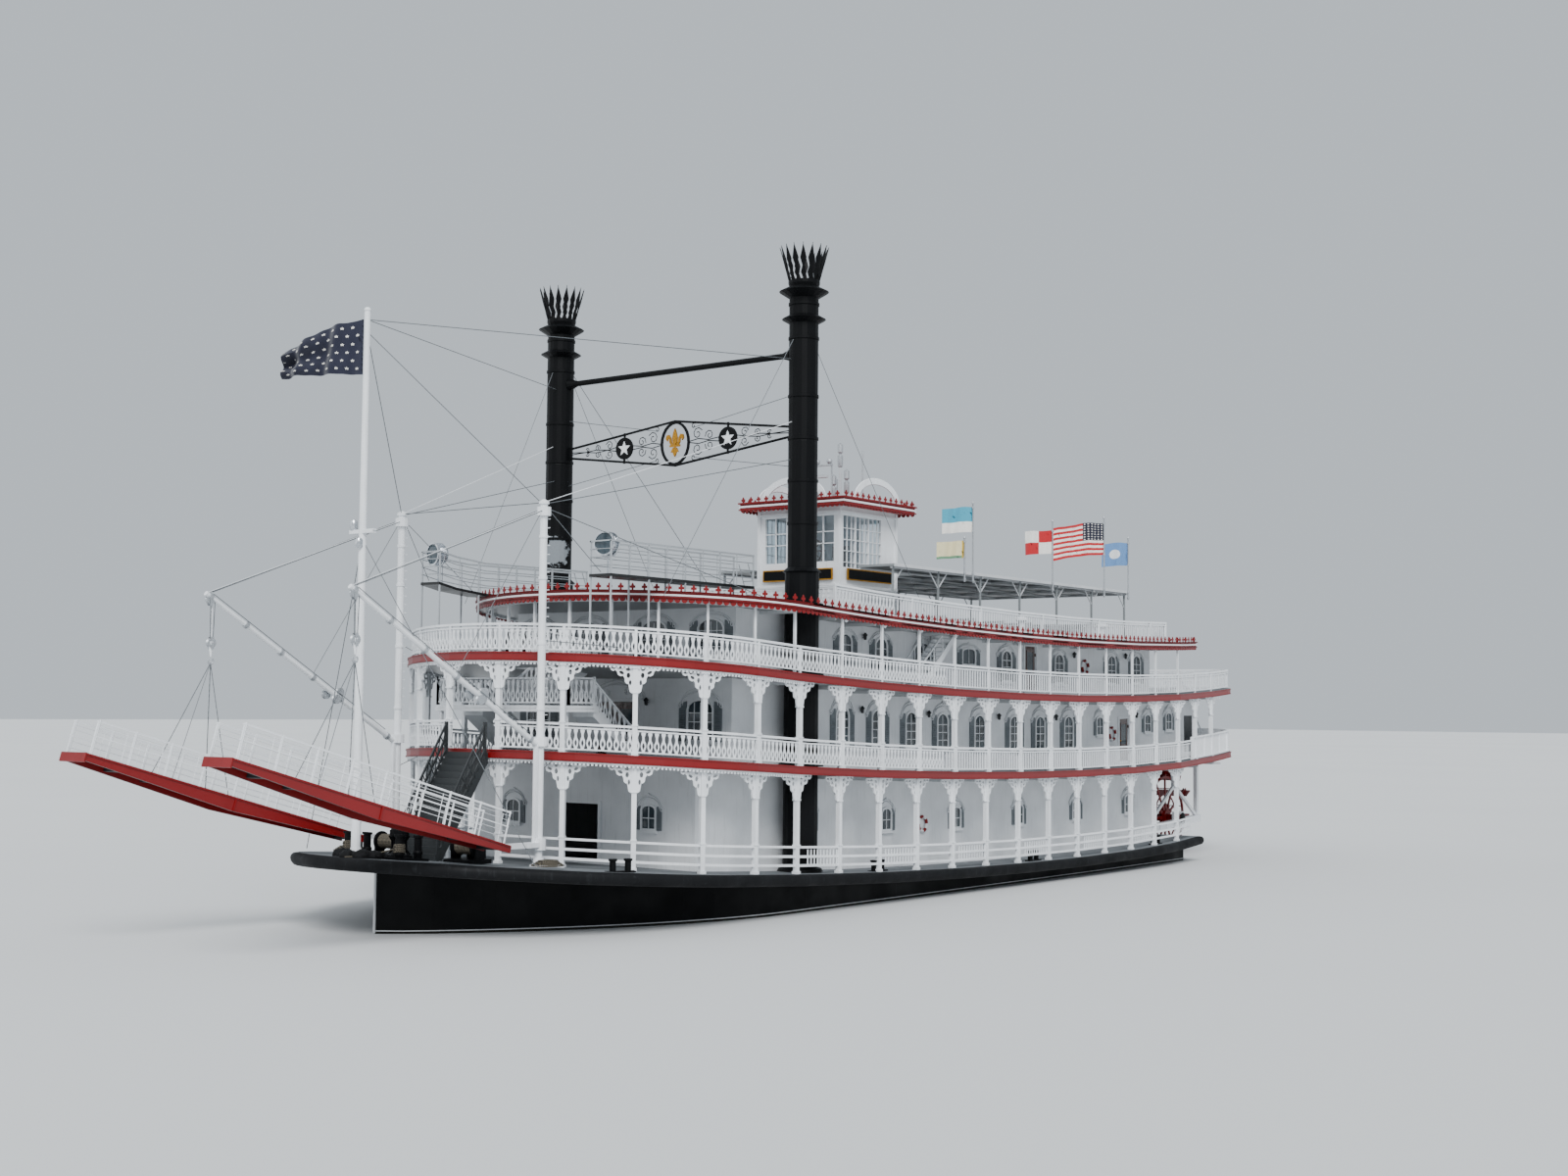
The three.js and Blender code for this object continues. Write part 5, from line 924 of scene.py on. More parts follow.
class BOAT_OT_balustrades(Operator):
    """Add the sawn balusters, slats and lower rails of every deck, and the columns' mouldings"""

    bl_idname = "boat.balustrades"
    bl_label = "Balustrades"

    def execute(self, context):
        sizes = context.scene.boat_sizes
        vase_pitch, slat_pitch = sizes.baluster_pitch, sizes.slat_pitch
        board, slat, low = vase_shape(0.68, vase_pitch), slat_shape(0.68), slat_shape(0.6)
        front, aft, half = ROOF_RAIL
        roof = fine([Vector((front, 0)), Vector((front, half)), Vector((aft, half)), Vector((aft, 0))], 0.3)
        first = run_of(DECK_PLAN, RAIL_INSET, aft=BULWARK_X, inner=BOW_GATE_HALF)
        # Cut-outs forward of a split and slats aft of it, between two lower rails.
        for name, run, deck, split in (
                ("second_deck", run_of(DECK_PLAN, RAIL_INSET), SECOND, sizes.vase_end),
                ("first_deck", first, FIRST, sizes.vase_end),
                ("roof_deck", roof, ROOF, sizes.roof_vase_end)):
            bm = bmesh.new()
            fore = [p for p in run if p.x > split]
            rest = fore[-1:] + [p for p in run if p.x <= split]
            stamp(bm, board, on_places(walk(fore, vase_pitch, vase_pitch / 2), deck, 0.13))
            stamp(bm, slat, on_places(walk(rest, slat_pitch, slat_pitch / 2), deck, 0.13))
            for up in (0.115, 0.835):
                sweep(bm, on_deck(run, deck, up), strap(0.07, 0.05))
            finish(name + "_balusters", bm, mirrored=True)

        bm = bmesh.new()
        run = run_of(DECK_PLAN, MAIN_RAIL_INSET, aft=-32.3, inner=BOW_GATE_HALF)
        for up in (0.3, 0.62):
            sweep(bm, on_deck(run, MAIN, up), strap(0.05, 0.09))
        for k in range(0, 13, 2):
            part = [p for p in run if -BAY * (k + 1) < p.x - 1.2 < -BAY * k]
            stamp(bm, low, on_places(walk(part, slat_pitch, 0.05), MAIN, 0.28))
        finish("main_deck_bars", bm, mirrored=True)

        bm = bmesh.new()
        for deck, top, inset, last in COLUMN_ROWS:
            for spot, heading in columns(inset, last):
                place = on(spot.x, spot.y, 0, 0, heading)
                for low_z, high_z, half in ((deck, deck + 0.1, 0.115), (deck + 1.0, deck + 1.05, 0.11),
                                            (top - 0.95, top - 0.9, 0.115), (top - 0.1, top - 0.004, 0.12)):
                    block(bm, (-half, -half, low_z + 0.002), (half, half, high_z), place)
        finish("column_mouldings", bm, mirrored=True)
        return {"FINISHED"}


class BOAT_OT_brackets(Operator):
    """Add the lacy brackets on both sides of each column's head"""

    bl_idname = "boat.brackets"
    bl_label = "Column brackets"

    def execute(self, context):
        reach, drop = context.scene.boat_sizes.bracket_reach, context.scene.boat_sizes.bracket_drop
        # A sawn bracket, as shares of its reach and drop, with the half axes and lean of its six holes.
        shares = ((0, 0), (1, 0), (1.02, 0.06), (0.97, 0.16), (0.86, 0.21), (0.78, 0.17), (0.7, 0.22),
                  (0.66, 0.34), (0.53, 0.4), (0.44, 0.37), (0.37, 0.46), (0.35, 0.6), (0.25, 0.67),
                  (0.2, 0.66), (0.17, 0.8), (0.14, 0.94), (0.05, 1), (0, 1))
        holes = ((0.85, 0.09, 0.1, 0.04, 0), (0.58, 0.09, 0.11, 0.045, 0), (0.22, 0.14, 0.1, 0.065, 0.4),
                 (0.5, 0.26, 0.12, 0.055, 0.5), (0.2, 0.36, 0.08, 0.1, 0), (0.12, 0.62, 0.055, 0.1, 0))
        pierced = [oval(u * reach, -v * drop, a * reach, b * drop, lean) for u, v, a, b, lean in holes]
        half = plate([(u * reach, -v * drop) for u, v in shares], 0.06, pierced)
        flips = [Matrix.Diagonal((way, 1, 1, 1)) for way in BOTH]
        for _, ceiling, inset, last in COLUMN_ROWS:
            bm = bmesh.new()
            places = on_places(columns(inset, last), ceiling)
            stamp(bm, half, [place @ flip @ at(0.085) for place in places for flip in flips])
            deck = "second" if ceiling == SECOND_CEILING else "first"
            finish(deck + "_deck_brackets", bm, mirrored=True)
        return {"FINISHED"}


def window_shapes(width, height, rise, panes, shutter, head, point):
    """Glass, casing, shutters and moulded head of one kind of window, its sill at the origin."""
    half, shoulder = width / 2, height - rise
    casing, louvres, crown = bmesh.new(), bmesh.new(), bmesh.new()
    stamp(casing, plate(arch(width, height, rise, 0.07), 0.07, [arch(width, height, rise, -0.01)]),
          [at(0, -0.02)])
    for k in range(1, panes[0]):
        u = width * k / panes[0] - half
        stamp(casing, plate(rect(u - 0.014, 0, u + 0.014, height - rise * 0.25), 0.03), [at(0, -0.02)])
    for k in range(1, panes[1]):
        v = (height - rise * 0.4) * k / panes[1]
        stamp(casing, plate(rect(-half, v - 0.014, half, v + 0.014), 0.026), [at(0, -0.02)])
    stamp(casing, plate(rect(-half - 0.12, -0.15, half + 0.12, -0.07), 0.14), [at(0, -0.05)])

    near, top = half + 0.08, height - rise * 0.1
    far = near + shutter
    curve = [(near + shutter * sin(a), shoulder + (top - shoulder) * cos(a)) for a in (0, 0.5, 1, QUARTER)]
    board = plate([(near, -0.05), (far, -0.05), *reversed(curve)], 0.04)
    for way in BOTH:
        flip = Matrix.Diagonal((way, 1, 1, 1))
        stamp(louvres, board, [flip @ at(0, -0.02)])
        for k in range(ceil((shoulder - 0.1) / 0.085)):
            tilt = flip @ at((near + far) / 2, -0.045, 0.04 + 0.085 * k) @ Matrix.Rotation(0.6, 4, "X")
            block(louvres, (0.05 - shutter / 2, -0.02, -0.008), (shutter / 2 - 0.05, 0.02, 0.008), tilt)

    reach, base = half + 0.1 + shutter * 0.75, height - rise * 0.55
    outer, inner = arc(reach, rise + head, 12, base), arc(reach * 0.9, (rise + head) * 0.8, 12, base)
    curls = [scroll((way * (reach + 0.03), base - 0.02), 0.1, 0.03, QUARTER, way * -6.5, 8) for way in BOTH]
    top = base + rise + head
    tip = [(-0.12, top - 0.02), (-0.05, top + 0.04), (0, top + point), (0.05, top + 0.04),
           (0.12, top - 0.02)]
    tubes(crown, [upright(line, -0.03) for line in (outer, inner, *curls, tip)], 0.026)
    return [plate(arch(width, height, rise), 0.02), as_mesh(casing), as_mesh(louvres), as_mesh(crown)]


class BOAT_OT_windows(Operator):
    """Add the arched windows of the deck houses, with shutters and moulded heads"""

    bl_idname = "boat.windows"
    bl_label = "Windows"

    def execute(self, context):
        width, shutter = context.scene.boat_sizes.window_width, context.scene.boat_sizes.shutter_width
        # Width, height, the arch's rise, panes across and up, shutter, heights of the head and its point.
        kinds = {
            "tall": (width, 1.42, 0.3, (2, 4), shutter, 0.3, 0.1),
            "low": (width, 1.3, 0.3, (2, 4), shutter, 0.14, 0.06),
            "small": (0.62, 0.82, 0.16, (2, 2), 0.22, 0.3, 0.06),
            "wide": (1.0, 0.66, 0.12, (2, 1), 0.34, 0.16, 0.05),
            "front": (1.15, 1.45, 0.32, (4, 4), 0.36, 0.3, 0.1),
            "low front": (1.15, 1.3, 0.32, (4, 4), 0.36, 0.13, 0.06),
        }
        on_sides = (
            ("low", SECOND, 0.6, (-3.87, -6.37, -9.6, -16.3, -21.1, -26.33, -28.97)),
            ("wide", SECOND, 1.2, (-13.1,)),
            ("tall", FIRST, 0.95, (-1.2, -3.7, -6.16, -8.6, -11.0, -14.0, -17.0, -19.3, -22.0)),
            ("small", FIRST, 1.5, (-25.1, -30.2, -32.6)),
            ("small", MAIN, 1.5, (-1.5, -6.8, -12.1, -17.4, -22.7, -28.0)))
        on_ends = (
            ("low front", SECOND, 0.58, SECOND_CABIN[0], (1.64, 4.4)),
            ("front", FIRST, 0.8, FIRST_HOUSE[0], (4.1,)),
            ("small", MAIN, 1.4, MAIN_HOUSE[0], (3.4,)),
            ("tall", FIRST, 0.9, FIRST_HOUSE[1], (1.6, 4.0)),
            ("low", SECOND, 0.6, SECOND_CABIN[1], (1.6, 4.0)),
            ("small", MAIN, 1.5, MAIN_HOUSE[1], (1.6, 4.0)))
        places = {kind: [] for kind in kinds}
        for side in BOTH:
            for kind, deck, sill, spots in on_sides:
                places[kind] += [wall_at(side, x, deck, sill) for x in spots]
            for kind, deck, sill, x, spots in on_ends:
                places[kind] += [on(x, side * y, deck, sill, QUARTER if x > 0 else -QUARTER) for y in spots]
        shapes = {kind: window_shapes(*kinds[kind]) for kind in kinds}
        for part, (name, paint) in enumerate((
                ("window_glass", "dark window glass"), ("window_casings", "white gloss enamel"),
                ("window_shutters", "grey shutter paint"), ("window_heads", "white gloss enamel"))):
            bm = bmesh.new()
            for kind in kinds:
                stamp(bm, shapes[kind][part], places[kind])
            finish(name, bm, paint)
        return {"FINISHED"}


class BOAT_OT_doors(Operator):
    """Add panels, lights and knobs to the doors, casings round the doorways, and the wall lamps"""

    bl_idname = "boat.doors"
    bl_label = "Doors"

    def execute(self, context):
        pilot_door = at(PILOT_AFT, PILOT_DOOR_Y, PILOT_FOOT + 0.12, -QUARTER)
        leaves = []
        # Doorways: place, width and how far the casing stands clear of them.
        ways = [(on(FIRST_HOUSE[0], 0, FIRST, DOOR_SILL, QUARTER), 1.9, 0.02),
                (on(MAIN_HOUSE[0], 0, MAIN, DOOR_SILL, QUARTER), 1.9, 0.02), (pilot_door, 0.9, 0.06)]
        for name, side in SIDES.items():
            saloon = on(FIRST_HOUSE[0], side * 0.475, FIRST, DOOR_SILL, QUARTER)
            leaves.append(("saloon_door_" + name, saloon, 0.93))
            for kind, deck, x in (("first_side_door_", FIRST, SIDE_DOOR_X),
                                  ("second_side_door_", SECOND, CABIN_DOOR_X)):
                leaves.append((kind + name, wall_at(side, x, deck, DOOR_SILL), 0.88))
                ways.append((leaves[-1][1], 0.9, 0.06))
        for name, place, width in (*leaves, ("pilothouse_door", pilot_door, 0.88)):
            body = name + "_body"
            bm = bmesh.new()
            u = width / 2 - 0.12
            for low, high in ((0.1218, 0.609), (0.7308, 1.8676)):
                frame_hole = rect(0.05 - u, low + 0.05, u - 0.05, high - 0.05)
                stamp(bm, plate(rect(-u, low, u, high), 0.03, [frame_hole]), [place @ at(0, -0.012)])
            finish(name + "_panels", bm, "varnished mahogany", body=body)
            bm = bmesh.new()
            u = width / 2 - 0.19
            stamp(bm, plate(rect(-u, 0.82, u, 1.78), 0.014), [place @ at(0, -0.004)])
            finish(name + "_light", bm, "dark window glass", body=body)
            bm = bmesh.new()
            way = 1 if name.endswith("port") else -1
            knob = place @ at(way * (0.09 - width / 2), -0.035, 0.98)
            bmesh.ops.create_uvsphere(bm, u_segments=10, v_segments=6, radius=0.04, matrix=knob)
            bmesh.ops.create_cone(bm, segments=8, radius1=0.018, radius2=0.018, depth=0.05, cap_ends=True,
                                  matrix=knob @ at(0, 0.025) @ ON_SIDE)
            finish(name + "_knob", bm, "gold leaf", body=body, smooth=50)

        bm = bmesh.new()
        for place, width, clear in ways:
            u = width / 2 + clear
            shape = plate([(-u - 0.11, 0), (-u, 0), (-u, DOOR_HEIGHT + 0.02), (u, DOOR_HEIGHT + 0.02),
                           (u, 0), (u + 0.11, 0), (u + 0.11, DOOR_HEIGHT + 0.11),
                           (-u - 0.11, DOOR_HEIGHT + 0.11)], 0.07)
            stamp(bm, shape, [place @ at(0, -0.03)])
        # The fan and scrolls over the saloon door.
        curls = [scroll((way * 1.28, 0.03), 0.14, 0.03, QUARTER, way * -7, 10) for way in BOTH]
        curls += [scroll((way * 0.5, 0.2), 0.16, 0.04, 0.3, way * 7, 10) for way in BOTH]
        lines = bmesh.new()
        outer = arc(1.25, 0.62, 16)
        tubes(lines, [upright(line, -0.04) for line in (outer, arc(1.075, 0.496, 16), *curls)], 0.032)
        fan = plate([*outer, (-1.25, -0.02), (1.25, -0.02)], 0.03)
        place = ways[0][0] @ at(0, 0, 2.22)
        stamp(bm, as_mesh(lines), [place])
        stamp(bm, fan, [place @ at(0, -0.012)])
        finish("door_casings", bm)

        bm = bmesh.new()
        leaf_shape = plate(rect(-0.45, 0.25, 0.45, 2.1), 0.03)
        stamp(bm, leaf_shape, [wall_at(side, -34.9, FIRST, 0) @ at(0, -0.01) for side in BOTH])
        finish("crew_doors", bm, "dark grey steel paint")

        bm = bmesh.new()
        lamp = turned([(0, 0), (0.06, 0.02), (0.07, 0.16), (0.11, 0.2), (0.02, 0.3), (0, 0.3)], 10)
        places = [at(3.32, 1.55, FIRST + sheer(3.2) + 2.05)]
        places += [on(x, 5.67, FIRST, 2.2) for x in (-4.93, -9.8, -15.5, -20.65, -28.8)]
        places += [on(x, 5.67, SECOND, 1.75) for x in (-5.1, -11.3, -22.4, -27.65)]
        stamp(bm, lamp, places)
        for foot in (place.to_translation() for place in places):
            arm = (-0.12, 0, 0.12) if foot.x > 0 else (0, -0.12, 0.12)
            bar(bm, foot + UP * 0.12, foot + Vector(arm), 0.03, 0.03)
        finish("wall_lamps", bm, "dark grey steel paint", mirrored=True, smooth=40)
        return {"FINISHED"}


def sloped_rail(bm, foot, head, shape, pitch, high=0.9):
    """A stair's rail between two places on its string: posts, handrail, foot rail and balusters."""
    foot, head = Vector(foot), Vector(head)
    for end in (foot, head):
        block(bm, end + Vector((-0.045, -0.045, -0.02)), end + Vector((0.045, 0.045, high + 0.06)))
    bar(bm, foot + UP * high, head + UP * high, 0.09, 0.06)
    bar(bm, foot + UP * 0.1, head + UP * 0.1, 0.07, 0.05)
    run = head - foot
    level = Vector((run.x, run.y))
    count = int(level.length / pitch)
    lean = Matrix.Identity(4)
    lean[2][0] = run.z / level.length
    turn = Matrix.Rotation(atan2(level.y, level.x), 4, "Z") @ lean
    stamp(bm, shape, [at(*(foot + run * ((k + 0.5) / count) + UP * 0.12)) @ turn for k in range(count)])


def plain_rail(bm, foot, head, heights, posts, high, thick=0.05, post=0.03):
    """Square bars at some heights over a line, and square posts at shares of its run."""
    foot, head = Vector(foot), Vector(head)
    for up in heights:
        bar(bm, foot + UP * up, head + UP * up, thick, thick)
    for share in posts:
        spot = foot.lerp(head, share)
        bar(bm, spot, spot + UP * high, post, post)


class BOAT_OT_stairs(Operator):
    """Add the rails of the stairs and landing, and the stair up to the roof deck"""

    bl_idname = "boat.stairs"
    bl_label = "Stair rails"

    def execute(self, context):
        pitch = context.scene.boat_sizes.baluster_pitch
        board, tall = vase_shape(0.74, pitch), vase_shape(0.76, pitch)
        bm = bmesh.new()
        landing, well = 7.52, SECOND + sheer(6.8) + 0.02
        for start, end in (((5.75, 2.29, FIRST + sheer(5.9) + 0.02), (8.02, 2.29, 7.5)),
                           ((5.75, 3.21, FIRST + sheer(5.9) + 0.02), (8.02, 3.21, 7.5)),
                           ((8.06, 0.61, 7.5), (5.62, 0.61, SECOND + sheer(5.6))),
                           ((5.35, 0.86, well - 0.16), (8.2, 0.86, well + 0.2)),
                           ((8.2, 0.86, well + 0.2), (8.2, 0, well + 0.2))):
            sloped_rail(bm, start, end, board, pitch)
        for start, end in (((9.3, 0), (9.3, 3.25)), ((9.3, 3.25), (8.04, 3.25)),
                           ((8.04, 2.25), (8.04, 0.7))):
            sloped_rail(bm, (*start, landing), (*end, landing), tall, pitch, 0.95)
        block(bm, (7.95, 0, 7.3), (9.37, 3.32, 7.41))
        finish("grand_stair_rails", bm, mirrored=True)

        bm = bmesh.new()
        foot = Vector((13.1, 0.96, MAIN + sheer(13.1) + 0.1))
        head = Vector((11.0, 0.96, FIRST + sheer(10.9) - 0.1))
        plain_rail(bm, foot, head, (0.05, 0.5, 0.95), (), 0, 0.06)
        for k in range(8):
            a, b = foot.lerp(head, k / 8), foot.lerp(head, (k + 1) / 8)
            bar(bm, a + UP * 0.05, b + UP * 0.95, 0.03, 0.03)
            bar(bm, a + UP * 0.95, b + UP * 0.05, 0.03, 0.03)
        plain_rail(bm, foot - UP * 0.1, head - UP * 0.1, (), (0, 1), 1.12, post=0.1)
        finish("bow_stair_rails", bm, "dark grey steel paint", mirrored=True)

        bm = bmesh.new()
        foot = Vector((-7.8, 6.2, SECOND + sheer(-7.8) + 0.01))
        head = Vector((-10.3, 6.2, ROOF_CEILING + sheer(-10.3)))
        for k in range(1, 12):
            spot = foot.lerp(head, k / 12)
            block(bm, spot + Vector((-0.15, -0.45, -0.02)), spot + Vector((0.15, 0.45, 0.02)))
        for y in (-0.47, 0.47):
            shift = Vector((0, y, 0))
            bar(bm, foot + shift, head + shift, 0.05, 0.24)
            bar(bm, foot + shift + Vector((0.1, 0, 0.9)), head + shift + Vector((1, 0, 0)), 0.05, 0.05)
            for k in (0, 4, 7):
                spot = foot.lerp(head, k / 12) + shift
                bar(bm, spot, spot + Vector((0.05, 0, 0.92)), 0.04, 0.04)
        hatch = ROOF + sheer(-9.6)
        block(bm, (-10.9, 5.65, hatch + 0.01), (-8.7, 6.72, hatch + 0.2))
        finish("roof_stair", bm, mirrored=True)

        bm = bmesh.new()
        for y in (3.62, 4.58):
            foot, head = (-38.75, y, FIRST + sheer(-38.9) + 0.05), (-36.05, y, SECOND + sheer(-36) - 0.1)
            plain_rail(bm, foot, head, (0.9,), [k / 8 for k in range(9)], 0.9)
        deck = SECOND + sheer(-37)
        for y in (3.48, 4.72):
            plain_rail(bm, (-38.2, y, deck), (-35.9, y, deck), (0.5, 0.95), (0, 0.5, 1), 0.97, post=0.06)
        finish("aft_stair_rails", bm)

        bm = bmesh.new()
        low, high = ROOF + sheer(-14) + 0.05, PILOT_FOOT
        for y in (-1.2, -0.3):
            # The rails end half-way up, clear of the door's swing.
            plain_rail(bm, (-14.2, y, low), (-13.4, y, (low + high) / 2), (0.9,), (0, 0.5, 1), 0.9)
        finish("pilothouse_step_rails", bm)
        return {"FINISHED"}


class BOAT_OT_pilothouse(Operator):
    """Add the pilothouse's eave trim, arches, window bars, boards, roof gear and steering wheel"""

    bl_idname = "boat.pilothouse"
    bl_label = "Pilothouse trim"

    def execute(self, context):
        out, middle = PILOT_HALF + 0.62, (PILOT_FRONT + PILOT_AFT) / 2
        back, front = PILOT_AFT - 0.62, PILOT_FRONT + 0.62
        corners = [Vector(p) for p in ((back, 0), (back, -out), (front, -out), (front, out), (back, out),
                                       (back, 0))]
        eave = [Vector((*p, PILOT_TOP)) for p in corners]
        bm = bmesh.new()
        sweep(bm, eave, rect(-0.02, 0.1, 0.03, 0.18))
        finish("pilothouse_stripe", bm)

        bm = bmesh.new()
        sweep(bm, eave, rect(-0.06, 0.26, 0.07, 0.32))
        sweep(bm, eave, rect(-0.04, -0.02, 0.05, 0.03))
        for shape, up, pitch, first in ((leaf(0.2, 0.26), 0.31, 0.42, 0.12),
                                        (scallop(0.11, 0.12), 0, 0.24, 0.1)):
            cut = plate(shape, 0.03)
            for a, b in zip(corners, corners[1:]):
                run = walk([a.lerp(b, 0.01), a.lerp(b, 0.99)], pitch, first)
                stamp(bm, cut, [at(p.x, p.y, PILOT_TOP + up, heading) for p, heading in run])
        finish("pilothouse_cresting", bm, "red gloss enamel")

        bm, lines = bmesh.new(), bmesh.new()
        outer, inner = arc(1.72, 1, 20), arc(1.72 * 0.83, 0.78, 20)
        tubes(lines, [upright(outer), upright(inner)], 0.035)
        bead, band = as_mesh(lines), plate([*outer, *reversed(inner)], 0.06)
        arches = [at(PILOT_FRONT + 0.45, 0, PILOT_TOP + 0.29, QUARTER)]
        arches += [at(middle, side * (PILOT_HALF + 0.45), PILOT_TOP + 0.29) for side in BOTH]
        stamp(bm, band, arches)
        stamp(bm, bead, arches)
        finish("pilothouse_arches", bm)

        bm = bmesh.new()
        low, high, left = PILOT_SILL, PILOT_LINTEL, PILOT_AFT + 1.1
        rows = [low + up * 1.1 - 0.25 for up in (0.18, 0.62, 1.06, 1.5)]
        boards = [ROOF + 0.5 + 0.19 * k for k in range(7) if ROOF + 0.5 + 0.19 * k < PILOT_FOOT - 0.1]
        for side in BOTH:
            y = side * (PILOT_HALF - 0.02)
            for x in (left + k * 0.323 for k in range(1, 9)):
                block(bm, (x - 0.014, y - 0.03, low - 0.25), (x + 0.014, y + 0.03, high))
            for z in rows:
                block(bm, (left, y - 0.03, z), (PILOT_FRONT - 0.2, y + 0.03, z + 0.028))
            y = side * (PILOT_HALF + 0.06)
            for z in boards:
                block(bm, (PILOT_AFT - 0.05, y - 0.02, z), (PILOT_FRONT + 0.05, y + 0.02, z + 0.03))
            y = side * PILOT_HALF
            for x in (PILOT_AFT, PILOT_FRONT):
                block(bm, (x - 0.07, y - 0.07, PILOT_FOOT + 0.1), (x + 0.07, y + 0.07, PILOT_TOP - 0.05))
        for z in boards:
            block(bm, (PILOT_FRONT + 0.04, -PILOT_HALF - 0.05, z),
                  (PILOT_FRONT + 0.08, PILOT_HALF + 0.05, z + 0.03))
        x0, x1 = PILOT_FRONT - 0.07, PILOT_FRONT + 0.01
        for y in (0.25 - PILOT_HALF + k * 1.2667 for k in range(3)):
            for z in (low + 0.75, low + 1.25):
                block(bm, (x0, y + 0.07, z), (x1, y + 1.2, z + 0.04))
            block(bm, (x0, y + 0.61, low), (x1, y + 0.65, high))
        for z0, z1 in ((PILOT_FOOT, PILOT_FOOT + 0.119), (high + 0.12, high + 0.199)):
            block(bm, (PILOT_AFT - 0.05, -PILOT_HALF - 0.1, z0), (PILOT_FRONT + 0.1, PILOT_HALF + 0.1, z1))
        finish("pilothouse_bars", bm)

        places = [(at(PILOT_FRONT + 0.1, 0, 12.95, QUARTER), 1.85),
                  (at(middle, PILOT_HALF + 0.1, 12.95, pi), 1.7),
                  (at(middle, -PILOT_HALF - 0.1, 12.95), 1.7)]
        boards, borders = bmesh.new(), bmesh.new()
        for place, half in places:
            field = rect(0.05 - half, 0.05, half - 0.05, 0.45)
            stamp(boards, plate(field, 0.05), [place @ at(0, -0.01)])
            stamp(borders, plate(rect(-half, 0, half, 0.5), 0.07, [field]), [place @ at(0, -0.01)])
        finish("nameboards", boards, "black stack paint")
        finish("nameboard_borders", borders, "gold leaf")

        bm = bmesh.new()
        roof = PILOT_TOP + 0.5
        rods = ((-9.4, 0.9, 1.5), (-9.4, -0.9, 1.5), (-11.6, 1.0, 2.3), (-12.2, -0.8, 1.2))
        tubes(bm, [[(x, y, roof - 0.2), (x, y, roof + high)] for x, y, high in rods], 0.035, 1)
        for z, half in ((0.9, 0.8), (1.35, 1.15)):
            block(bm, (-9.15, -half, roof + z), (-9.03, half, roof + z + 0.07))
        for y in (-0.95, -0.3, 0.35, 1.0):
            bmesh.ops.create_uvsphere(bm, u_segments=10, v_segments=6, radius=0.13,
                                      matrix=at(-9.09, y, roof + 1.55))
        horn = turned([(0, 0), (0.05, 0), (0.05, 0.55), (0.17, 0.85), (0.15, 0.85), (0.03, 0.6), (0, 0.6)],
                      12)
        stamp(bm, horn, [at(-9.9, y, roof + 0.15) @ AHEAD for y in (-0.25, 0.25)])
        whistle = turned([(0, 0), (0.09, 0), (0.12, 0.05), (0.12, 0.5), (0.05, 0.58), (0.12, 0.66),
                          (0.12, 1), (0, 1.1)], 12)
        stamp(bm, whistle, [at(-11.3, y, roof + z) for y, z in ((0.35, 0.4), (-0.35, 0.2), (0, 1.6))])
        tubes(bm, [[(-11.3, y, roof - 0.2), (-11.3, y, roof + 0.5)] for y in (-0.35, 0.35)], 0.05, 1)
        finish("pilothouse_roof_gear", bm, "galvanised steel", smooth=40)

        bm = bmesh.new()
        hub = (-9.2, 0, 14.3)
        tubes(bm, list(zip(hoop(hub, 0.055, "X", 10)[1:], hoop(hub, 0.715, "X", 10)[1:])), 0.03)
        tubes(bm, [hoop(hub, 0.55, "X", 24)], 0.045, 1)
        block(bm, (-9.6, -1.4, PILOT_FOOT + 0.2), (-8.75, 1.4, PILOT_FOOT + 1))
        finish("pilot_wheel", bm, "varnished mahogany")
        return {"FINISHED"}


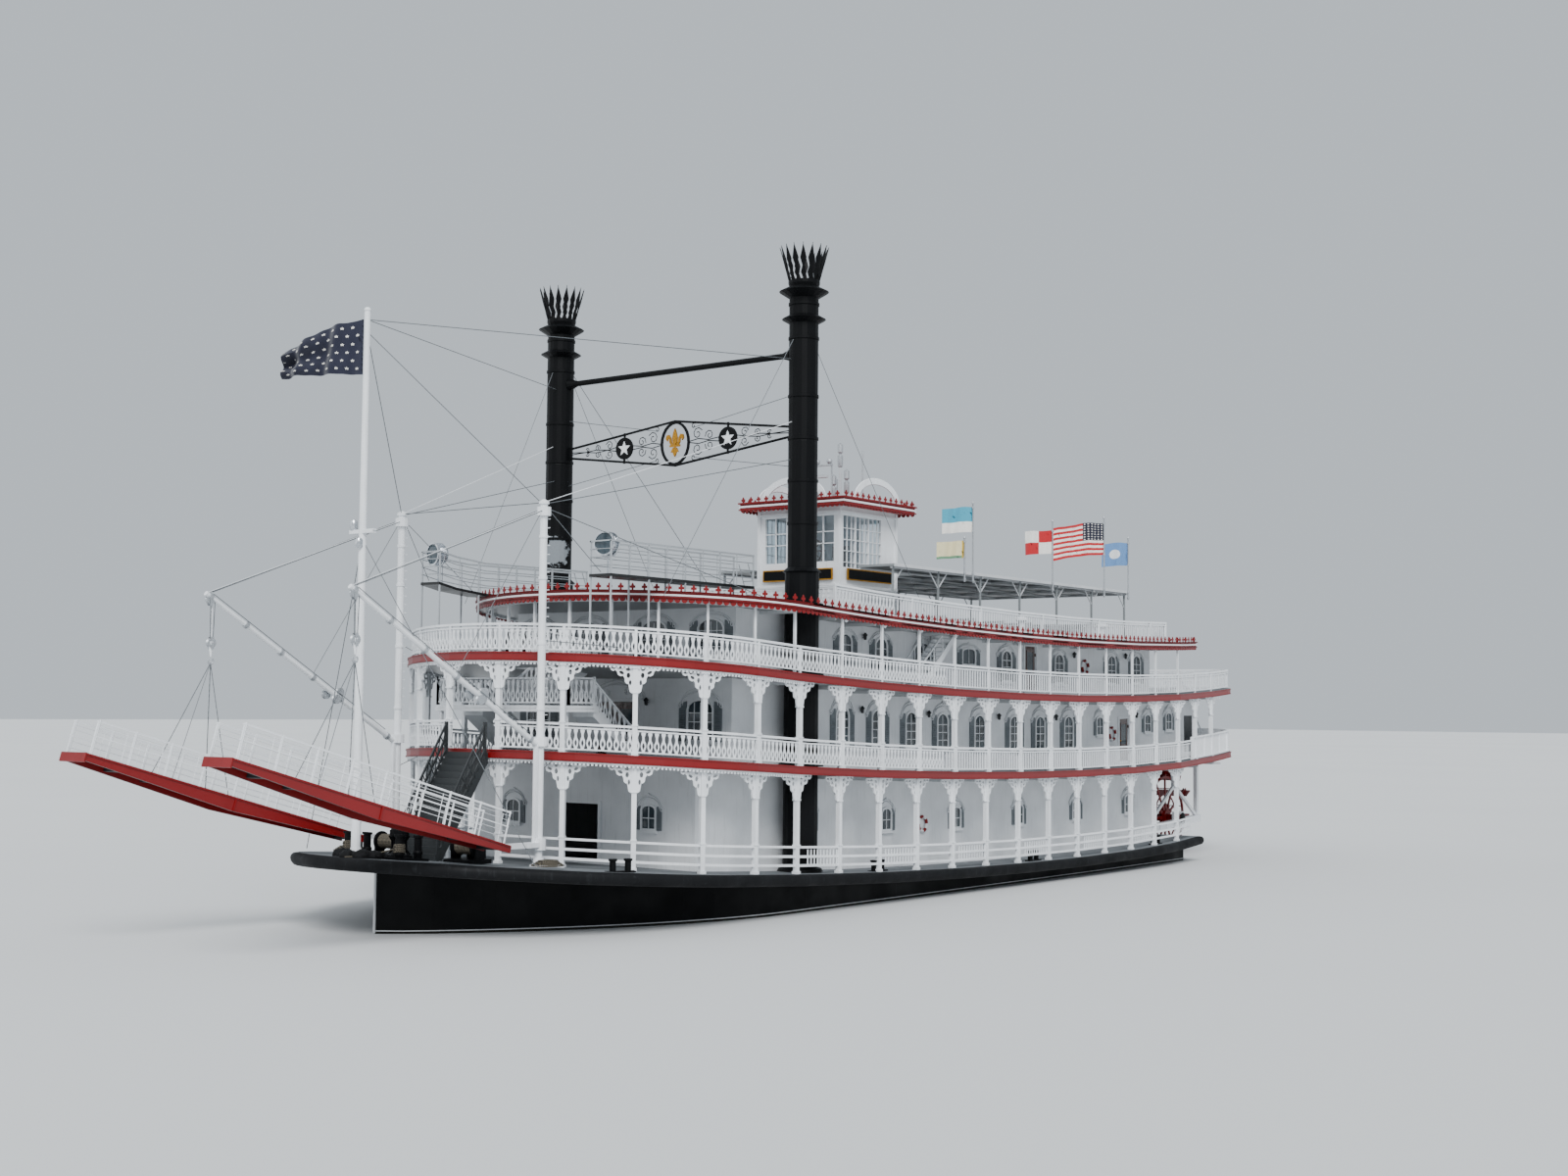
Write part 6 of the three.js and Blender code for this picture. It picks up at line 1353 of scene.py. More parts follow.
class BOAT_OT_stacks(Operator):
    """Add the stacks' rings and plumes, the scrolls, stars and lily between them, and the wire guys"""

    bl_idname = "boat.stacks"
    bl_label = "Stack details"

    def execute(self, context):
        bm = bmesh.new()
        stamp(bm, turned(rect(0.54, -0.05, 0.585, 0.05), 32),
              [at(0, STACK_Y, z) for z in (14.4, 16.0, 17.6, 19.2, 21.4, 22.7)])
        stamp(bm, turned([(0.6, 0.004), (0.86, 0.004), (0.8, 0.12), (0.66, 0.16), (0.6, 0.16)], 32),
              [on(0, STACK_Y, deck, 0.02) for deck in (MAIN, FIRST, SECOND, ROOF)])
        finish("stack_rings", bm, "black stack paint", mirrored=True, smooth=40)

        bm = bmesh.new()
        plume = plate(both_halves([(0, 0), (0.1, 0.25), (0.04, 0.5), (0.12, 0.8), (0, 1.32)]), 0.03)
        lean = at(0, -0.56) @ Matrix.Rotation(0.27, 4, "X")
        stamp(bm, plume, [at(0, STACK_Y, 23.58, (k + 0.5) / 8 * pi) @ lean for k in range(16)])
        finish("stack_plumes", bm, "black stack paint", mirrored=True)

        z = 17.93
        curls = [scroll((u, v), wide, wide * 0.2, start, turn, 10) for u, v, wide, start, turn in (
            (1.15, 0.3, 0.26, 0.5, 8), (1.75, 0.2, 0.22, 3.4, -8), (3.5, 0.18, 0.2, 0.3, 8),
            (4.15, 0.12, 0.15, 3.3, -8), (4.7, 0.08, 0.1, 0.3, 7), (0.95, 0.62, 0.12, 1, 6))]
        curls += [((0.72, 0.02), (1.2, 0.1), (1.7, 0.02), (2.25, 0.08)),
                  ((3.12, 0.08), (3.6, 0), (4.2, 0.06), (4.8, 0), (5.6, 0.04))]
        bm = bmesh.new()
        tubes(bm, [[(0, u, z + up * v) for u, v in line] for line in curls for up in BOTH], 0.02)
        finish("stack_ornament_scrolls", bm, "black stack paint", mirrored=True)

        bm = bmesh.new()
        stamp(bm, plate(star(0.35, 0.145), 0.05), [at(0, side * 2.68, z, QUARTER) for side in BOTH])
        finish("ornament_stars", bm)

        bm = bmesh.new()
        petal = both_halves([(0, -0.1), (0.09, 0), (0.13, 0.2), (0.07, 0.42), (0, 0.58)])
        wing = [(0.05, -0.08), (0.16, 0.02), (0.2, 0.2), (0.3, 0.34), (0.42, 0.32), (0.46, 0.18),
                (0.38, 0.08), (0.36, 0.18), (0.28, 0.16), (0.27, 0.02), (0.16, -0.12)]
        foot = both_halves([(0, -0.16), (0.1, -0.2), (0.2, -0.38), (0.1, -0.36), (0.06, -0.46), (0, -0.56)])
        for outline in (petal, wing, [(-u, v) for u, v in wing], foot, rect(-0.26, -0.16, 0.26, -0.08)):
            stamp(bm, plate(outline, 0.07), [at(0.01, 0, z + 0.02, QUARTER)])
        finish("ornament_lily", bm, "gold leaf")

        wires, feet = [], ((-7.8, 6.9, 11.1), (6.4, 5.0, 11.4), (-6.4, 2.0, 11.0))
        for side in BOTH:
            y, near = side * STACK_Y, side * STACK_Y * 0.97
            wires += [[(0.2 if x > 0 else -0.2, y, 21.9), (x, side * out, low)] for x, out, low in feet]
            wires += [[(0, side * 5.75, 19.3), (0, side, 18.5)], [(0, side * 5.75, 16.6), (0, side, 17.3)],
                      [(0.4, near, 20.6), (STAFF_X, 0, 20.2)],
                      [(0.4, near, 16.8), (MAST_X, side * MAST_Y, MAST_HEAD)]]
        bm = bmesh.new()
        tubes(bm, wires, context.scene.boat_sizes.wire)
        finish("stack_wires", bm, "steel wire rope")
        return {"FINISHED"}


class BOAT_OT_boom_gear(Operator):
    """Add the booms' lines, blocks and bands, and the bridles down to the landing stages"""

    bl_idname = "boat.boom_gear"
    bl_label = "Boom gear"

    def execute(self, context):
        wire = context.scene.boat_sizes.wire
        for name, side in SIDES.items():
            def by(x, y, z):
                return Vector((x, side * MAST_Y + y, z))

            heel, tip = by(11.2, 0, 6.25), by(19.2, 0, 11.06)
            boom = "boom_" + name + "_body"
            wires = [[by(11.15, y, 14.05), by(19, y * 0.6, 11.1)] for y in (-0.12, 0.12)]
            wires += [[by(11.15, 0, 13.9), heel.lerp(tip, 0.45) + UP * 0.08]]
            wires += [[by(18.95 + x, y, 10.95), by(18.95 + x * 0.6, y * 0.6, 9.5)]
                      for x, y in ((-0.08, 0.05), (0.08, 0.05), (0, -0.08))]
            wires += [[heel.lerp(tip, 0.05) + Vector((0, 0.1, 0.14)),
                       heel.lerp(tip, 0.97) + Vector((0, 0.1, 0.12))]]
            bm = bmesh.new()
            tubes(bm, wires, wire)
            finish("boom_lines_" + name, bm, "steel wire rope", body=boom)

            bm = bmesh.new()
            turn = (tip - heel).to_track_quat("Z", "Y").to_matrix().to_4x4()
            stamp(bm, turned(rect(0.09, -0.06, 0.125, 0.06), 16),
                  [at(*heel.lerp(tip, part)) @ turn for part in (0.03, 0.3, 0.45, 0.62, 0.8, 0.98)])
            sheave = turned([(0, -0.06), (0.16, -0.06), (0.12, -0.02), (0.12, 0.02), (0.16, 0.06),
                             (0, 0.06)], 16)
            spots = [by(19.02, 0, 10.86), by(18.95, 0, 9.45),
                     heel.lerp(tip, 0.33) + Vector((0, 0.12, -0.16)),
                     heel.lerp(tip, 0.36) + Vector((0, -0.14, -0.14)), heel.lerp(tip, 0.3) + UP * 0.22]
            stamp(bm, sheave, [at(*spot) @ ON_SIDE for spot in spots])
            for spot in spots[:2]:
                for y in (-0.08, 0.08):
                    block(bm, spot + Vector((-0.05, y - 0.01, -0.2)), spot + Vector((0.05, y + 0.01, 0.2)))
            tubes(bm, [hoop((18.95, side * MAST_Y, 8.86), 0.1, "Y", 9, 0.6, -4.6)], 0.03, 1)
            finish("boom_blocks_" + name, bm, "galvanised steel", body=boom, smooth=40)

            bm = bmesh.new()
            hang = by(18.95, 0, 8.8)
            tubes(bm, [[hang, on_stage(side, x, y, 0.02)] for x in (6.1, 8.3) for y in (-0.6, 0.6)], wire)
            bridle = finish("bridle_" + name, bm, "steel wire rope", body=None)
            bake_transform(bridle)
        return {"FINISHED"}


class BOAT_OT_landing_stages(Operator):
    """Add the stanchions, lines, cleats and edge bars of the landing stages"""

    bl_idname = "boat.landing_stages"
    bl_label = "Landing stages"

    def execute(self, context):
        posts = [0.49 + k * 1.35 for k in range(9)]
        for name, side in SIDES.items():
            body = "stage_" + name + "_body"
            turn = at(*on_stage(side, 0, 0, 0)) @ Matrix.Rotation(-STAGE_SLOPE, 4, "Y")
            # Each line of the rails: its ends along the stage, their heights and its radius.
            lines = [(0.45, up, 11.35, up, 0.008) for up in (0.22, 0.42, 0.78, 0.93)]
            lines += [(0.45, 1.06, 11.35, 1.06, 0.022)] + [(x, 0, x, 1.09, 0.03) for x in posts]
            lines += [(x + 0.3, 0, x + 0.3, 0.95, 0.014) for x in posts[:-1]]
            lines += [(posts[-1], 0.5, posts[-1], 1, 0.014)]
            bm = bmesh.new()
            for x0, z0, x1, z1, radius in lines:
                for y in (-0.615, 0.615):
                    tubes(bm, [[turn @ Vector((x0, y, z0)), turn @ Vector((x1, y, z1))]], radius)
            finish("stage_stanchions_" + name, bm, body=body)

            bm = bmesh.new()
            for way in BOTH:
                block(bm, (0.2, way * 0.65 - 0.02, -0.035), (11.49, way * 0.65 + 0.02, 0.02), turn)
                block(bm, (5.75, way * 0.645 - 0.02, -0.42), (5.82, way * 0.645 + 0.02, 0.02), turn)
            block(bm, (11.45, -0.66, -0.26), (11.5, 0.66, 0.03), turn)
            finish("stage_edge_bars_" + name, bm, "red gloss enamel", body=body)

            bm = bmesh.new()
            for x in (0.7 + k * 0.36 for k in range(30)):
                block(bm, (x, -0.54, 0.008), (x + 0.05, 0.54, 0.03), turn)
            for x in posts[:-1]:
                block(bm, (x - 0.05, -0.56, -0.2), (x + 0.05, 0.56, -0.06), turn)
            finish("stage_cleats_" + name, bm, "dark grey steel paint", body=body)
        return {"FINISHED"}


class BOAT_OT_bow_gear(Operator):
    """Add the winches, ropes, covered bundle, mast fittings, lights and rigging of the bow"""

    bl_idname = "boat.bow_gear"
    bl_label = "Bow gear"

    def execute(self, context):
        deck = MAIN + sheer(14)
        bm = bmesh.new()
        drum = turned([(0, -0.5), (0.34, -0.5), (0.34, -0.44), (0.2, -0.4), (0.2, 0.4), (0.34, 0.44),
                       (0.34, 0.5), (0, 0.5)], 20)
        post = turned([(0.1, 0), (0.14, 0), (0.14, 0.16), (0.16, 0.2), (0.16, 0.26), (0.14, 0.3),
                       (0.1, 0.3)], 16)
        for side in BOTH:
            y = side * 1.9
            stamp(bm, drum, [at(12.6, y, deck + 0.42) @ ON_SIDE])
            stamp(bm, post, [at(x, side * 1.25, deck + 0.05) for x in (14.2, 15.0)])
            block(bm, (12.1, y - 0.62, deck - 0.12), (13.1, y + 0.62, deck + 0.03))
            for end in (y - 0.56, y + 0.56):
                block(bm, (12.4, end - 0.04, deck), (12.8, end + 0.04, deck + 0.5))
            block(bm, (12.05, y - 0.3, deck), (12.35, y + 0.3, deck + 0.45))
        rings = [hoop((13.9, 0, deck + rise), radius, "Z", 8)[1:]
                 for radius, rise in ((0.36, 0.14), (0.24, 0.3), (0.23, 0.6), (0.33, 0.76))]
        tubes(bm, list(zip(*rings)), 0.03)
        stamp(bm, turned([(0, 0.95), (0.3, 0.95), (0.26, 1.03), (0.1, 1.08), (0, 1.08)], 20),
              [at(13.9, 0, deck)])
        finish("winches", bm, "black stack paint", smooth=40)

        bm = bmesh.new()
        coils = [[(15, 1.1, deck + 0.45), (15.9, 0.75, deck + 0.25), (16.45, 0.3, deck + 0.22)]]
        for side in BOTH:
            for k in range(5):
                loop = hoop((15, side * 1.25, deck + 0.36 + k * 0.055), 0.165 + 0.01 * (k % 2), "Z", 16)
                coils.append([p + UP * 0.02 * sin(i * pi / 4) for i, p in enumerate(loop)])
            coils += [hoop((11.9, side * 4.9, deck + 0.045 * k - 0.06), 0.52 - 0.07 * k, "Z", 20)
                      for k in range(4)]
            coils += [hoop((12.6, side * 1.9 - 0.38 + k * 0.069, deck + 0.42), 0.23, "Y", 14)
                      for k in range(12)]
        tubes(bm, coils, 0.026, 1)
        finish("mooring_ropes", bm, "laid rope", smooth=60)

        bm = bmesh.new()
        rng = random.Random(7)
        for x, y, r in ((15.95, 0.55, 0.3), (15.9, -0.5, 0.27), (16.15, 0.1, 0.26), (15.6, 0.75, 0.24),
                        (15.5, -0.8, 0.22)):
            place = at(x, y, deck + 0.22) @ Matrix.Diagonal((1.2, 1.0, 0.8, 1))
            for vert in bmesh.ops.create_icosphere(bm, subdivisions=3, radius=r, matrix=place)["verts"]:
                vert.co += Vector([rng.uniform(-0.025, 0.025) for _ in range(3)])
        finish("covered_bundle", bm, "black cover cloth", smooth=60)

        bm = bmesh.new()
        heels = [on(STAFF_X, 0, MAIN, 0.02)] + [on(MAST_X, side * MAST_Y, MAIN, 0.01) for side in BOTH]
        stamp(bm, turned([(0.16, 0), (0.3, 0), (0.3, 0.05), (0.2, 0.09), (0.17, 0.3), (0.15, 0.3)], 20),
              heels)
        stamp(bm, turned([(0, 0), (0.08, 0.02), (0.12, 0.1), (0.08, 0.18), (0, 0.2)], 14),
              [at(STAFF_X, 0, 20.42)])
        cuff, x = turned(rect(0.12, -0.05, 0.155, 0.05), 20), MAST_X - 0.13
        for y in (MAST_Y, -MAST_Y):
            stamp(bm, cuff, [at(MAST_X, y, z) for z in (7.4, 9.6, 11.8, 13.2)])
            for z in (6.9 + 0.3 * k for k in range(24)):
                bar(bm, (x, y - 0.17, z), (x, y + 0.17, z), 0.025, 0.025)
        block(bm, (15.68, -0.6, 13.19), (15.82, 0.6, 13.23))
        finish("mast_fittings", bm, smooth=40)

        bm = bmesh.new()
        lamp = turned([(0, 0), (0.1, 0.0), (0.13, 0.05), (0.13, 0.26), (0.1, 0.33), (0, 0.36)], 14)
        stamp(bm, lamp, [at(STAFF_X, -0.45, 13.22), at(15.9, 0, 12.6)])
        finish("masthead_lights", bm, "polished lamp steel", smooth=40)

        bm = bmesh.new()
        wires = [[(MAST_X, MAST_Y, 14.35), (MAST_X, -MAST_Y, 14.35)]]
        for way in BOTH:
            mast, staff = (MAST_X, way * MAST_Y), (STAFF_X, 0)
            wires += [[(*mast, 14.3), (8.9, way * 4.3, 12.1)], [(*mast, 14.2), (2.8, way * 7.2, 11.3)],
                      [(*mast, 14.25), (*staff, 19.8)], [(*mast, 9.7), (6.6, way * 6.9, 9.3)],
                      [(*mast, 5.3), (9.6, way * 3.2, 5.9)],
                      [(*staff, 12.9), (13.2, way * 5.6, MAIN + sheer(13.2) + 0.1)]]
        tubes(bm, wires, context.scene.boat_sizes.wire)
        finish("bow_rigging", bm, "steel wire rope")
        return {"FINISHED"}


class BOAT_OT_catwalk_gear(Operator):
    """Add the catwalks' rails and ladders, and the searchlights on them"""

    bl_idname = "boat.catwalk_gear"
    bl_label = "Catwalk gear"

    def execute(self, context):
        bm, lamps, glass = bmesh.new(), bmesh.new(), bmesh.new()
        drum = turned([(0, -0.34), (0.12, -0.34), (0.2, -0.28), (0.34, -0.22), (0.4, -0.1), (0.4, 0.2),
                       (0.43, 0.2), (0.43, 0.27), (0.37, 0.27), (0.37, 0.2), (0, 0.16)], 28)
        cover = turned([(0, 0.21), (0.37, 0.21), (0.37, 0.235), (0.2, 0.26), (0, 0.27)], 28)
        rib = turned(rect(0.4, -0.005, 0.425, 0.005), 28)
        for side in BOTH:
            # The starboard floor dips; the port one is level.
            depth = 0.0 if side > 0 else 0.32
            floor = [(8.9 - back, 12.05 - depth * share)
                     for back, share in ((0, 0), (0.9, 0.55), (2.4, 1), (8, 0.9))]
            for y in (side * 3.78, side * 4.72):
                for up, radius in ((0.3, 0.016), (0.58, 0.016), (0.86, 0.016), (1.15, 0.026)):
                    tubes(bm, [[(x, y, z + up) for x, z in floor]], radius)
                for x in (8.85 - k * 0.9875 for k in range(9)):
                    i = max(j for j in range(3) if floor[j][0] >= x - 1e-6)
                    (x0, z0), (x1, z1) = floor[i], floor[i + 1]
                    z = z0 + (x - x0) / (x1 - x0) * (z1 - z0)
                    tubes(bm, [[(x, y, z), (x, y, z + 1.15)]], 0.022)
            for z in (12.35, 12.63, 12.91, 13.2):
                tubes(bm, [[(8.85, side * 3.78, z), (8.85, side * 4.72, z)]], 0.018)
            y0, y1 = side * 4.25 - 0.22, side * 4.25 + 0.22
            tubes(bm, [[(0.25, y, ROOF + sheer(0.2) + 0.02), (0.95, y, 12.9)] for y in (y0, y1)], 0.022)
            for part in ((k + 1) / 6.5 for k in range(4)):
                x, z = 0.25 + 0.7 * part, ROOF + 0.5 + (12.4 - ROOF) * part
                tubes(bm, [[(x, y0, z), (x, y1, z)]], 0.018)
            place = at(8.5, side * 4.25, 13.1, side * 0.18)
            facing = place @ AHEAD
            stamp(lamps, drum, [facing])
            stamp(glass, cover, [facing])
            stamp(lamps, rib, [facing @ at(0, 0, 0.05 * k - 0.08) for k in range(5)])
            yoke = [hoop((0, 0, 0), 0.46, "X", 12, 0, -pi), [Vector((0, 0, -0.46)), Vector((0, 0, -1.05))]]
            tubes(lamps, [[place @ p for p in line] for line in yoke], 0.03, 1)
        finish("catwalk_lines", bm, "galvanised steel")
        finish("searchlights", lamps, "polished lamp steel", smooth=40)
        finish("searchlight_lenses", glass, "dark window glass", smooth=40)
        return {"FINISHED"}


class BOAT_OT_canopy_frame(Operator):
    """Add the canopy's beams, edge bars and braces, and the benches and lockers on the roof"""

    bl_idname = "boat.canopy_frame"
    bl_label = "Canopy frame"

    def execute(self, context):
        front, aft, half, z = -8.6, -30.0, 4.7, 13.45
        bm = bmesh.new()
        for x in (front - 0.2 - k * (front - aft - 0.4) / 6 for k in range(7)):
            if x < -13.7:
                block(bm, (x - 0.04, 0.05 - half, z - 0.11), (x + 0.04, half - 0.05, z - 0.002))
            for y in (0.2 - half, half - 0.2):
                for end in (x - 0.7, x + 0.7):
                    if front > end > aft:
                        bar(bm, (x, y, z - 0.75), (end, y, z - 0.06), 0.04, 0.04)
        for rows, end, low, high in (((-4.5, -2.95, 2.95, 4.5), front - 0.05, 0.08, 0.003),
                                     ((-1.4, 0, 1.4), -13.75, 0.07, 0.004)):
            for y in rows:
                block(bm, (aft + 0.05, y - 0.03, z - low), (end, y + 0.03, z - high))
        edge = [Vector((x, y, z)) for x, y in ((front, -half), (aft, -half), (aft, half), (front, half))]
        sweep(bm, edge, strap(0.03, 0.13, 0.012, 0.05))
        finish("canopy_frame", bm, "light grey panel")

        bm = bmesh.new()
        for x in (-15.6 - 2.6 * k for k in range(6)):
            place = on(x, 2.1, ROOF)
            for k in range(3):
                u, up = 0.16 * k - 0.24, 0.55 + 0.14 * k
                block(bm, (u, -0.9, 0.42), (u + 0.12, 0.9, 0.46), place)
                block(bm, (0.27, -0.9, up), (0.31, 0.9, up + 0.1), place)
            for y in (-0.8, 0.8):
                block(bm, (-0.22, y - 0.03, 0.03), (-0.16, y + 0.03, 0.42), place)
                block(bm, (0.21, y - 0.03, 0.03), (0.28, y + 0.03, 0.95), place)
        finish("roof_benches", bm, mirrored=True)

        bm = bmesh.new()
        for x, y, half, wide, high in ((-31.2, 0, 0.7, 1.6, 0.9), (-3.4, 0, 0.9, 1.5, 0.7),
                                       (-6.2, 3.6, 0.5, 0.9, 0.6), (-6.2, -3.6, 0.5, 0.9, 0.6)):
            place = on(x, y, ROOF)
            size = place @ at(0, 0, high / 2 + 0.06) @ Matrix.Diagonal((2 * half, wide, high, 1))
            body = bmesh.ops.create_cube(bm, size=1, matrix=size)["verts"]
            edges = list({e for v in body for e in v.link_edges})
            bmesh.ops.bevel(bm, geom=edges, offset=0.05, affect="EDGES", segments=2, profile=0.5,
                            material=-1)
            lid = Vector((half + 0.04, wide / 2 + 0.04, high + 0.1))
            block(bm, (-lid.x, -lid.y, high + 0.04), lid, place)
            for side in (-wide / 2 - 0.02, wide / 2 + 0.02):
                block(bm, (-0.04, side - 0.02, high * 0.7), (0.04, side + 0.02, high * 0.7 + 0.1), place)
        finish("roof_lockers", bm, "light grey panel", smooth=40)
        return {"FINISHED"}


def waved(u, v, hoist, fly, seed):
    """Where a point of flown cloth stands, u along the fly and v up the hoist."""
    free = min(1.0, u * 1.6)
    aside = free * (0.11 * sin(u * 5.2 + seed + v * 0.6) + 0.045 * sin(u * 11 - seed * 2 + v * 1.7))
    sag = -0.045 * u * u + 0.02 * sin(u * 4 + seed) * v
    if seed == BOW_SEED:
        droop = (u / fly) ** 1.5
        aside = aside * (1 + droop * 1.2) + 0.22 * droop * sin(v * 5.5)
        sag -= droop * v * 0.42 - droop * 0.12 * (hoist - v)
    return Vector((u * 0.93, aside, v + sag))


def fly_flag(name, x, y, gap, top, hoist, fly, paint, seed):
    """A waved flag cut to hoist and fly, its near edge a gap away from the pole."""
    bm = bmesh.new()
    bmesh.ops.create_grid(bm, x_segments=max(14, round(fly * 14)), y_segments=10, size=0.5)
    layer = bm.loops.layers.uv.new("cut")
    for face in bm.faces:
        for loop in face.loops:
            loop[layer].uv = (loop.vert.co.x + 0.5, loop.vert.co.y + 0.5)
    place = at(x, y, 0, FLAG_TURN)
    for vert in bm.verts:
        u, v = (vert.co.x + 0.5) * fly, (vert.co.y + 0.5) * hoist
        vert.co = place @ (Vector((gap, 0, top - hoist)) + waved(u, v, hoist, fly, seed))
    area = sum(face.calc_area() for face in bm.faces)
    bmesh.ops.solidify(bm, geom=bm.faces[:], thickness=0.006)
    piece = finish(name + "_cloth", bm, paint, smooth=50, stands_for=(name,))


class BOAT_OT_flags(Operator):
    """Add the flags on their poles at the canopy and on the jackstaff"""

    bl_idname = "boat.flags"
    bl_label = "Flags"

    def execute(self, context):
        cuff = turned(rect(0.03, -0.04, 0.06, 0.04), 12)
        for seed, (name, (x, pole_top, top, hoist, fly, paint)) in enumerate(FLAGS.items()):
            bm = bmesh.new()
            pole = turned([(0, POLE_FOOT), (0.04, POLE_FOOT), (0.03, pole_top - 0.03), (0.055, pole_top),
                           (0.06, pole_top + 0.05), (0.03, pole_top + 0.1), (0, pole_top + 0.1)], 12)
            stamp(bm, pole, [at(x, POLE_Y)])
            stamp(bm, cuff, [at(x, POLE_Y, z) for z in (13.2, 13.5, top - 0.03, top - hoist + 0.03)])
            staff = finish(name + "_pole", bm, "galvanised steel", smooth=40, stands_for=(name,))
            fly_flag(name, x, POLE_Y, 0.03, top, hoist, fly, paint, 1.3 * seed)

        hoist, fly = BOW_FLAG_HOIST, BOW_FLAG_FLY
        fly_flag("flag_bow", STAFF_X, 0, BOW_FLAG_GAP, BOW_FLAG_TOP, hoist, fly, "navy flag cloth",
                 BOW_SEED)
        place, foot = at(STAFF_X, 0, 0, FLAG_TURN), BOW_FLAG_TOP - hoist
        bm = bmesh.new()
        for row in range(6):
            for col in range(8):
                u, v = 0.22 + col * 0.35 + 0.17 * (row % 2), 0.2 + row * 0.285
                for out in (-0.014, 0.014):
                    patch = bmesh.new()
                    patch.faces.new([patch.verts.new((a, 0, b)) for a, b in star(0.062, 0.027)])
                    bmesh.ops.triangulate(patch, faces=patch.faces)
                    bmesh.ops.solidify(patch, geom=patch.faces[:], thickness=0.004)
                    for vert in patch.verts:
                        here = waved(u + vert.co.x, v + vert.co.z, hoist, fly, BOW_SEED)
                        vert.co = place @ (Vector((BOW_FLAG_GAP, vert.co.y + out, foot)) + here)
                    bm.from_mesh(as_mesh(patch))
        finish("flag_bow_stars", bm, "white star cloth")
        return {"FINISHED"}


class BOAT_OT_stern(Operator):
    """Add the wheel's clamps, braces and caps, the trusses, and the frames of the bulwark"""

    bl_idname = "boat.stern"
    bl_label = "Stern details"

    def execute(self, context):
        bm = bmesh.new()
        frames = (-3.2, 0.0, 3.2)
        for y in frames:
            for k in range(12):
                turn = at(WHEEL_X, y, WHEEL_Z) @ Matrix.Rotation(k * pi / 6, 4, "Y")
                for out in (-0.06, 0.06):
                    block(bm, (2.28, out - 0.02, -0.1), (2.84, out + 0.02, 0.13), turn)
                block(bm, (0.3, -0.075, -0.09), (0.75, 0.075, 0.09), turn)
            tubes(bm, [hoop((WHEEL_X, y, WHEEL_Z), 1.25, "Y", 36)], 0.045, 1)
        braces = [hoop((WHEEL_X, y, WHEEL_Z), 2.1, "Y", 12, pi / 12)[1:] for y in frames]
        tubes(bm, list(zip(*braces)), 0.025)
        finish("wheel_clamps", bm, "red gloss enamel", body="paddle_wheel_body")

        bm = bmesh.new()
        cap = turned([(0, -0.03), (0.3, -0.03), (0.3, 0.0), (0.12, 0.06), (0, 0.06)], 20)
        for side in BOTH:
            stamp(bm, cap, [at(WHEEL_X, side * 4.24, WHEEL_Z) @ Matrix.Rotation(-side * QUARTER, 4, "X")])
        finish("shaft_caps", bm, "black stack paint", body="paddle_wheel_body", smooth=40)

        bm = bmesh.new()
        for x in (-32.9 - k * 0.82 for k in range(9)):
            foot = MAIN + sheer(x)
            for y in (3.78, 4.12):
                block(bm, (x - 0.03, y - 0.02, foot + 0.03), (x + 0.03, y + 0.02, foot + 0.34))
        bar(bm, (-33.5, 3.95, MAIN + sheer(-33.5) + 0.35), (-36.6, 3.95, 3.6), 0.12, 0.16)
        bar(bm, (-36.6, 3.95, 3.6), (-39.2, 3.95, MAIN + sheer(-39.2) + 0.36), 0.12, 0.16)
        block(bm, (-36.75, 3.85, 3.4), (-36.45, 4.05, FIRST_CEILING + sheer(-36.6) - 0.01))
        finish("wheel_truss", bm, mirrored=True)

        bm = bmesh.new()
        low = SECOND + sheer(-36)
        for k in range(4):
            x, a, b = -33.2 - 0.95 * k, low + (1.3, 0.1)[k % 2], low + (0.1, 1.3)[k % 2]
            bar(bm, (x, 2.3, a), (x - 0.95, 2.3, b), 0.05, 0.05)
        plain_rail(bm, (-33.2, 2.3, low), (-37.0, 2.3, low), (0.1, 1.3), (), 0, 0.06)
        plain_rail(bm, (-33.2, 2.3, low - 0.2), (-37.0, 2.3, low - 0.2), (), [k / 4 for k in range(5)],
                   1.53, post=0.06)
        finish("stern_truss_rails", bm, mirrored=True)

        bm = bmesh.new()
        run = run_of(DECK_PLAN, 0.1, front=BULWARK_X - 0.05)
        for up in (1.12, 0.08):
            sweep(bm, on_deck(run, FIRST, up), strap(0.1, 0.07))
        stamp(bm, plate(rect(-0.04, 0, 0.04, 1.1), 0.06), on_places(walk(run, 1.3, 0.4), FIRST, 0.02))
        finish("stern_bulwark_frames", bm, mirrored=True)
        return {"FINISHED"}


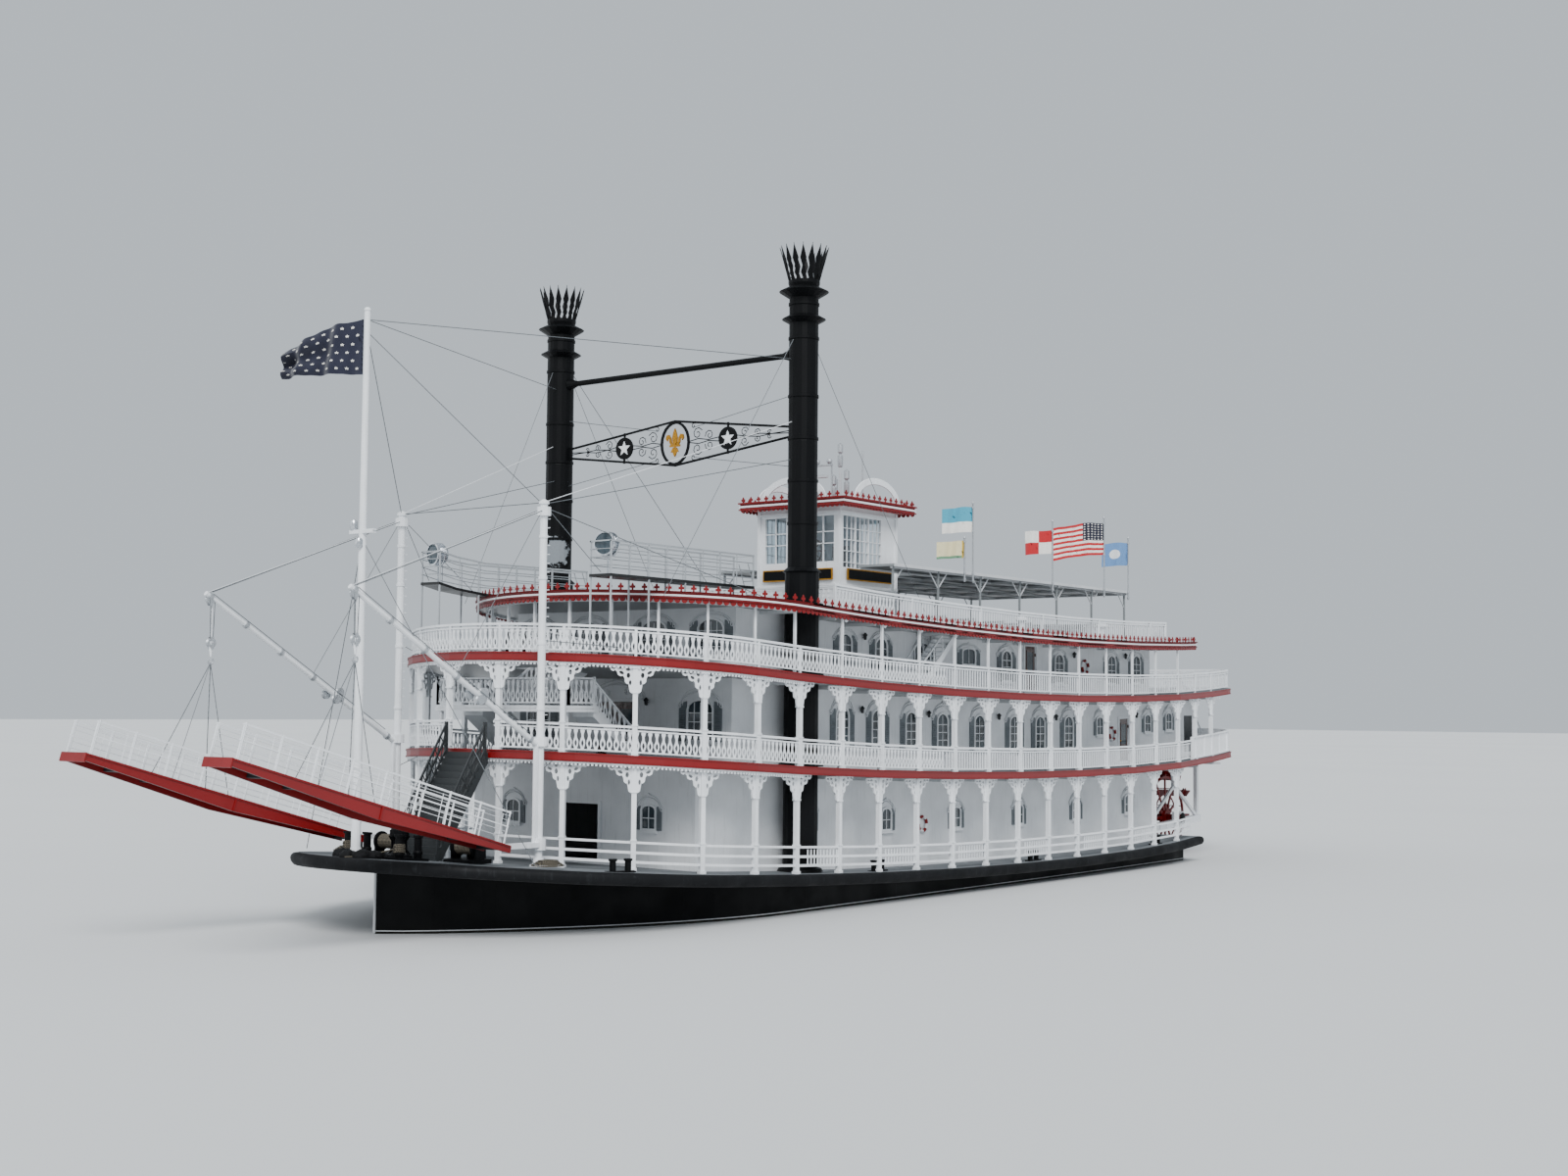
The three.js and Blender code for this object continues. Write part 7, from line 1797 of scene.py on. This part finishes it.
class BOAT_OT_fittings(Operator):
    """Add the life rings, ceiling lamps and vents about the decks"""

    bl_idname = "boat.fittings"
    bl_label = "Deck fittings"

    def execute(self, context):
        spots = ((-23.55, SECOND, 1.35), (-9.4, MAIN, 1.7), (-26.3, FIRST, 1.5))
        places = [wall_at(side, x, deck, rise) @ at(0, -0.075) for side in BOTH for x, deck, rise in spots]
        for name, start in (("red", 0), ("white", pi / 4)):
            bm = bmesh.new()
            for quarter in range(4):
                part = bmesh.new()
                circle = bmesh.ops.create_circle(part, segments=8, radius=0.065, cap_ends=False,
                                                 matrix=at(0.3) @ ON_SIDE)
                edges = list({e for v in circle["verts"] for e in v.link_edges})
                turn = Matrix.Rotation(start + quarter * QUARTER, 3, "Z")
                bmesh.ops.rotate(part, verts=part.verts, matrix=turn)
                bmesh.ops.spin(part, geom=part.verts[:] + edges, cent=(0, 0, 0), axis=(0, 0, 1),
                               angle=pi / 4, steps=5)
                stamp(bm, as_mesh(part), [place @ ON_SIDE for place in places])
            finish("life_rings_" + name, bm, name + " gloss enamel", smooth=60)

        bm = bmesh.new()
        lamp = turned([(0, -0.12), (0.08, -0.1), (0.13, -0.03), (0.13, 0), (0, 0)], 12)
        for ceiling, count in ((FIRST_CEILING, 13), (SECOND_CEILING, 13), (ROOF_CEILING, 12)):
            stamp(bm, lamp, [on(0.25 - BAY * k, 6.6, ceiling, -0.005) for k in range(count)])
        finish("ceiling_lamps", bm, "polished lamp steel", mirrored=True, smooth=40)

        bm = bmesh.new()
        cowl = turned([(0, 0), (0.22, 0), (0.22, 0.03), (0.14, 0.06), (0.14, 0.62), (0.3, 0.7), (0.3, 0.78),
                       (0.08, 0.92), (0, 0.92)], 16)
        feet = ((-2.6, 2.6), (-5.0, 1.5), (-16.9, 6.0), (-24.5, 6.0))
        stamp(bm, cowl, [on(x, y, ROOF, 0.01) for x, y in feet])
        finish("roof_vents", bm, mirrored=True, smooth=40)
        return {"FINISHED"}


class BOAT_OT_studio(Operator):
    """Add the pale floor at the waterline, the soft lights and the camera"""

    bl_idname = "boat.studio"
    bl_label = "Studio"

    def execute(self, context):
        scene = context.scene
        bm = bmesh.new()
        bmesh.ops.create_grid(bm, x_segments=1, y_segments=1, size=400)
        bmesh.ops.translate(bm, vec=(0, 0, DRAFT / 2), verts=bm.verts)
        mesh = bpy.data.meshes.new("floor")
        bm.to_mesh(mesh)
        bm.free()
        mesh.materials.append(bpy.data.materials["studio floor"])
        floor = bpy.data.objects.new("floor", mesh)
        scene.collection.objects.link(floor)

        for name, energy, softness, heading in (("key", 3.6, 30, (0.75, 0.72, 0.95)),
                                                ("fill", 0.9, 90, (0.9, -0.9, 0.5))):
            lamp = bpy.data.lights.new(name, "SUN")
            lamp.energy, lamp.angle = energy, radians(softness)
            holder = bpy.data.objects.new(name, lamp)
            holder.rotation_euler = Vector(heading).to_track_quat("Z", "Y").to_euler()
            scene.collection.objects.link(holder)
        world = bpy.data.worlds.new("studio")
        world.use_nodes = True
        back = world.node_tree.nodes["Background"]
        back.inputs["Color"].default_value = full(0xDDE6EE)
        back.inputs["Strength"].default_value = 0.85
        scene.world = world

        camera = bpy.data.cameras.new("camera")
        camera.lens, camera.sensor_width, camera.clip_end = 43.53, 36, 2000
        holder = bpy.data.objects.new("camera", camera)
        # The photo's viewpoint: 3.7 degrees upwards and half a degree of roll, off the port bow.
        holder.location = (28.449, 24.209, 4.564)
        holder.rotation_euler = [radians(angle) for angle in (93.680115, -0.457417, 127.023842)]
        scene.collection.objects.link(holder)
        scene.camera = holder
        return {"FINISHED"}


STEPS = (BOAT_OT_paints, BOAT_OT_hull_trim, BOAT_OT_deck_trim, BOAT_OT_roof_trim, BOAT_OT_balustrades,
         BOAT_OT_brackets, BOAT_OT_windows, BOAT_OT_doors, BOAT_OT_stairs, BOAT_OT_pilothouse,
         BOAT_OT_stacks, BOAT_OT_boom_gear, BOAT_OT_landing_stages, BOAT_OT_bow_gear, BOAT_OT_catwalk_gear,
         BOAT_OT_canopy_frame, BOAT_OT_flags, BOAT_OT_stern, BOAT_OT_fittings, BOAT_OT_studio)


class BOAT_PT_panel(Panel):
    """Lists the boat's pieces, sizes and colours"""

    bl_idname = "BOAT_PT_panel"
    bl_label = "Paddle boat"
    bl_space_type = "VIEW_3D"
    bl_region_type = "UI"
    bl_category = "Paddle boat"

    def draw(self, context):
        for step in STEPS:
            self.layout.operator(step.bl_idname)
        for group in (context.scene.boat_sizes, context.scene.boat_paint):
            column = self.layout.column(align=True)
            for key in type(group).__annotations__:
                column.prop(group, key)


CLASSES = (BoatPaint, BoatSizes, *STEPS, BOAT_PT_panel)


def register():
    for item in CLASSES:
        bpy.utils.register_class(item)
    bpy.types.Scene.boat_paint = bpy.props.PointerProperty(type=BoatPaint)
    bpy.types.Scene.boat_sizes = bpy.props.PointerProperty(type=BoatSizes)


def unregister():
    del bpy.types.Scene.boat_sizes
    del bpy.types.Scene.boat_paint
    for item in reversed(CLASSES):
        bpy.utils.unregister_class(item)


def main():
    register()
    for step in STEPS:
        getattr(bpy.ops.boat, step.bl_idname.split(".")[1])()
    for mesh in [mesh for mesh in bpy.data.meshes if not mesh.users]:
        bpy.data.meshes.remove(mesh)


if __name__ == "__main__":
    main()
